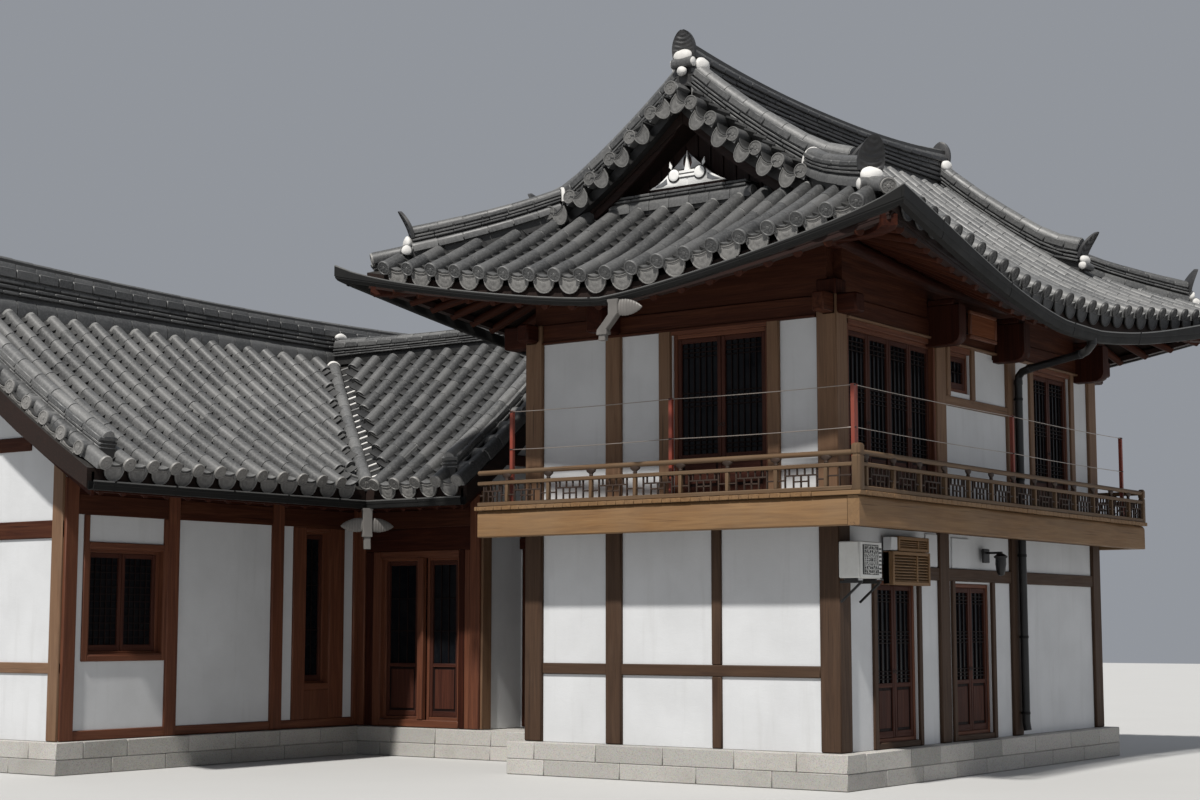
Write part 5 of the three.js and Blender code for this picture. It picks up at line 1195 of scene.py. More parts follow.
# ---------------------------------------------------------- eaves, seen from below
def long_pt(x, d, front, dz=0.0):
    y = YA + d + bow_long(x, d) if front else YB - d - bow_long(x, d)
    return np.array([float(x), float(y), float(b_long(x, d)) + dz])


def short_pt(y, d, left, dz=0.0):
    x = XA + d + bow_short(y, d) if left else XB - d - bow_short(y, d)
    return np.array([float(x), float(y), float(b_short(y, d)) + dz])


e = Part("main_rafters_round", "timber", [W_EAVE, W_RAFT, W_BOARD], ("main_rafters",))
CORN = 1.33
FAN = 2.25


def rafter(fn, a, lo, hi, side, r=0.058):
    """Round rafter whose inner end is gathered towards the building corner."""
    u = min(a - lo, hi - a)
    if u < FAN:
        t = (u - 0.28) / (FAN - 0.28)
        inner = CORN + (FAN - CORN) * t
        b = lo + inner if a - lo < hi - a else hi - inner
    else:
        b = a
    path = []
    dend = 1.42 if u >= 1.0 else 1.30
    for q in np.linspace(0, 1, 7):
        d = 0.035 + (dend - 0.035) * q
        c = a + (b - a) * q
        path.append(fn(c, d, side, -0.045 - r))
    rr = r * np.array([0.80, 0.93, 1.0, 1.02, 1.03, 1.04, 1.05])
    e.tube(path, rr, 12, 1, cap=0.10)


for side in (True, False):
    a = XA + 0.30
    xs = np.linspace(XA + 0.30, XB - 0.30, 27)
    for x in xs:
        rafter(long_pt, float(x), XA, XB, side)
    for y in np.linspace(YA + 0.16, YB - 0.16, 18):
        rafter(short_pt, float(y), YA - OUT, YB + OUT, side)
# eave boards on the rafter tips and the thin board under the tiles
for side in (True, False):
    xs = np.linspace(XA + 0.03, XB - 0.03, 60)
    P = np.array([long_pt(x, 0.055, side, -0.070) for x in xs])
    e.sweep(P, [(-0.045, -0.033), (0.045, -0.033), (0.045, 0.033), (-0.045, 0.033)], side=[0, 1.0, 0], mat=2)
    P = np.array([long_pt(x, 0.022, side, -0.020) for x in xs])
    e.sweep(P, [(-0.018, -0.022), (0.018, -0.022), (0.018, 0.022), (-0.018, 0.022)], side=[0, 1.0, 0], mat=2)
    ys = np.linspace(YA - OUT + 0.03, YB + OUT - 0.03, 44)
    P = np.array([short_pt(y, 0.055, side, -0.070) for y in ys])
    e.sweep(P, [(-0.045, -0.033), (0.045, -0.033), (0.045, 0.033), (-0.045, 0.033)], side=[1.0, 0, 0], mat=2)
    P = np.array([short_pt(y, 0.022, side, -0.020) for y in ys])
    e.sweep(P, [(-0.018, -0.022), (0.018, -0.022), (0.018, 0.022), (-0.018, 0.022)], side=[1.0, 0, 0], mat=2)
# corner rafters
for left in (True, False):
    for front in (True, False):
        out = np.array([-1.0 if left else 1.0, -1.0 if front else 1.0, 0]) / math.sqrt(2)
        sd = np.array([out[1], -out[0], 0])
        R = []
        for d, hh in ((0.03, 0.11), (0.06, 0.15), (0.25, 0.20), (0.5, 0.23), (0.9, 0.24), (1.2, 0.24), (1.42, 0.24)):
            x, y = hip_xy(left, front, d)
            z = min(float(b_long(np.array(x), np.array(d))), float(b_short(np.array(y), np.array(d)))) - 0.035 - d * 0.02
            w = 0.078
            c = np.array([x, y, 0])
            q = [(-w, z - hh + 0.008), (-w + 0.010, z - hh), (w - 0.010, z - hh), (w, z - hh + 0.008), (w, z), (-w, z)]
            R.append([c + sd * a + [0, 0, b] for a, b in q])
        e.add(loft(R, mat=0))
e.build()

# beams on the walls: plate, round purlin and the long boards between
b = Part("eave_beam_timbers", "timber", [W_EAVE, W_BEAM], ("eave_beams",))
for front in (True, False):
    y0 = 0.10 if front else LY - 0.10
    xs = np.linspace(-0.32, LX + 0.32, 30)
    zt = np.array([float(b_long(np.array(x), np.array(1.175))) - 0.165 for x in xs])
    P = np.stack([xs, np.full(30, y0), (zt + 5.04) / 2], -1)
    R = []
    for x, z in zip(xs, zt):
        th = np.arange(14) * 2 * np.pi / 14
        zc, rz = z - 0.105, 0.105
        R.append(np.stack([np.full(14, x), y0 + 0.112 * np.cos(th), zc + rz * np.sin(th)], -1))
    b.add(loft(R, mat=0))
    R = [[[x, y0 - 0.07, 5.003], [x, y0 + 0.07, 5.003], [x, y0 + 0.07, z - 0.12], [x, y0 - 0.07, z - 0.12]] for x, z in zip(xs[2:-2], zt[2:-2])]
    b.add(loft(R, mat=1))
for left in (True, False):
    x0 = 0.10 if left else LX - 0.10
    ys = np.linspace(-0.32, LY + 0.32, 22)
    zt = np.array([float(b_short(np.array(y), np.array(1.325))) - 0.165 for y in ys])
    R = []
    for y, z in zip(ys, zt):
        th = np.arange(14) * 2 * np.pi / 14
        R.append(np.stack([x0 + 0.112 * np.cos(th), np.full(14, y), z - 0.105 + 0.105 * np.sin(th)], -1))
    b.add(loft(R, mat=0))
    R = [[[x0 - 0.07, y, 5.003], [x0 + 0.07, y, 5.003], [x0 + 0.07, y, z - 0.12], [x0 - 0.07, y, z - 0.12]] for y, z in zip(ys[2:-2], zt[2:-2])]
    b.add(loft(R, mat=1))
b.build()

# ---------------------------------------------------------------------- gutter
GX0, GX1, GY0, GY1, GZ, GLIFT = -1.50, 8.31, -1.57, 5.58, 4.97, 0.60


def gutter_path(n1=40, n2=28):
    pts = []

    def lng(front, rev):
        for i in range(n1):
            t = 1 - i / n1 if rev else i / n1
            x = GX0 + (GX1 - GX0) * t
            g = float(fall(x - GX0, U_LONG + 0.2) + fall(GX1 - x, U_LONG + 0.2))
            o = 0.30 * (1 - g)
            pts.append([x, GY0 + o if front else GY1 - o, GZ + GLIFT * g])

    def sht(left, rev):
        for i in range(n2):
            t = 1 - i / n2 if rev else i / n2
            y = GY0 + (GY1 - GY0) * t
            g = float(fall(y - GY0, U_SHORT + 0.27) + fall(GY1 - y, U_SHORT + 0.27))
            o = 0.14 * (1 - g)
            pts.append([GX0 + o if left else GX1 - o, y, GZ + GLIFT * g])
    lng(True, False); sht(False, False); lng(False, True); sht(True, True)
    return np.array(pts)


def loop_frame(P, closed=True):
    a, c = np.roll(P, 1, 0), np.roll(P, -1, 0)
    if not closed:
        a[0], c[-1] = P[0] - (P[1] - P[0]), P[-1] + (P[-1] - P[-2])
    d1, d2 = unit((P - a)[:, :2]), unit((c - P)[:, :2])
    n1, n2 = np.stack([d1[:, 1], -d1[:, 0]], -1), np.stack([d2[:, 1], -d2[:, 0]], -1)
    m = unit(n1 + n2)
    s = 1 / np.maximum(0.5, (m * n1).sum(-1))
    return np.concatenate([m * s[:, None], np.zeros((len(P), 1))], -1)


def gutter(part, P, out, prof, lipc, closed=True, r=0.0095, mat=0, lip=1, deep=None, rise=None):
    prof = np.array(prof, float)
    dz = np.ones(len(P)) if deep is None else deep
    ez = np.zeros(len(P)) if rise is None else rise
    top = ((prof[:, 0] > -0.05) & (prof[:, 1] > -0.012)).astype(float)
    lift = (ez[:, None] * top[None, :])[:, :, None]
    rings = P[:, None] + prof[None, :, 0:1] * out[:, None] + (prof[None, :, 1:2] * dz[:, None, None] + lift) * np.array([0, 0, 1.0])
    part.add(loft(rings, loop=closed, mat=mat))
    th = np.arange(8) * 2 * np.pi / 8
    pr = np.stack([lipc[0] + r * np.cos(th), lipc[1] + r * np.sin(th)], -1)
    rings = P[:, None] + pr[None, :, 0:1] * out[:, None] + (pr[None, :, 1:2] + ez[:, None, None]) * np.array([0, 0, 1.0])
    part.add(loft(rings, loop=closed, mat=lip))


g = Part("main_gutter_sheet", "gutter_metal", [K_GUTTER, K_LIP, K_OUTLET], ("main_gutter",), angle=30)
P = gutter_path()
out = loop_frame(P)
PROF = [(-0.004, -0.004), (-0.004, -0.028), (-0.010, -0.032), (-0.010, -0.046), (-0.030, -0.074), (-0.096, -0.078), (-0.108, -0.068), (-0.108, -0.010), (-0.102, -0.010),
        (-0.101, -0.066), (-0.093, -0.073), (-0.033, -0.069), (-0.017, -0.044), (-0.017, -0.034), (-0.010, -0.026), (-0.010, -0.004)]
# deeper on the long sides
ki = np.arange(len(P))
ALONG = np.minimum(P[:, 0] - GX0, GX1 - P[:, 0])
ON_LONG = ((ki >= 0) & (ki <= 40)) | ((ki >= 68) & (ki <= 108))
DEEP = np.where(ON_LONG, 1.22 + 0.58 * np.clip((ALONG - 0.3) / 2.6, 0, 1), 1.0)
DEEP = (np.roll(DEEP, 1) + DEEP + np.roll(DEEP, -1)) / 3
# the outer wall stands higher towards the upturned corners
ACROSS = np.minimum(P[:, 1] - GY0, GY1 - P[:, 1])
EASE = np.clip((ALONG - 0.25) / 3.4, 0, 1)
RISE = np.where(ON_LONG, 0.095 * (1 - EASE * EASE * (3 - 2 * EASE)), 0.095 * np.exp(-ACROSS / 0.42))
gutter(g, P, out, PROF, (-0.0115, -0.0095), deep=DEEP, rise=RISE)
# folded seams and straps
seg = np.linalg.norm(np.roll(P, -1, 0) - P, axis=1)
acc, q = 0.0, 1.0
for k in range(len(P)):
    if acc + seg[k] > q:
        t = (q - acc) / seg[k]
        c = P[k] * (1 - t) + P[(k + 1) % len(P)] * t
        dr = unit(P[(k + 1) % len(P)] - P[k])
        o = unit(out[k] * np.array([1, 1, 0]))
        ring = [(-0.0015, 0.0), (-0.0015, -0.029), (-0.0075, -0.033), (-0.0075, -0.047), (-0.028, -0.0765), (-0.040, -0.0785), (-0.036, -0.072), (-0.014, -0.046), (-0.014, -0.035), (-0.006, -0.027), (-0.006, 0.0)]
        R = [[c + dr * a + o * x + np.array([0, 0, 1.0]) * (z * DEEP[k] + (RISE[k] if z == 0.0 else 0.0)) for x, z in ring] for a in (-0.016, 0.016)]
        g.add(loft(R, mat=0))
        q += 1.85
    acc += seg[k]


def outlet(part, c, s, o, drop, bend=0.0, mat=2, leaf=((-1, 0.30), (1, 0.30))):
    """Leader box under a gutter: neck, ribbed spindle, spout with a cut edge. s along, o outward."""
    c, s, o = np.array(c, float), np.array(s, float), np.array(o, float)
    U = np.array([0, 0, 1.0])
    th = lambda w, dpt: [(-w, -dpt), (w, -dpt), (w, dpt), (-w, dpt)]

    def pipe(path, w, dpt):
        R = []
        for q in path:
            cc = c + s * q[0] + U * q[1]
            ww, d2 = w * q[2], dpt * q[2]
            R.append([cc + s * a + o * b for a, b in ((-ww + 0.008, -d2), (ww - 0.008, -d2), (ww, -d2 + 0.008), (ww, d2 - 0.008), (ww - 0.008, d2), (-ww + 0.008, d2), (-ww, d2 - 0.008), (-ww, -d2 + 0.008))])
        part.add(loft(R, mat=mat))
    pipe([(0, 0.0, 1.12), (0, -0.02, 1.12), (0, -0.035, 1.0), (0, -0.15, 1.0), (bend * 0.45, -0.22, 1.0), (bend, -0.30, 1.0), (bend, -0.335, 1.06), (bend, -0.35, 1.06)], 0.060, 0.042)
    pipe([(bend, -0.34, 1), (bend + 0.004, -drop, 1)], 0.042, 0.032)
    # leaf-shaped wings across the neck, ribbed like a folded leaf
    n = 20
    a = np.arange(n) * 2 * np.pi / n
    zc = -0.20 if bend == 0 else -0.085
    for sg, ln in leaf:
        R, wr = [], []
        for q in np.linspace(0, 1, 37):
            h2 = 0.082 * max(0.0, math.sin(math.pi * min(1.0, 0.30 + 0.70 * q))) ** 0.75 + 0.002
            rib = 0.0045 * (0.5 + 0.5 * math.cos(2 * math.pi * q * 9)) * min(1.0, (1 - q) * 6)
            dp = 0.020 * (1 - q) ** 0.5 + 0.004 + rib
            R.append(c + s * (sg * (0.030 + ln * q)) + U * (zc - 0.02 * q) + (dp * np.cos(a))[:, None] * o + ((h2 + rib) * np.sin(a))[:, None] * U)
            wr.append(rib * 120)
        part.add(loft(R, mat=mat, wear=np.array(wr)))


outlet(g, (-1.356, 1.80, 4.922), (0, 1.0, 0), (-1.0, 0, 0), 0.41, 0.14, leaf=((-1, 0.31),))
outlet(g, (6.81 + 1.356, 1.80, 4.922), (0, 1.0, 0), (1.0, 0, 0), 0.41, 0.14, leaf=((-1, 0.31),))
g.build()

dp = Part("downpipe_round", "gutter_metal", [K_BLACK, K_GUTTER], ("downpipe",))
path = np.array([[3.76, -1.20, 4.85], [3.76, -1.195, 4.79], [3.775, -1.13, 4.73], [3.80, -1.04, 4.705], [4.18, -0.26, 4.642], [4.25, -0.13, 4.618], [4.284, -0.072, 4.575], [4.29, -0.060, 4.50], [4.29, -0.060, 2.0], [4.29, -0.060, 0.52], [4.29, -0.075, 0.42]])
dp.tube(path, 0.046, 18, 0, cap=0.02)
dp.tube([[3.76, -1.20, 4.875], [3.76, -1.20, 4.79]], 0.054, 18, 0, cap=0.05)
for z in (4.30, 3.35, 2.45, 1.5, 0.62):
    dp.tube([[4.29, -0.060, z - 0.016], [4.29, -0.060, z + 0.016]], 0.050, 18, 1, cap=0.05)
    dp.box(4.282, 4.298, -0.030, 0.030, z - 0.012, z + 0.012, 1, 0.002)
for a, bb in (((4.18, -0.26, 4.642), 0.052), ((3.80, -1.04, 4.705), 0.052), ((4.29, -0.060, 4.50), 0.052)):
    i = [k for k in range(len(path)) if np.allclose(path[k], a)][0]
    t = unit(path[min(i + 1, len(path) - 1)] - path[i - 1])
    dp.tube([np.array(a) - t * 0.03, np.array(a) + t * 0.03], bb, 16, 0, cap=0.1)
dp.build()

# ------------------------------------------------------- timber frame and walls
POSTS_X = [0, 2.253, 4.12, 6.57]
PD = 0.17
# index 4 (W_LOW) is the darker post timber for the ground-floor members: painted shade
FRAME_MATS = [W_POST, W_BEAM, W_FRAME, W_EAVE, W_LOW]
f = Part("timber_frame_front_members", "timber", FRAME_MATS, ("timber_frame_front",))
for x in POSTS_X:
    d = POST - 0.003 if x in (POSTS_X[0], POSTS_X[-1]) else PD
    f.box(x, x + POST, 0, d, Z_FLOOR1 + 0.001, 2.72, 4, 0.012)
    f.box(x, x + POST, 0, d, 2.72, 5.0, 0, 0.012)
f.box(0.0, LX, 0.006, PD - 0.004, 4.78, 5.0, 1, 0.012)
f.box(0.245, LX - 0.245, -0.020, 0.10, 4.775, 4.80, 0, 0.006)
f.box(0.0, LX, 0.004, PD, 2.64, 2.93, 1, 0.012)
f.box(2.45, 4.2, 0.012, 0.12, 4.08, 4.19, 0, 0.008)
for a in ((0.2, 2.3, 0.012, 0.12, 2.12, 2.26), (2.3, 4.2, 0.012, 0.12, 2.12, 2.26), (4.2, 6.6, 0.012, 0.12, 2.12, 2.26)):
    f.box(*a, 4, 0.008)
for a in ((3.17, 3.27, 0.010, 0.12, 4.19, 4.80), (2.56, 2.64, 0.012, 0.12, 4.19, 4.80), (4.78, 4.89, 0.01, 0.12, 2.93, 4.79), (6.01, 6.13, 0.01, 0.12, 2.93, 4.79)):
    f.box(*a, 0, 0.008)
for a in ((0.74, 0.82, 0.01, 0.12, 0.361, 2.13), (1.75, 1.83, 0.01, 0.12, 0.361, 2.13), (2.57, 2.65, 0.01, 0.12, 0.361, 2.13), (3.59, 3.68, 0.01, 0.12, 0.361, 2.13)):
    f.box(*a, 4, 0.008)
# surround of the wide doors and inner casings
for a in ((0.238, 0.288, 0.015, 0.12, 2.93, 4.78), (2.205, 2.253, 0.015, 0.12, 2.93, 4.78)):
    f.box(*a, 2, 0.008)
f.box(0.24, 2.25, 0.015, 0.12, 4.715, 4.78, 2, 0.008)
f.box(2.66, 3.165, 0.02, 0.12, 4.705, 4.78, 2, 0.006)
f.box(4.89, 6.01, 0.015, 0.12, 4.72, 4.78, 2, 0.008)
f.box(0.24, 6.57, 0.012, 0.12, 2.93, 2.985, 0, 0.008)
f.box(0.82, 1.75, 0.015, 0.12, 0.361, 0.425, 4, 0.008)
f.box(2.65, 3.59, 0.015, 0.12, 0.361, 0.425, 4, 0.008)
# beam heads: square ends with a rounded underside and a shallow carved line
for x in (2.19, 3.89, 6.28):
    R = []
    w = 0.088
    for y, zb in ((-0.360, 4.80), (-0.352, 4.765), (-0.33, 4.725), (-0.27, 4.695), (-0.18, 4.69), (0.05, 4.69)):
        k = 0.985 if y == -0.360 else 1.0
        R.append([[x - w * k, y, zb + 0.01], [x - w * k + 0.012, y, zb], [x + w * k - 0.012, y, zb], [x + w * k, y, zb + 0.01], [x + w * k, y, 5.125], [x + w * k - 0.012, y, 5.135], [x - w * k + 0.012, y, 5.135], [x - w * k, y, 5.125]])
    f.add(loft(R, mat=3))
    f.box(x - 0.105, x + 0.105, -0.30, 0.02, 5.135, 5.20, 3, 0.012, axis=0)
for x in (0.12, 6.69):
    f.box(x - 0.10, x + 0.10, -0.22, 0.02, 4.80, 5.0, 3, 0.02, axis=1)
    f.box(x - 0.115, x + 0.115, 0.004, 0.236, 4.99, 5.16, 3, 0.012, axis=2)
f.box(LX, LX + 0.33, 0.02, 0.16, 4.78, 5.0, 1, 0.014, axis=0)
f.box(-0.22, 0.0, 0.02, 0.16, 4.80, 5.0, 1, 0.014, axis=0)
f.build()

f = Part("timber_frame_left_members", "timber", FRAME_MATS, ("timber_frame_left",))
f.box(0.006, PD - 0.004, POST + 0.001, LY - POST - 0.001, 4.78, 5.0, 1, 0.012)
f.box(-0.018, 0.10, POST + 0.004, LY - POST - 0.004, 4.775, 4.80, 1, 0.006)
f.box(0.004, PD, POST + 0.001, LY - POST - 0.001, 2.64, 2.93, 1, 0.012)
f.box(0, PD, 2.69, 2.90, Z_FLOOR1 + 0.001, 2.72, 4, 0.012)
f.box(0, PD, 2.69, 2.90, 2.72, 5.0, 0, 0.012)
f.box(0.0, 0.12, 0.685, 0.832, 2.93, 4.79, 0, 0.010)
f.box(0.0, 0.12, 2.036, 2.19, 2.93, 4.79, 0, 0.010)
f.box(0.012, 0.12, 0.83, 2.04, 4.735, 4.79, 2, 0.008)
f.box(0.012, 0.12, POST, 3.79, 2.93, 2.985, 0, 0.008)
f.box(0.012, 0.12, POST + 0.001, LY - POST - 0.001, 1.1, 1.22, 4, 0.010)
f.box(0.012, 0.12, 1.42, 1.54, 1.22, 2.64, 4, 0.010)
f.box(0.012, 0.12, 1.42, 1.54, 0.361, 1.10, 4, 0.010)
f.box(-0.22, 0.0, LY - 0.20, LY - 0.04, 4.80, 5.0, 3, 0.02, axis=0)
# tie beam head over the middle post
f.box(-0.36, 0.02, 2.69, 2.90, 4.80, 5.12, 3, 0.02, axis=0)
f.build()

for nm, sgn in (("back", 1), ("right", 0)):
    f = Part("timber_frame_%s_members" % nm, "timber", FRAME_MATS, ("timber_frame_" + nm,))
    if nm == "back":
        for x in POSTS_X:
            y0 = LY - POST + 0.003 if x in (POSTS_X[0], POSTS_X[-1]) else LY - PD
            f.box(x, x + POST, y0, LY, Z_FLOOR1 + 0.001, 2.72, 4, 0.012)
            f.box(x, x + POST, y0, LY, 2.72, 5.0, 0, 0.012)
        f.box(0, LX, LY - PD + 0.004, LY - 0.006, 4.78, 5.0, 1, 0.012)
        f.box(0, LX, LY - PD, LY - 0.004, 2.64, 2.93, 1, 0.012)
        f.box(0.24, 2.6, LY - 0.12, LY - 0.012, 1.1, 1.22, 4, 0.010)
        f.box(4.8, 6.57, LY - 0.12, LY - 0.012, 1.1, 1.22, 4, 0.010)
        f.box(0.24, 6.57, LY - 0.12, LY - 0.012, 3.60, 3.70, 0, 0.010)
        f.box(5.3, 5.42, LY - 0.12, LY - 0.012, 3.70, 4.79, 0, 0.010)
        f.box(1.2, 1.32, LY - 0.12, LY - 0.012, 3.70, 4.79, 0, 0.010)
        for x in (2.37, 4.24):
            f.box(x - 0.115, x + 0.115, LY, LY + 0.34, 4.72, 5.12, 3, 0.02, axis=1)
        for x in (0.12, 6.69):
            f.box(x - 0.11, x + 0.11, LY, LY + 0.33, 4.76, 5.02, 3, 0.02, axis=1)
    else:
        f.box(LX - PD + 0.004, LX - 0.006, POST + 0.001, LY - POST - 0.001, 4.78, 5.0, 1, 0.012)
        f.box(LX - PD, LX - 0.004, POST + 0.001, LY - POST - 0.001, 2.64, 2.93, 1, 0.012)
        f.box(LX - PD, LX, 2.69, 2.90, Z_FLOOR1 + 0.001, 2.72, 4, 0.012)
        f.box(LX - PD, LX, 2.69, 2.90, 2.72, 5.0, 0, 0.012)
        f.box(LX - 0.12, LX, 0.885, 1.0, 2.93, 4.79, 0, 0.010)
        f.box(LX - 0.12, LX, 2.2, 2.315, 2.93, 4.79, 0, 0.010)
        f.box(LX - 0.12, LX - 0.01, 1.0, 2.2, 3.50, 3.60, 0, 0.010)
        f.box(LX - 0.12, LX - 0.01, 1.0, 2.2, 4.60, 4.68, 2, 0.010)
        f.box(LX - 0.12, LX - 0.012, POST + 0.001, LY - POST - 0.001, 1.1, 1.22, 4, 0.010)
        f.box(LX, LX + 0.36, 2.69, 2.90, 4.80, 5.12, 3, 0.02, axis=0)
        for y in (0.12, LY - 0.12):
            f.box(LX, LX + 0.34, y - 0.10, y + 0.10, 4.76, 5.02, 3, 0.02, axis=0)
    f.build()


# ---------------------------------------------------------------- doors, windows
def leaves(part, origin, U, O, w, h, n, panel=0.42, cols=4, style="bars", gap_mid=0.0, thick=0.040):
    """Row of lattice leaves. origin: lower left on the outer face, U along, O outward."""
    U, O, Z = np.array(U, float), np.array(O, float), np.array([0, 0, 1.0])
    origin = np.array(origin, float)

    def bar(u0, u1, z0, z1, o0, o1, mat, bev=0.004):
        c = origin + U * (u0 + u1) / 2 + Z * (z0 + z1) / 2 + O * (o0 + o1) / 2
        a, b2, d = (u1 - u0) / 2, (z1 - z0) / 2, (o1 - o0) / 2
        if a >= b2:
            part.bars(c, U, O, Z, [a, abs(d), b2], bev, mat)
        else:
            part.bars(c, Z, O, U, [b2, abs(d), a], bev, mat)
    j = 0.045                                           # jamb
    bar(0, j, 0, h, -0.055, 0.004, 1)
    bar(w - j, w, 0, h, -0.055, 0.004, 1)
    bar(j, w - j, h - j, h, -0.055, 0.004, 1)
    bar(j, w - j, 0, 0.04, -0.055, 0.004, 1)
    lw = (w - 2 * j) / n
    for k in range(n):
        a, b2 = j + lw * k + 0.003, j + lw * (k + 1) - 0.003
        z0, z1 = 0.043, h - j - 0.003
        st = 0.046
        bar(a, a + st, z0, z1, -0.040, -0.004, 0)
        bar(b2 - st, b2, z0, z1, -0.040, -0.004, 0)
        bar(a + st, b2 - st, z1 - 0.052, z1, -0.040, -0.005, 0)
        bar(a + st, b2 - st, z0, z0 + 0.070, -0.040, -0.005, 0)
        lo = z0 + 0.070
        if panel > 0:
            bar(a + st, b2 - st, lo + panel, lo + panel + 0.045, -0.040, -0.005, 0)
            bar(a + st - 0.004, b2 - st + 0.004, lo - 0.004, lo + panel + 0.004, -0.030, -0.020, 4, 0.003)
            bar(a + st + 0.03, b2 - st - 0.03, lo + 0.03, lo + panel - 0.03, -0.022, -0.014, 0, 0.006)
            lo = lo + panel + 0.045
        hi = z1 - 0.052
        # glass behind the lattice
        bar(a + st - 0.004, b2 - st + 0.004, lo - 0.004, hi + 0.004, -0.036, -0.029, 2, 0.001)
        iw = (b2 - a) - 2 * st
        for c in range(1, cols):
            u = a + st + iw * c / cols
            bar(u - 0.0055, u + 0.0055, lo, hi, -0.028, -0.013, 4, 0.002)
        H = hi - lo
        if style == "bars":
            zs = [lo + H * q for q in (0.045, 0.085, 0.125, 0.43, 0.47, 0.51, 0.55, 0.875, 0.915, 0.955)]
        elif style == "grid":
            m = max(2, int(round(H / (iw / cols))))
            zs = [lo + H * q / m for q in range(1, m)]
        else:
            zs = [lo + H * q for q in (0.33, 0.66)]
        for z in zs:
            bar(a + st, b2 - st, z - 0.0055, z + 0.0055, -0.026, -0.011, 4, 0.002)
        # ring pull on the meeting stile
        if n > 1 and h > 1.2:
            u = b2 - st / 2 if k % 2 == 0 else a + st / 2
            c = origin + U * u + Z * (z0 + h * 0.42) + O * 0.002
            th = np.linspace(0, 2 * np.pi, 17)
            ring = np.stack([c + U * 0.018 * math.sin(q) + Z * (-0.018 + 0.018 * math.cos(q)) for q in th[:-1]])
            m8 = np.arange(6) * 2 * np.pi / 6
            R = []
            for q, pt in zip(th[:-1], ring):
                rd = U * math.sin(q) + Z * math.cos(q)
                R.append(pt + 0.0028 * (np.cos(m8)[:, None] * rd + np.sin(m8)[:, None] * O))
            part.add(loft(np.array(R), loop=True, mat=3))


DOOR_MATS = [W_STILE, W_FRAME, GLASS, K_BLACK, W_LATT]
for nm, b0, n, pan, cols, st in (("upper_front_doors_wide", (0.283, 2.247, 2.98, 4.72), 4, 0.30, 4, "bars"), ("upper_front_window", (2.667, 3.158, 4.25, 4.71), 1, 0, 3, "grid"),
                                 ("upper_front_doors_narrow", (4.90, 6.0, 2.98, 4.725), 2, 0.30, 4, "bars"), ("lower_front_door_left", (0.83, 1.74, 0.42, 2.10), 2, 0.45, 3, "bars"),
                                 ("lower_front_door_right", (2.66, 3.58, 0.42, 2.10), 2, 0.45, 3, "bars")):
    p = Part(nm + "_leaves", "joinery", DOOR_MATS, (nm,))
    leaves(p, (b0[0] + 0.002, 0.068, b0[2] + 0.002), (1, 0, 0), (0, -1, 0), b0[1] - b0[0] - 0.004, b0[3] - b0[2] - 0.004, n, pan, cols, st)
    leaves(p, (b0[1] - 0.002, 0.150, b0[2] + 0.002), (-1, 0, 0), (0, 1, 0), b0[1] - b0[0] - 0.004, b0[3] - b0[2] - 0.004, n, pan, cols, st)
    p.build()
p = Part("upper_left_doors_leaves", "joinery", DOOR_MATS, ("upper_left_doors",))
leaves(p, (0.068, 2.028, 2.982), (0, -1, 0), (-1, 0, 0), 1.190, 1.756, 2, 0.30, 6, "bars")
leaves(p, (0.150, 0.838, 2.982), (0, 1, 0), (1, 0, 0), 1.190, 1.756, 2, 0.30, 6, "bars")
p.build()
p = Part("upper_right_window_leaves", "joinery", DOOR_MATS, ("upper_right_window",))
leaves(p, (LX - 0.068, 1.002, 3.602), (0, 1, 0), (1, 0, 0), 1.196, 0.996, 2, 0, 5, "grid")
leaves(p, (LX - 0.150, 2.198, 3.602), (0, -1, 0), (-1, 0, 0), 1.196, 0.996, 2, 0, 5, "grid")
p.build()

# ------------------------------------------------------- board, louvres, unit
p = Part("name_board_blank", "sign_board", [W_SIGN, W_FRAME, K_BLACK], ("name_board",))
# the real board leans forward a little; here it stands upright: a panel in a moulded frame, with nothing on it
p.box(2.735, 3.405, -0.192, -0.168, 4.855, 5.145, 0, 0.004, axis=0)
for k, (a, c) in enumerate(((4.84, 4.885), (5.115, 5.16))):
    p.box(2.72, 3.42, -0.204, -0.160, a, c, 1, 0.010, axis=0)
for a in (2.72, 3.375):
    p.box(a, a + 0.045, -0.203, -0.161, 4.884, 5.116, 1, 0.010, axis=2)
for a in (2.83, 3.31):
    p.box(a - 0.012, a + 0.012, -0.17, 0.0, 4.90, 4.925, 2, 0.003)
    p.box(a - 0.010, a + 0.010, -0.185, -0.02, 5.12, 5.14, 2, 0.003)
p.build()

p = Part("louvre_box_slats", "timber", [W_DECK, W_POST, M_DARK, M_WALL], ("louvre_box",))


def louvre(x0, x1, z0, z1, y0, n, st=0.035):
    # dark board behind the slats: painted shade for the dark opening
    p.box(x0, x1, y0 + 0.05, -0.002, z0 + 0.01, z1 - 0.01, 2, 0.003)
    for a in (x0, x1 - st):
        p.box(a, a + st, y0, y0 + 0.055, z0, z1, 0, 0.005, axis=2)
    for a in (z0, z1 - st):
        p.box(x0 + st, x1 - st, y0 + 0.002, y0 + 0.053, a, a + st, 0, 0.005, axis=0)
    xm = x0 + (x1 - x0) * 0.66
    p.box(xm - 0.012, xm + 0.012, y0 + 0.004, y0 + 0.05, z0 + st, z1 - st, 0, 0.004, axis=2)
    for k in range(n):
        z = z0 + st + (z1 - z0 - 2 * st) * (k + 0.5) / n
        c = np.array([(x0 + x1) / 2, y0 + 0.030, z])
        a = math.radians(32)
        p.bars(c, [1.0, 0, 0], [0, math.cos(a), math.sin(a)], [0, -math.sin(a), math.cos(a)], [(x1 - x0) / 2 - st, 0.022, 0.005], 0.002, 0)
    for a in (x0, x1 - 0.02):
        p.box(a, a + 0.02, y0 + 0.05, -0.002, z0, z1, 1, 0.004)
    p.box(x0 + 0.02, x1 - 0.02, y0 + 0.05, -0.002, z0, z0 + 0.012, 1, 0.003)
    p.box(x0 + 0.02, x1 - 0.02, y0 + 0.05, -0.002, z1 - 0.012, z1, 1, 0.003)


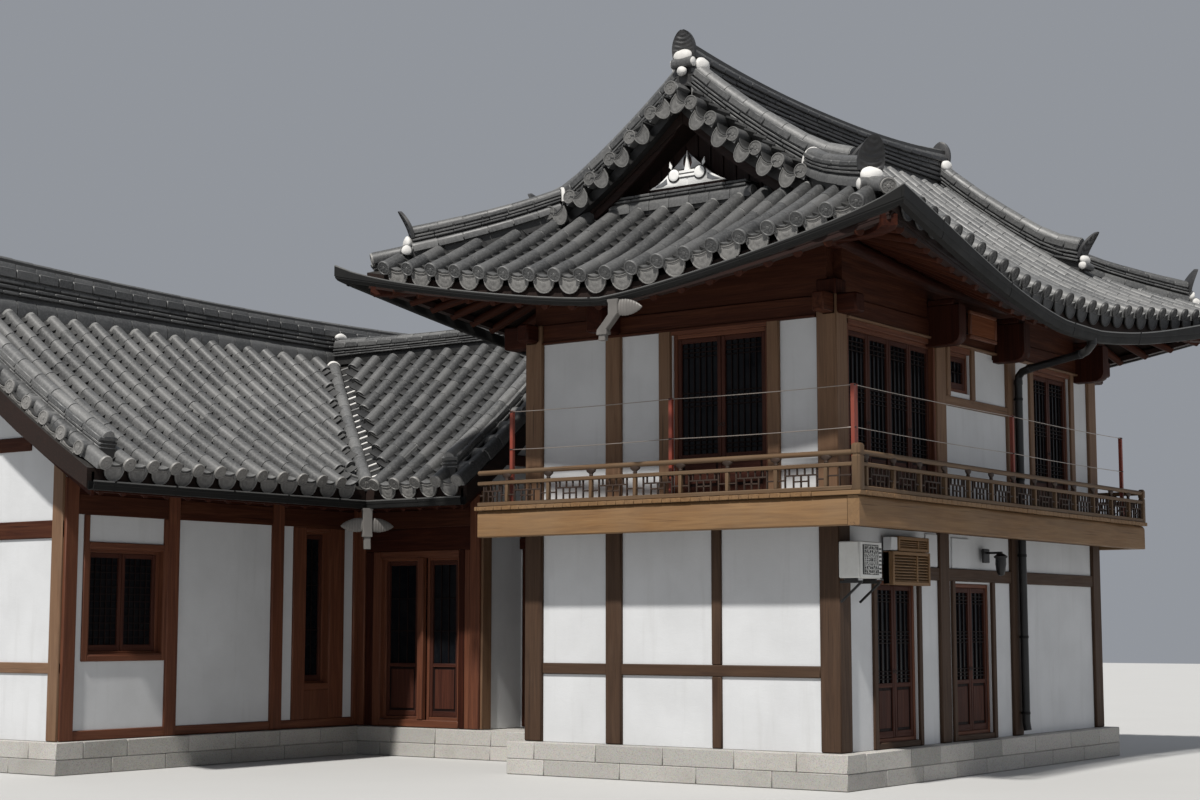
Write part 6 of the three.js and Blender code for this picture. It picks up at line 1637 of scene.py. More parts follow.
louvre(0.93, 1.78, 2.05, 2.40, -0.12, 9)
louvre(1.08, 1.78, 2.405, 2.56, -0.11, 4)
p.box(0.93, 1.07, -0.100, -0.002, 2.41, 2.55, 3, 0.006, axis=0)
p.build()

p = Part("outdoor_unit", "appliance", [K_WHITE, K_BLACK, M_DARK], ("ac_unit",))
p.box(-0.02, 0.44, -0.235, -0.0015, 2.10, 2.47, 0, 0.012)
p.box(-0.012, 0.432, -0.250, -0.235, 2.108, 2.462, 0, 0.006)
p.box(0.03, 0.36, -0.252, -0.247, 2.135, 2.435, 1, 0.002)
cx, cz = 0.195, 2.285
th = np.arange(28) * 2 * np.pi / 28
for rr in (0.035, 0.07, 0.105, 0.14):
    R = [[np.array([cx, -0.262, cz]) + (rr + 0.003 * math.cos(a)) * np.array([math.cos(q), 0, math.sin(q)]) + np.array([0, 0.003 * math.sin(a), 0]) for a in np.arange(5) * 2 * np.pi / 5] for q in th]
    p.add(loft(np.array(R), loop=True, mat=0))
for k in range(12):
    q = math.pi * k / 6
    p.beam((cx + 0.03 * math.cos(q), -0.262, cz + 0.03 * math.sin(q)), (cx + 0.148 * math.cos(q), -0.262, cz + 0.148 * math.sin(q)), 0.005, 0.005, 0, 0.001, up=(0, 1, 0))
for k in range(9):
    x = 0.045 + 0.30 * k / 8
    p.box(x - 0.002, x + 0.002, -0.264, -0.260, 2.14, 2.43, 0, 0.001)
for k in range(8):
    z = 2.15 + 0.27 * k / 7
    p.box(0.035, 0.355, -0.268, -0.264, z - 0.002, z + 0.002, 0, 0.001)
for k in range(7):
    z = 2.15 + 0.04 * k
    p.box(0.375, 0.42, -0.254, -0.249, z, z + 0.016, 1, 0.002)
p.box(0.0, 0.03, -0.20, -0.05, 2.072, 2.10, 1, 0.004)
p.box(0.39, 0.42, -0.20, -0.05, 2.072, 2.10, 1, 0.004)
for x in (0.015, 0.405):
    p.box(x - 0.015, x + 0.015, -0.25, -0.0015, 2.050, 2.075, 1, 0.003)
    p.beam((x, -0.235, 2.055), (x, -0.006, 1.86), 0.022, 0.022, 1, 0.003, up=(1, 0, 0))
p.build()

# small fittings under the balcony: white vent boards and a lamp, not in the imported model's list
p = Part("wall_vents_and_lamp", "plaster", [M_WALL, W_POST, K_BLACK, GLASS])
for a in ((1.955, 2.235, 2.27, 2.62), (2.60, 3.03, 2.27, 2.60)):
    p.box(a[0], a[1], 0.020, 0.045, a[2], a[3], 0, 0.004, axis=0)
p.box(3.30, 3.46, -0.03, -0.001, 2.34, 2.50, 2, 0.01)
p.box(3.36, 3.40, -0.22, -0.03, 2.44, 2.465, 2, 0.006)
G = lathe([(0.01, 0.0), (0.035, 0.01), (0.05, 0.05), (0.062, 0.13), (0.060, 0.20), (0.075, 0.205), (0.078, 0.22), (0.04, 0.25), (0.01, 0.26)], 16)
p.stamp(G, np.array([3.38, -0.20, 2.19]), [1.0, 0, 0], [0, 0, 1.0], [0, 1.0, 0], mat=2)
p.build()

# ---------------------------------------------------------------------- balcony
BX0, BX1, BY0, BY1 = -0.55, 7.05, -0.55, 4.30
p = Part("balcony_deck_boards", "deck_timber", [W_DECK, W_POST], ("balcony_deck",))
zt = Z_DECK
x = BX0
while x < BX1 - 0.01:
    w = min(0.118 + rng.uniform(-0.006, 0.006), BX1 - x)
    y1 = -0.003
    p.box(x + 0.0015, x + w - 0.0015, BY0 + rng.uniform(0.0, 0.004), y1, zt - 0.045 + rng.uniform(-0.001, 0.001), zt - 0.0015 + rng.uniform(-0.0012, 0.0012), 0, 0.004, axis=1)
    x += w
y = 0.001
while y < BY1 - 0.01:
    w = min(0.118 + rng.uniform(-0.006, 0.006), BY1 - y)
    p.box(BX0 + rng.uniform(0.0, 0.004), -0.003, y + 0.0015, y + w - 0.0015, zt - 0.045, zt - 0.0015 + rng.uniform(-0.0012, 0.0012), 0, 0.004, axis=0)
    y += w
p.box(LX + 0.003, BX1, 0.001, 0.3, zt - 0.045, zt - 0.002, 0, 0.004, axis=0)
p.build()

b = Part("balcony_beams_timber", "deck_timber", [W_DECK, W_EAVE, W_POST], ("balcony_beams",))


def rough_beam(p0, p1, w, z0, z1, out, n=46):
    """Big edge beam whose upper arris keeps the waney edge of the log."""
    p0, p1, out = np.array(p0, float), np.array(p1, float), np.array(out, float)
    R = []
    ph = rng.uniform(0, 6.28, 4)
    L = np.linalg.norm(p1 - p0)
    for q in np.linspace(0, 1, n):
        c = p0 + (p1 - p0) * q
        s = q * L
        wv = 0.5 + 0.5 * (0.5 * math.sin(2.1 * s + ph[0]) + 0.3 * math.sin(5.3 * s + ph[1]) + 0.2 * math.sin(11.7 * s + ph[2])) + rng.uniform(-0.08, 0.08)
        wv = min(max(wv, 0), 1)
        a, hgt = 0.010 + 0.020 * wv, 0.020 + 0.034 * wv
        sec = [(0, z0 + 0.010), (0.008, z0), (w - 0.008, z0), (w, z0 + 0.008), (w, z1), (a + 0.004, z1), (a * 0.8, z1 - hgt * 0.28), (a * 0.35, z1 - hgt * 0.62), (0, z1 - hgt)]
        R.append([c - out * o + np.array([0, 0, z]) for o, z in sec])
    G = loft(R, mat=0)
    v = G[0]
    ax = unit(p1 - p0)
    gv = np.stack([v @ ax, v @ out, v[:, 2]], -1) + rng.uniform(0, 30, 3)
    b.add(G, None, gv)


zb, zt2 = 2.60, Z_DECK - 0.050
rough_beam((BX0 + 0.03, BY0 + 0.03, 0), (BX1 - 0.03, BY0 + 0.03, 0), 0.13, zb, zt2, (0, -1.0, 0))
rough_beam((BX0 + 0.03, BY0 + 0.165, 0), (BX0 + 0.03, BY1 - 0.03, 0), 0.13, zb, zt2, (-1.0, 0, 0), 32)
rough_beam((BX1 - 0.03, BY0 + 0.165, 0), (BX1 - 0.03, 0.28, 0), 0.13, zb, zt2, (1.0, 0, 0), 8)
for x in (0.4, 1.3, 2.2, 3.1, 4.0, 4.9, 5.8, 6.6):
    b.box(x - 0.05, x + 0.05, BY0 + 0.155, -0.003, zb + 0.08, zt2, 1, 0.008, axis=1)
for y in (0.5, 1.35, 2.2, 3.05, 3.85):
    b.box(BX0 + 0.155, -0.003, y - 0.05, y + 0.05, zb + 0.08, zt2, 1, 0.008, axis=0)
# boarding laid over the joists
for k in range(4):
    y = BY0 + 0.17 + 0.092 * k
    b.box(BX0 + 0.17, LX, y, y + 0.088, zt2 - 0.014, zt2 - 0.001, 1, 0.002, axis=0)
b.build()


def railing(part, p0, p1, posts, out, lat=True):
    p0, p1 = np.array(p0, float), np.array(p1, float)
    U = unit(p1 - p0)
    L = np.linalg.norm(p1 - p0)
    O = np.array(out, float)
    Z = np.array([0, 0, 1.0])
    z0 = Z_DECK + 0.001

    def bar(u0, u1, za, zb_, w, mat, bev=0.004, off=0.0):
        c = p0 + U * (u0 + u1) / 2 + Z * ((za + zb_) / 2) + O * off
        a, h2 = (u1 - u0) / 2, (zb_ - za) / 2
        if a >= h2:
            part.bars(c, U, O, Z, [a, w, h2], bev, mat)
        else:
            part.bars(c, Z, O, U, [h2, w, a], bev, mat)
    bar(0, L, z0, z0 + 0.045, 0.030, 0, 0.006)
    bar(0, L, z0 + 0.235, z0 + 0.275, 0.028, 0, 0.006)
    # round hand rail, drawn as one length (the real rail is in lengths, scarfed over a cup)
    rail = [p0 + U * q + Z * (z0 + 0.372) for q in np.linspace(0, L, 24)]
    part.tube(rail, 0.027, 14, 0, cap=0.2)
    for u in posts:
        bar(u - 0.020, u + 0.020, z0 + 0.045, z0 + 0.235, 0.022, 0, 0.004)
        # lotus cup under the hand rail: stem, leaf and saddle
        c = p0 + U * u
        R = []
        for zz, a, w in ((0.275, 0.020, 0.016), (0.286, 0.026, 0.020), (0.297, 0.020, 0.016), (0.308, 0.034, 0.019), (0.322, 0.058, 0.021), (0.338, 0.066, 0.023), (0.352, 0.060, 0.022), (0.358, 0.048, 0.020)):
            th = np.arange(12) * 2 * np.pi / 12
            R.append(c + Z * (z0 + zz) + (a * np.cos(th))[:, None] * U + (w * np.sin(th))[:, None] * O)
        part.add(loft(R, mat=1))
    if lat:
        ed = [0.0] + list(posts) + [L]
        for a, c in zip(ed[:-1], ed[1:]):
            w = c - a
            if w < 0.16:
                continue
            u0, u1 = a + 0.020, c - 0.020
            zA, zB = z0 + 0.045, z0 + 0.235
            H, t = zB - zA, 0.0075
            x = lambda q: u0 + (u1 - u0) * q
            if w < 0.34:
                bar(x(0.5) - t, x(0.5) + t, zA, zB, 0.011, 1, 0.002)
                bar(x(0), x(1), zA + H * 0.55 - t, zA + H * 0.55 + t, 0.010, 1, 0.002)
                continue
            for q in (0.16, 0.84):
                bar(x(q) - t, x(q) + t, zA, zB, 0.011, 1, 0.002)
            for q in (0.34, 0.50, 0.66):
                bar(x(q) - t, x(q) + t, zA, zA + H * 0.64, 0.010, 1, 0.002)
            bar(x(0.16), x(0.84), zA + H * 0.64 - t, zA + H * 0.64 + t, 0.011, 1, 0.002)
            bar(x(0.0), x(0.16), zA + H * 0.40 - t, zA + H * 0.40 + t, 0.010, 1, 0.002)
            bar(x(0.84), x(1.0), zA + H * 0.40 - t, zA + H * 0.40 + t, 0.010, 1, 0.002)
            for q in (0.25, 0.42, 0.58, 0.75):
                bar(x(q) - t, x(q) + t, zA + H * 0.64, zB, 0.010, 1, 0.002)
            bar(x(0.34), x(0.66), zA + H * 0.32 - t, zA + H * 0.32 + t, 0.010, 1, 0.002)


r = Part("balcony_railing_front_lattice", "deck_timber", [W_RAIL, W_CUP], ("balcony_railing_front",))
px = [0.231 + 0.5735 * k for k in range(-1, 12)]
railing(r, (BX0 + 0.10, BY0 + 0.05, 0), (BX1 - 0.025, BY0 + 0.05, 0), [x - (BX0 + 0.10) for x in px if x < BX1 - 0.2], (0, -1.0, 0))
railing(r, (BX1 - 0.05, BY0 + 0.085, 0), (BX1 - 0.05, 0.25, 0), [0.36], (1.0, 0, 0))
# newels: square shafts with a chamfered cap
for (cx, cy) in ((BX0 + 0.05, BY0 + 0.05), (BX1 - 0.05, BY0 + 0.05)):
    s2 = 0.048 if cx < 0 else 0.034
    hh = 0.46 if cx < 0 else 0.42
    R = []
    for z, k in ((0.001, 0.94), (0.006, 1.0), (hh - 0.13, 1.0), (hh - 0.122, 0.86), (hh - 0.110, 0.86), (hh - 0.100, 1.04), (hh - 0.03, 1.04), (hh - 0.012, 0.92), (hh, 0.55)):
        q = s2 * k
        c = q * 0.18
        R.append([[cx + a, cy + bb, Z_DECK + z] for a, bb in ((-q + c, -q), (q - c, -q), (q, -q + c), (q, q - c), (q - c, q), (-q + c, q), (-q, q - c), (-q, -q + c))])
    r.add(loft(R, mat=0))
r.build()
r = Part("balcony_railing_left_lattice", "deck_timber", [W_RAIL, W_CUP], ("balcony_railing_left",))
railing(r, (BX0 + 0.05, BY0 + 0.103, 0), (BX0 + 0.05, BY1 - 0.03, 0), [0.30 + 0.5735 * k for k in range(8)], (-1.0, 0, 0))
r.build()

s = Part("safety_rail_steel", "red_steel", [K_RED, K_CABLE, K_BLACK], ("safety_rail",), angle=50)
ys, xs_ = BY0 + 0.14, BX0 + 0.14
for (a, c) in ((xs_, ys), (3.3, ys), (6.56, ys), (xs_, 1.75), (xs_, 3.87)):
    # angle-steel post on a foot plate, with a small bracket at each cable
    L = [(-0.020, -0.020), (0.020, -0.020), (0.020, -0.014), (-0.014, -0.014), (-0.014, 0.020), (-0.020, 0.020)]
    if a == xs_:
        L = [(q[0], q[1]) for q in L]
    R = [[[a + q[0], c + q[1], z] for q in L] for z in (Z_DECK + 0.008, 3.2, 3.6, 3.998)]
    s.add(loft(R, mat=0))
    s.box(a - 0.045, a + 0.045, c - 0.045, c + 0.045, Z_DECK + 0.001, Z_DECK + 0.009, 0, 0.002)
    for sx in (-0.032, 0.032):
        for sy in (-0.032, 0.032):
            s.tube([[a + sx, c + sy, Z_DECK + 0.006], [a + sx, c + sy, Z_DECK + 0.018]], 0.007, 8, 2)
    for z in (3.566, 3.986):
        s.tube([[a - 0.018, c - 0.017, z], [a + 0.018, c - 0.017, z]] if c == ys else [[a - 0.017, c - 0.018, z], [a - 0.017, c + 0.018, z]], 0.009, 8, 2)
s.box(xs_ + 0.024, xs_ + 0.060, ys - 0.018, ys + 0.018, Z_DECK + 0.001, 3.995, 0, 0.003)
for z in (3.566, 3.986):
    for p0, p1 in (((xs_, ys - 0.012, z), (3.3, ys - 0.012, z)), ((3.3, ys - 0.012, z), (6.56, ys - 0.012, z)), ((xs_ - 0.012, ys, z), (xs_ - 0.012, 1.75, z)), ((xs_ - 0.012, 1.75, z), (xs_ - 0.012, 3.87, z))):
        p0, p1 = np.array(p0), np.array(p1)
        P = [p0 + (p1 - p0) * q - np.array([0, 0, 0.010 * 4 * q * (1 - q)]) for q in np.linspace(0, 1, 13)]
        s.tube(P, 0.0045, 7, 1)
s.build()

# ------------------------------------------------- ridges of the lower roofs
RANGE_LAYERS = [("round", 0.0, 0.22, 0.150, 0), ("slab", 0.24, 0.31, 0.128, 0), ("slab", 0.35, 0.42, 0.124, 0), ("slab", 0.46, 0.53, 0.120, 0), ("slab", 0.57, 0.76, 0.126, 0), ("round", 0.74, 1.0, 0.094, 0)]
p = Part("range_ridge_courses", "tile", RIDGE_MATS, ("range_ridge",))
mid, half = (RV0 + RV1) / 2, (RV1 - RV0) / 2
xs = np.linspace(RV0 + 0.13, RV1 - 0.12, 60)
tp = 5.99 + 0.18 * (np.abs(xs - mid) / half) ** 2
ridge(p, np.stack([xs, np.full(60, RRY), np.full(60, 5.475)], -1), tp, [0, 1.0, 0], RANGE_LAYERS, core_hw=0.105, dip=0.12)
for X0, sx in ((RV0 + 0.115, -1.0), (RV1 - 0.105, 1.0)):
    shield(p, np.array([X0, RRY, 5.82]), (sx, 0), w=0.140, h=0.48, lean=0.03 if sx < 0 else 0.05, ribs=6)
    blob(p, np.array([X0 + sx * 0.03, RRY, 5.79]), [0, 1, 0], [1, 0, 0], [0, 0, 1], (0.115, 0.04, 0.08))
    bolster(p, np.array([X0 + sx * 0.025, RRY, 5.69]), [0, 1, 0], [0, 0, 1], 0.25, 0.060, mat=0)
p.build()
p = Part("wing_ridge_courses", "tile", RIDGE_MATS, ("wing_ridge",))
ys = np.linspace(WV0 + 0.10, RRY - 0.16, 44)
tp = 5.695 + 0.07 * ((ys - 7.8) / 2.3) ** 2
ridge(p, np.stack([np.full(44, WRX), ys, np.full(44, 5.475)], -1), tp, [1.0, 0, 0], DESC_LAYERS, core_hw=0.095, dip=0.12)
shield(p, np.array([WRX, WV0 + 0.09, 5.60]), (0, -1.0), w=0.130, h=0.40, lean=0.02, ribs=6)
blob(p, np.array([WRX, WV0 + 0.06, 5.57]), [1, 0, 0], [0, 1, 0], [0, 0, 1], (0.11, 0.035, 0.075))
blob(p, np.array([WRX, RRY - 0.20, 5.76]), [1, 0, 0], [0, 1, 0], [0, 0, 1], (0.11, 0.06, 0.06))
p.build()

# verges of the lower roofs: end tiles across the edge under one light ridge
v = Part("lower_verge_tiles", "tile", [M_TILE, M_PAN, M_DARK, M_END, W_EAVE, M_LIME])
dds = np.arange(0.25, 2.95, 0.30)


def verge2(pt, X):
    """pt(d) on the bed at the edge, X pointing into the roof."""
    X = np.array(X, float)
    for k, d in enumerate(dds):
        P = pt(d)
        T = unit(pt(d + 0.02) - pt(d - 0.02))
        N = np.cross(T, X)
        N = N if N[2] > 0 else -N
        v.stamp(T_COVER, P + N * 0.10 + X * 0.02, T, X, N, np.array([[1.0, 0.34, 1.0]]), mat=0)
        v.stamp(T_DISC, P + N * 0.096 + X * 0.004, T, X, N, mat=3)
        Pm = pt(d + 0.15)
        v.stamp(T_PLATE, Pm + N * 0.03 + X * 0.012, T, X, N, mat=3)
        v.stamp(T_PAN_WIDE, Pm + N * 0.028 + X * 0.016, T, X, N, np.array([[1.0, 0.30, 1.0]]), mat=1)
    dd = np.linspace(0.06, 3.02, 34)
    P = np.array([pt(q) + np.array([0, 0, 0.185]) + X * 0.30 for q in dd])
    for q0, h2, hw, zz in ((0, 0.016, 0.125, 0.0), (0, 0.016, 0.118, 0.045), (0, 0.030, 0.122, 0.098)):
        n = 10
        cut = np.linspace(0, 1, n + 1)
        A = np.stack([np.interp(cut, np.linspace(0, 1, 34), P[:, c]) for c in range(3)], -1) + [0, 0, zz]
        a, b2 = A[:-1], A[1:]
        T = unit(b2 - a)
        S = unit(X - (T @ X)[:, None] * T)
        N = np.cross(T, S); N = np.where(N[:, 2:3] < 0, -N, N)
        v.bars((a + b2) / 2, T, S, N, np.stack([np.linalg.norm(b2 - a, axis=1) / 2 - 0.003, np.full(n, hw), np.full(n, h2)], -1), 0.008, 0)
    A = np.stack([np.interp(cut, np.linspace(0, 1, 34), P[:, c]) for c in range(3)], -1) + [0, 0, 0.125]
    a, b2 = A[:-1], A[1:]
    T = unit(b2 - a)
    S = unit(X - (T @ X)[:, None] * T)
    N = np.cross(T, S); N = np.where(N[:, 2:3] < 0, -N, N)
    v.stamp(T_COVER, a, S, T, N, np.stack([np.full(n, 1.05), np.linalg.norm(b2 - a, axis=1), np.full(n, 1.0)], -1), mat=0)
    R = [[pt(q) + X * 0.20 + [0, 0, -0.02], pt(q) + X * 0.40 + [0, 0, -0.02], pt(q) + X * 0.40 + [0, 0, 0.27], pt(q) + X * 0.20 + [0, 0, 0.27]] for q in dd]
    v.add(loft(R, mat=2))
    # barge board under the edge
    R = [[pt(q) + X * 0.035 + [0, 0, -0.30], pt(q) + X * 0.070 + [0, 0, -0.30], pt(q) + X * 0.070 + [0, 0, -0.04], pt(q) + X * 0.035 + [0, 0, -0.04]] for q in np.linspace(0.0, 3.10, 24)]
    v.add(loft(R, mat=4))


for X0, sx in ((RV0 + 0.03, 1.0), (RV1, -1.0)):
    verge2(lambda d, X0=X0: np.array([X0, REY0 + d, float(z2(d))]), (sx, 0, 0))
    verge2(lambda d, X0=X0: np.array([X0, REY1 - d, float(z2(d))]), (sx, 0, 0))
verge2(lambda d: np.array([WEX0 + KW * d, WV0 + 0.02, float(z2(d))]), (0, 1.0, 0))
verge2(lambda d: np.array([WEX1 - KW * d, WV0 + 0.02, float(z2(d))]), (0, 1.0, 0))
v.build()

# valleys: one big round course with lime along both sides
for nm, sx, x0, rep in (("west", 1, WEX0, ("valley_course",)), ("east", -1, WEX1, ())):
    p = Part("valley_course_" + nm, "tile", RIDGE_MATS, rep)
    dd = np.linspace(-0.03, 2.86, 12)
    A = np.stack([x0 + sx * KW * dd, REY0 + dd, z2(dd) + 0.105], -1)
    a, b2 = A[:-1], A[1:]
    T = unit(b2 - a)
    flat = unit(np.array([sx * KW, 1.0, 0]))
    S = np.broadcast_to(np.array([flat[1], -flat[0], 0]), T.shape)
    N = np.cross(T, S); N = np.where(N[:, 2:3] < 0, -N, N)
    p.stamp(T_COVER, a, S, T, N, np.stack([np.full(11, 1.16), np.linalg.norm(b2 - a, axis=1), np.full(11, 1.12)], -1), mat=5)
    R = [[q + S[0] * 0.085 + [0, 0, 0.0], q + S[0] * 0.05 + [0, 0, 0.075], q - S[0] * 0.05 + [0, 0, 0.075], q - S[0] * 0.085, q - S[0] * 0.10 + [0, 0, -0.11], q + S[0] * 0.10 + [0, 0, -0.11]] for q in A[:, :] + (T[0] * 0.02)[None]]
    p.add(loft(np.array(R), mat=1))
    p.stamp(T_DISC, A[0] - T[0] * 0.02, S[0], T[0], N[0], np.array([[1.14, 1.0, 1.10]]), mat=4)
    blob(p, A[-1] + T[-1] * 0.02, S[0], T[0], N[0], (0.10, 0.05, 0.085), lump=0.06)
    # channel on both sides: short dark tiles with a tooth of lime at every joint
    for sg in (-1, 1):
        hw = 0.125 if sg * sx > 0 else 0.075
        o = 0.088 + hw
        lat = unit(S[0] * sg + np.array([0, 0, 0.396]))
        q = 0.05
        while q < 2.80:
            al = unit(T[4] - (T[4] @ lat) * lat)
            nn = np.cross(lat, al)
            nn = nn * (1 if nn[2] > 0 else -1)
            c = np.array([x0 + sx * KW * q, REY0 + q, float(z2(q)) + 0.052 + 0.396 * o]) + S[0] * sg * o
            p.bars(c, lat, al, nn, [hw, 0.086, 0.009], 0.004, 1)
            p.bars(c + al * 0.084 + nn * 0.012, lat, al, nn, [hw * rng.uniform(0.90, 1.0), 0.017 + rng.uniform(-0.003, 0.003), 0.014], 0.008, 3 if rng.random() < 0.75 else 2)
            q += 0.142
    p.build()

# court gutter with its leader at the inner corner
g = Part("court_gutter_sheet", "gutter_metal", [K_GUTTER, K_LIP, K_OUTLET], ("court_gutter",), angle=30)
P = np.array([[x, REY0 - 0.02, 3.16] for x in np.linspace(RV0, WEX0 - 0.02, 16)] + [[WEX0 - 0.02, y, 3.16] for y in np.linspace(REY0 - 0.02, WV0, 8)[1:]])
out = loop_frame(P, closed=False)
PR = [(0.108, -0.002), (0.104, -0.045), (0.098, -0.050), (0.092, -0.095), (0.085, -0.100), (0.006, -0.100), (0.0, -0.094), (0.0, -0.002), (0.006, -0.002), (0.006, -0.092), (0.082, -0.092), (0.090, -0.048), (0.097, -0.042), (0.101, -0.002)]
gutter(g, P, out, PR, (0.1005, -0.008), closed=False)
for k in range(1, len(P) - 1, 3):
    if abs(P[k][0] - (WEX0 - 0.02)) > 0.2 or P[k][1] < 6.7:
        t = unit(P[k + 1] - P[k - 1]); o = unit(out[k])
        R = [[P[k] + t * a + o * x + np.array([0, 0, z]) for x, z in ((0.112, 0.0), (0.106, -0.048), (0.100, -0.052), (0.094, -0.098), (0.085, -0.104), (0.080, -0.098), (0.088, -0.050), (0.100, 0.0))] for a in (-0.014, 0.014)]
        g.add(loft(R, mat=0))
outlet(g, (0.50, 6.86, 3.065), (0.81, -0.587, 0), (-0.587, -0.81, 0), 0.50, 0.0)
g.build()

# ------------------------------------------------ timber of the wing and range
t = Part("court_timber_frame", "timber", [W_EAVE, W_BEAM, W_FRAME, W_POST])
so = lambda d: float(z2(d)) - 0.22 - 0.05 * min(1, d)


def eave_timbers(fn, lo, hi, n, horiz):
    """Round rafters, the board on their tips. fn(c, d) gives a plan point."""
    for c in np.linspace(lo, hi, n):
        P = [list(fn(c, d)) + [so(d) - 0.052] for d in np.linspace(0.05, 1.02, 5)]
        t.tube(P, np.array([0.040, 0.046, 0.050, 0.050, 0.050]), 10, 0, cap=0.1)
    P = np.array([list(fn(c, 0.045)) + [so(0) + 0.015] for c in np.linspace(lo - 0.08, hi + 0.08, 12)])
    t.sweep(P, [(-0.030, -0.045), (0.030, -0.045), (0.030, 0.045), (-0.030, 0.045)], side=horiz, mat=0)


eave_timbers(lambda c, d: (WEX0 + KW * d, c), WV0 + 0.25, 6.95, 6, [1.0, 0, 0])
eave_timbers(lambda c, d: (c, REY0 + d), RV0 + 0.25, 0.55, 14, [0, 1.0, 0])
eave_timbers(lambda c, d: (WEX1 - KW * d, c), WV0 + 0.25, 6.95, 6, [1.0, 0, 0])
eave_timbers(lambda c, d: (c, REY0 + d), WEX1 + 0.20, RV1 - 0.15, 5, [0, 1.0, 0])
eave_timbers(lambda c, d: (c, REY1 - d), RV0 + 0.25, RV1 - 0.25, 34, [0, 1.0, 0])


def post(x0, x1, y0, y1, z0=Z_FLOOR1 + 0.001, z1=3.28, m=3):
    t.box(x0, x1, y0, y1, z0, z1, m, 0.010, axis=2)


Yr, Xw = RY0, WX0
# range, court side: posts, deep lintels and the frame of the tall window
for a, c in ((-3.2, -3.02), (-1.70, -1.52), (0.0, 0.20), (1.47, 1.60)):
    post(a, c, Yr - 0.035, Yr + 0.02, m=2)
for a, c in ((-3.02, -1.70), (-1.52, 0.0), (0.20, 1.47)):
    t.box(a, c, Yr - 0.030, Yr + 0.01, 2.87, 3.10, 1, 0.010, axis=0)
    t.box(a, c, Yr - 0.022, Yr + 0.01, 3.10, 3.29, 0, 0.010, axis=0)
    t.box(a, c, Yr - 0.022, Yr + 0.01, 0.362, 0.47, 2, 0.008, axis=0)
for w0 in ((-2.85, -1.75, 1.3, 2.5), (0.59, 1.03, 0.9, 2.83)):
    wl, wr = (0.075, 0.075) if w0[0] < 0 else (0.21, 0.27)
    t.box(w0[0] - wl, w0[0], Yr - 0.026, Yr + 0.03, w0[2] - 0.07 if w0[0] < 0 else 0.47, 2.87, 2, 0.008, axis=2)
    t.box(w0[1], w0[1] + wr, Yr - 0.026, Yr + 0.03, w0[2] - 0.07 if w0[0] < 0 else 0.47, 2.87, 2, 0.008, axis=2)
    t.box(w0[0], w0[1], Yr - 0.026, Yr + 0.03, w0[3], w0[3] + (0.07 if w0[0] < 0 else 0.04), 2, 0.008, axis=0)
    t.box(w0[0], w0[1], Yr - 0.026, Yr + 0.03, w0[2] - 0.07, w0[2], 2, 0.008, axis=0)
t.box(0.59, 1.03, Yr - 0.018, Yr + 0.01, 0.47, 0.83, 2, 0.006, axis=2)
for w0 in ((-2.85, -1.75, 1.3, 2.5), (0.59, 1.03, 0.9, 2.83)):
    for q in (w0[0] - 0.002, w0[1] - 0.012):
        t.box(q, q + 0.014, Yr - 0.022, Yr + 0.16, w0[2], w0[3], 2, 0.002, axis=2)
    for q in (w0[2] - 0.002, w0[3] - 0.012):
        t.box(w0[0], w0[1], Yr - 0.020, Yr + 0.16, q, q + 0.014, 2, 0.002, axis=0)
# wing, court side: two tall door bays between dark frames
post(Xw - 0.035, Xw + 0.02, 5.95, 6.11, m=2)
post(Xw - 0.035, Xw + 0.02, 7.87, 8.0, m=2)
t.box(Xw - 0.030, Xw + 0.01, 6.11, 7.87, 2.87, 3.10, 1, 0.010, axis=1)
t.box(Xw - 0.022, Xw + 0.01, 5.95, 7.99, 3.10, 3.29, 0, 0.010, axis=1)
t.box(Xw - 0.020, Xw + 0.01, 6.11, 7.87, 2.58, 2.87, 0, 0.010, axis=1)
for a, c in ((6.11, 6.295), (7.605, 7.87)):
    for k in range(2):
        w = (c - a) / 2
        t.box(Xw - 0.024 + 0.004 * k, Xw + 0.03, a + w * k, a + w * (k + 1) - 0.004, 0.362, 2.58, 2 if k == 0 else 0, 0.008, axis=2)
t.box(Xw - 0.024, Xw + 0.03, 6.295, 7.605, 2.50, 2.58, 2, 0.008, axis=1)
t.box(Xw - 0.024, Xw + 0.03, 6.295, 7.605, 0.362, 0.455, 2, 0.008, axis=1)
t.box(Xw - 0.034, Xw + 0.04, 6.87, 6.97, 0.456, 2.499, 2, 0.010, axis=2)
for q in (6.293, 7.593):
    t.box(Xw - 0.020, Xw + 0.16, q, q + 0.014, 0.456, 2.50, 2, 0.002, axis=2)
t.box(Xw - 0.020, Xw + 0.16, 6.295, 7.605, 2.488, 2.502, 2, 0.002, axis=1)
# gable ends and back
for xw, sg in ((RX0, -1), (RX1, 1)):
    x0, x1 = (xw - 0.03, xw + 0.02) if sg < 0 else (xw - 0.02, xw + 0.03)
    for yc in (8.09, 10.1, 12.11):
        post(x0, x1, yc - 0.09, yc + 0.09, z1=so(min(yc - REY0, REY1 - yc)) - 0.03)
    t.box(x0 + 0.005, x1 - 0.005, RY0, RY1, 2.60, 2.80, 1, 0.010, axis=1)
    t.box(x0 + 0.008, x1 - 0.008, RY0, RY1, 1.10, 1.22, 3, 0.010, axis=1)
    t.box(x0 + 0.005, x1 - 0.005, RY0 + 0.6, RY1 - 0.6, 3.60, 3.76, 1, 0.010, axis=1)
for x in (-3.2, -1.84, -0.3, 1.5, 3.2, 4.7, 6.82):
    post(x, x + 0.18, RY1 - 0.02, RY1 + 0.03)
t.box(RX0, RX1, RY1 - 0.015, RY1 + 0.025, 2.52, 2.70, 1, 0.010, axis=0)
t.box(RX0, RX1, RY1 - 0.015, RY1 + 0.022, 3.12, 3.28, 1, 0.010, axis=0)
t.box(RX0, RX1, RY1 - 0.015, RY1 + 0.022, 0.95, 1.06, 3, 0.010, axis=0)
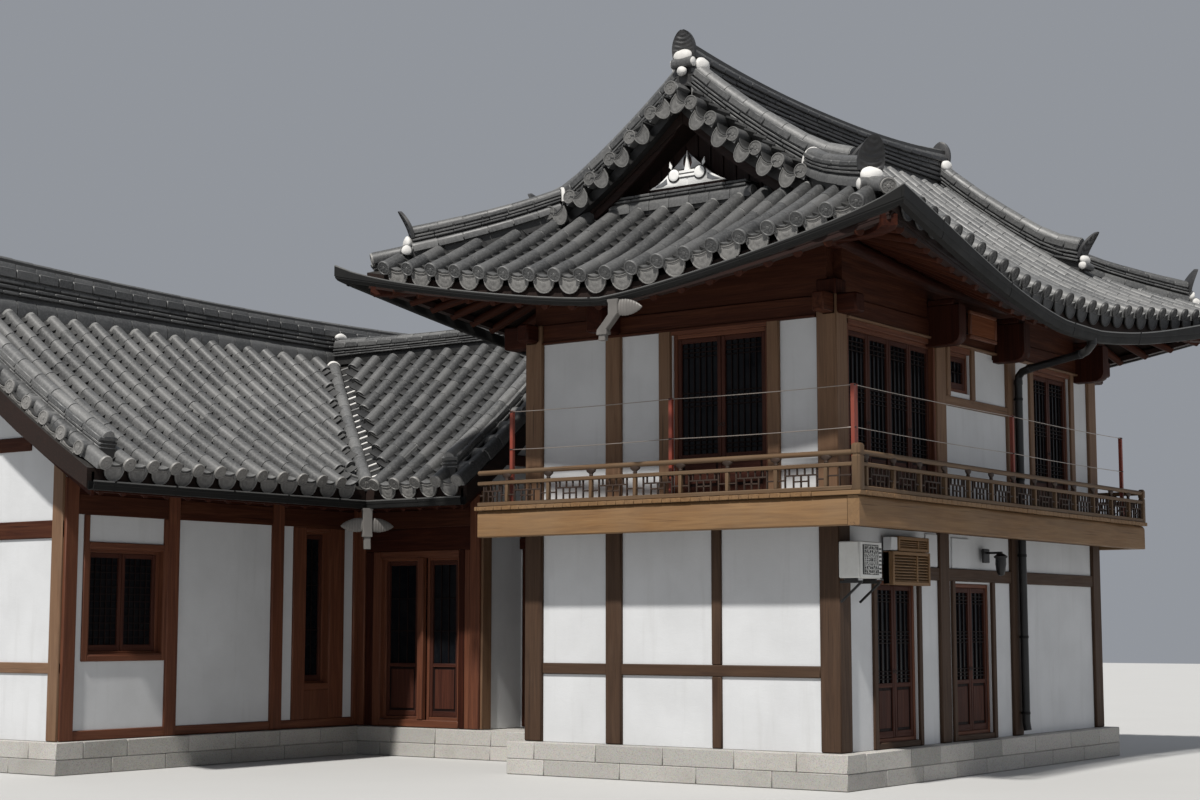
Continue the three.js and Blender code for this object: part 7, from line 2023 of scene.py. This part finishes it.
for a, c in ((-1.6, -0.4), (3.4, 4.6)):
    for q in (a - 0.07, c):
        t.box(q, q + 0.07, RY1 - 0.03, RY1 + 0.026, 1.13, 2.52, 2, 0.008, axis=2)
    t.box(a, c, RY1 - 0.03, RY1 + 0.026, 2.40, 2.47, 2, 0.008, axis=0)
    t.box(a, c, RY1 - 0.03, RY1 + 0.026, 1.13, 1.20, 2, 0.008, axis=0)
for xw, sg in ((WX1, 1),):
    for yc in (6.04, 7.9):
        post(xw - 0.02, xw + 0.03, yc - 0.09, yc + 0.09)
    t.box(xw - 0.02, xw + 0.026, WY0, RY0, 2.60, 2.78, 1, 0.010, axis=1)
    t.box(xw - 0.02, xw + 0.022, WY0, RY0, 1.10, 1.22, 3, 0.010, axis=1)
post(WX1, WX1 + 0.18, RY0 - 0.03, RY0 + 0.02)
t.box(WX1, RX1, RY0 - 0.026, RY0 + 0.02, 2.60, 2.78, 1, 0.010, axis=0)
for x in (WX0, WX1 - 0.18):
    post(x, x + 0.18, WY0 - 0.03, WY0 + 0.02, z1=so(min(x + 0.09 - WEX0, WEX1 - x - 0.09) / KW) - 0.06)
t.box(1.78, WX1 - 0.18, WY0 - 0.026, WY0 + 0.02, 2.78, 2.94, 1, 0.010, axis=0)
t.box(2.0, 4.4, WY0 - 0.026, WY0 + 0.02, 3.66, 3.80, 1, 0.010, axis=0)
t.build()

# boarded sides of the covered link
lk = Part("link_boards", "timber", [W_BEAM, W_EAVE])
for x0, sg in ((2.4, -1), (4.6, 1)):
    y = LY + 0.02
    while y < WY0 - 0.05:
        w = min(0.145, WY0 - 0.03 - y)
        a, c = (x0 - 0.022, x0 - 0.001) if sg < 0 else (x0 + 0.001, x0 + 0.022)
        lk.box(a, c, y + 0.002, y + w - 0.002, 0.37, 2.60, 0, 0.004, axis=2)
        y += w
    a, c = (x0 - 0.05, x0 - 0.001) if sg < 0 else (x0 + 0.001, x0 + 0.05)
    lk.box(a, c, LY + 0.01, WY0 - 0.01, 2.60, 2.745, 1, 0.008, axis=1)
lk.box(2.36, 4.64, LY + 0.01, WY0 - 0.01, 2.752, 2.80, 1, 0.006, axis=1)
lk.build()

# glazed doors and windows of the court
p = Part("wing_west_doors_leaves", "joinery", DOOR_MATS, ("wing_west_doors",))
leaves(p, (WX0 + 0.048, 7.598, 0.452), (0, -1, 0), (-1, 0, 0), 0.624, 2.046, 1, 0.55, 3, "panes")
leaves(p, (WX0 + 0.048, 6.866, 0.452), (0, -1, 0), (-1, 0, 0), 0.562, 2.046, 1, 0.55, 3, "panes")
p.build()
p = Part("range_south_windows", "joinery", DOOR_MATS + [M_DARK], ("range_south_glazing",))
for w0, n, c, pan in (((-2.85, -1.75, 1.3, 2.5), 2, 5, 0), ((0.59, 1.03, 0.9, 2.83), 1, 2, 0)):
    leaves(p, (w0[0] + 0.002, RY0 + 0.07, w0[2] + 0.002), (1, 0, 0), (0, -1, 0), w0[1] - w0[0] - 0.004, w0[3] - w0[2] - 0.004, n, pan, c, "grid" if c > 2 else "panes")
# dark board inside, behind the glass: painted shade for the dark room
p.box(-2.95, 1.25, RY0 + 0.182, RY0 + 0.20, 0.75, 2.92, 5, 0.002)
p.build()
p = Part("range_north_windows", "joinery", DOOR_MATS + [M_DARK], ("range_north_glazing",))
for a, c in ((-1.6, -0.4), (3.4, 4.6)):
    leaves(p, (c - 0.002, RY1 - 0.07, 1.202), (-1, 0, 0), (0, 1, 0), c - a - 0.004, 1.196, 2, 0, 5, "grid")
# dark board inside, behind the glass: painted shade for the dark room
p.box(-1.7, 4.7, RY1 - 0.20, RY1 - 0.182, 1.1, 2.5, 5, 0.002)
p.build()

# ------------------------------------------------------------------- stone base
st = Part("stone_base_blocks", "stone", [G_STONE, M_DARK], ("stone_base",))


def blocks(x0, x1, y0, y1, sides, z1=Z_FLOOR1):
    st.box(x0 + 0.02, x1 - 0.02, y0 + 0.02, y1 - 0.02, 0.0, z1 - 0.006, 0, 0.004)
    for s in sides:
        L = (x1 - x0) if s in "fb" else (y1 - y0)
        for z0, zz in ((0.0, 0.17), (0.17, z1)):
            q = 0.0
            first = True
            while q < L - 0.01:
                w = rng.uniform(0.62, 1.05) * (0.6 if first and z0 > 0 else 1.0)
                first = False
                if L - q - w < 0.35:
                    w = L - q
                a, b2 = q + 0.0025, q + w - 0.0025
                dpt = 0.19
                dz = rng.uniform(-0.0015, 0.0)
                if s == "f":
                    bx = (x0 + a, x0 + b2, y0 + rng.uniform(0, 0.003), y0 + dpt)
                elif s == "b":
                    bx = (x0 + a, x0 + b2, y1 - dpt, y1 - rng.uniform(0, 0.003))
                elif s == "l":
                    bx = (x0 + rng.uniform(0, 0.003), x0 + dpt, y0 + a, y0 + b2)
                else:
                    bx = (x1 - dpt, x1 - rng.uniform(0, 0.003), y0 + a, y0 + b2)
                st.box(*bx, z0 + 0.0015, zz - 0.0015 + (dz if z0 > 0 else 0), 0, 0.007, axis=0 if s in "fb" else 1)
                q += w


blocks(-0.14, LX + 0.14, -0.14, LY + 0.14, "fblr")
blocks(RX0 - 0.12, RX1 + 0.12, RY0 - 0.12, RY1 + 0.12, "fblr", Z_FLOOR1 - 0.001)
blocks(WX0 - 0.12, WX1 + 0.12, LY + 0.05, RY0 - 0.05, "lr", Z_FLOOR1 - 0.002)
st.build()

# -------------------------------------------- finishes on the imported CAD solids
def dress(names, m):
    for n in names:
        ob = nodes[n]
        if not ob.material_slots:
            raise SystemExit("no slot on " + n)
        for s_ in ob.material_slots:
            s_.material = m


dress(["front_wall", "back_wall", "left_wall", "right_wall", "range_east_gable", "range_north_wall", "range_south_wall", "range_west_gable",
       "wing_east_wall", "wing_south_gable", "wing_west_wall", "link_passage"], M_WALL)
dress(["main_roof_front_slope", "main_roof_back_slope", "main_roof_left_skirt", "main_roof_right_skirt", "wing_roof_west", "wing_roof_east",
       "range_roof_south_west", "range_roof_north"], M_SLAB)
dress(["upper_floor"], W_FLOOR)

# ------------------------------------------------------------------ the camera
cam_d = bpy.data.cameras.new("camera")
cam_d.lens = 59.88
cam_d.sensor_width = 36
cam_d.sensor_fit = "HORIZONTAL"
cam_d.clip_end = 400
cam = bpy.data.objects.new("camera", cam_d)
bpy.context.scene.collection.objects.link(cam)
cam.location = (-19.956, -15.675, 1.6)
cam.rotation_mode = "XYZ"
cam.rotation_euler = (math.radians(90 + 6.526), 0, math.radians(35.945 - 90))
bpy.context.scene.camera = cam

# --------------------------------------------------------------- floor, lights
me = bpy.data.meshes.new("floor")
Rf = 70.0
me.from_pydata([(-Rf, -Rf, 0), (Rf, -Rf, 0), (Rf, Rf, 0), (-Rf, Rf, 0)], [], [(0, 1, 2, 3)])
floor = bpy.data.objects.new("floor", me)
floor.location = (0, 0, -0.002)
bpy.context.scene.collection.objects.link(floor)
tf = NT("floor_pale")
me.materials.append(tf.out(tf.mix(tf.band(tf.noise(tf.obj(), 0.6, 4), 0.3, 0.7, 0, 0.3), (0.46, 0.46, 0.455), (0.42, 0.42, 0.415)), 0.9))

world = bpy.data.worlds.new("studio")
bpy.context.scene.world = world
world.use_nodes = True
bg = world.node_tree.nodes["Background"]
bg.inputs[0].default_value = (0.86, 0.91, 1.0, 1)
bg.inputs[1].default_value = 0.33


def sun(name, az, el, strength, angle, color):
    d = bpy.data.lights.new(name, "SUN")
    d.energy, d.angle, d.color = strength, math.radians(angle), color
    o = bpy.data.objects.new(name, d)
    bpy.context.scene.collection.objects.link(o)
    o.rotation_mode = "XYZ"
    o.rotation_euler = (math.radians(90 - el), 0, math.radians(az))
    return o


# azimuth 0 shines from -Y, 90 from +X
sun("key", -80, 54, 4.75, 2.5, (1.0, 0.97, 0.92))
sun("fill", 28, 30, 0.16, 40, (0.92, 0.95, 1.0))

bpy.context.scene.view_settings.view_transform = "Standard"
bpy.context.view_layer.update()
print("triangles", sum(TRIS.values()), TRIS)
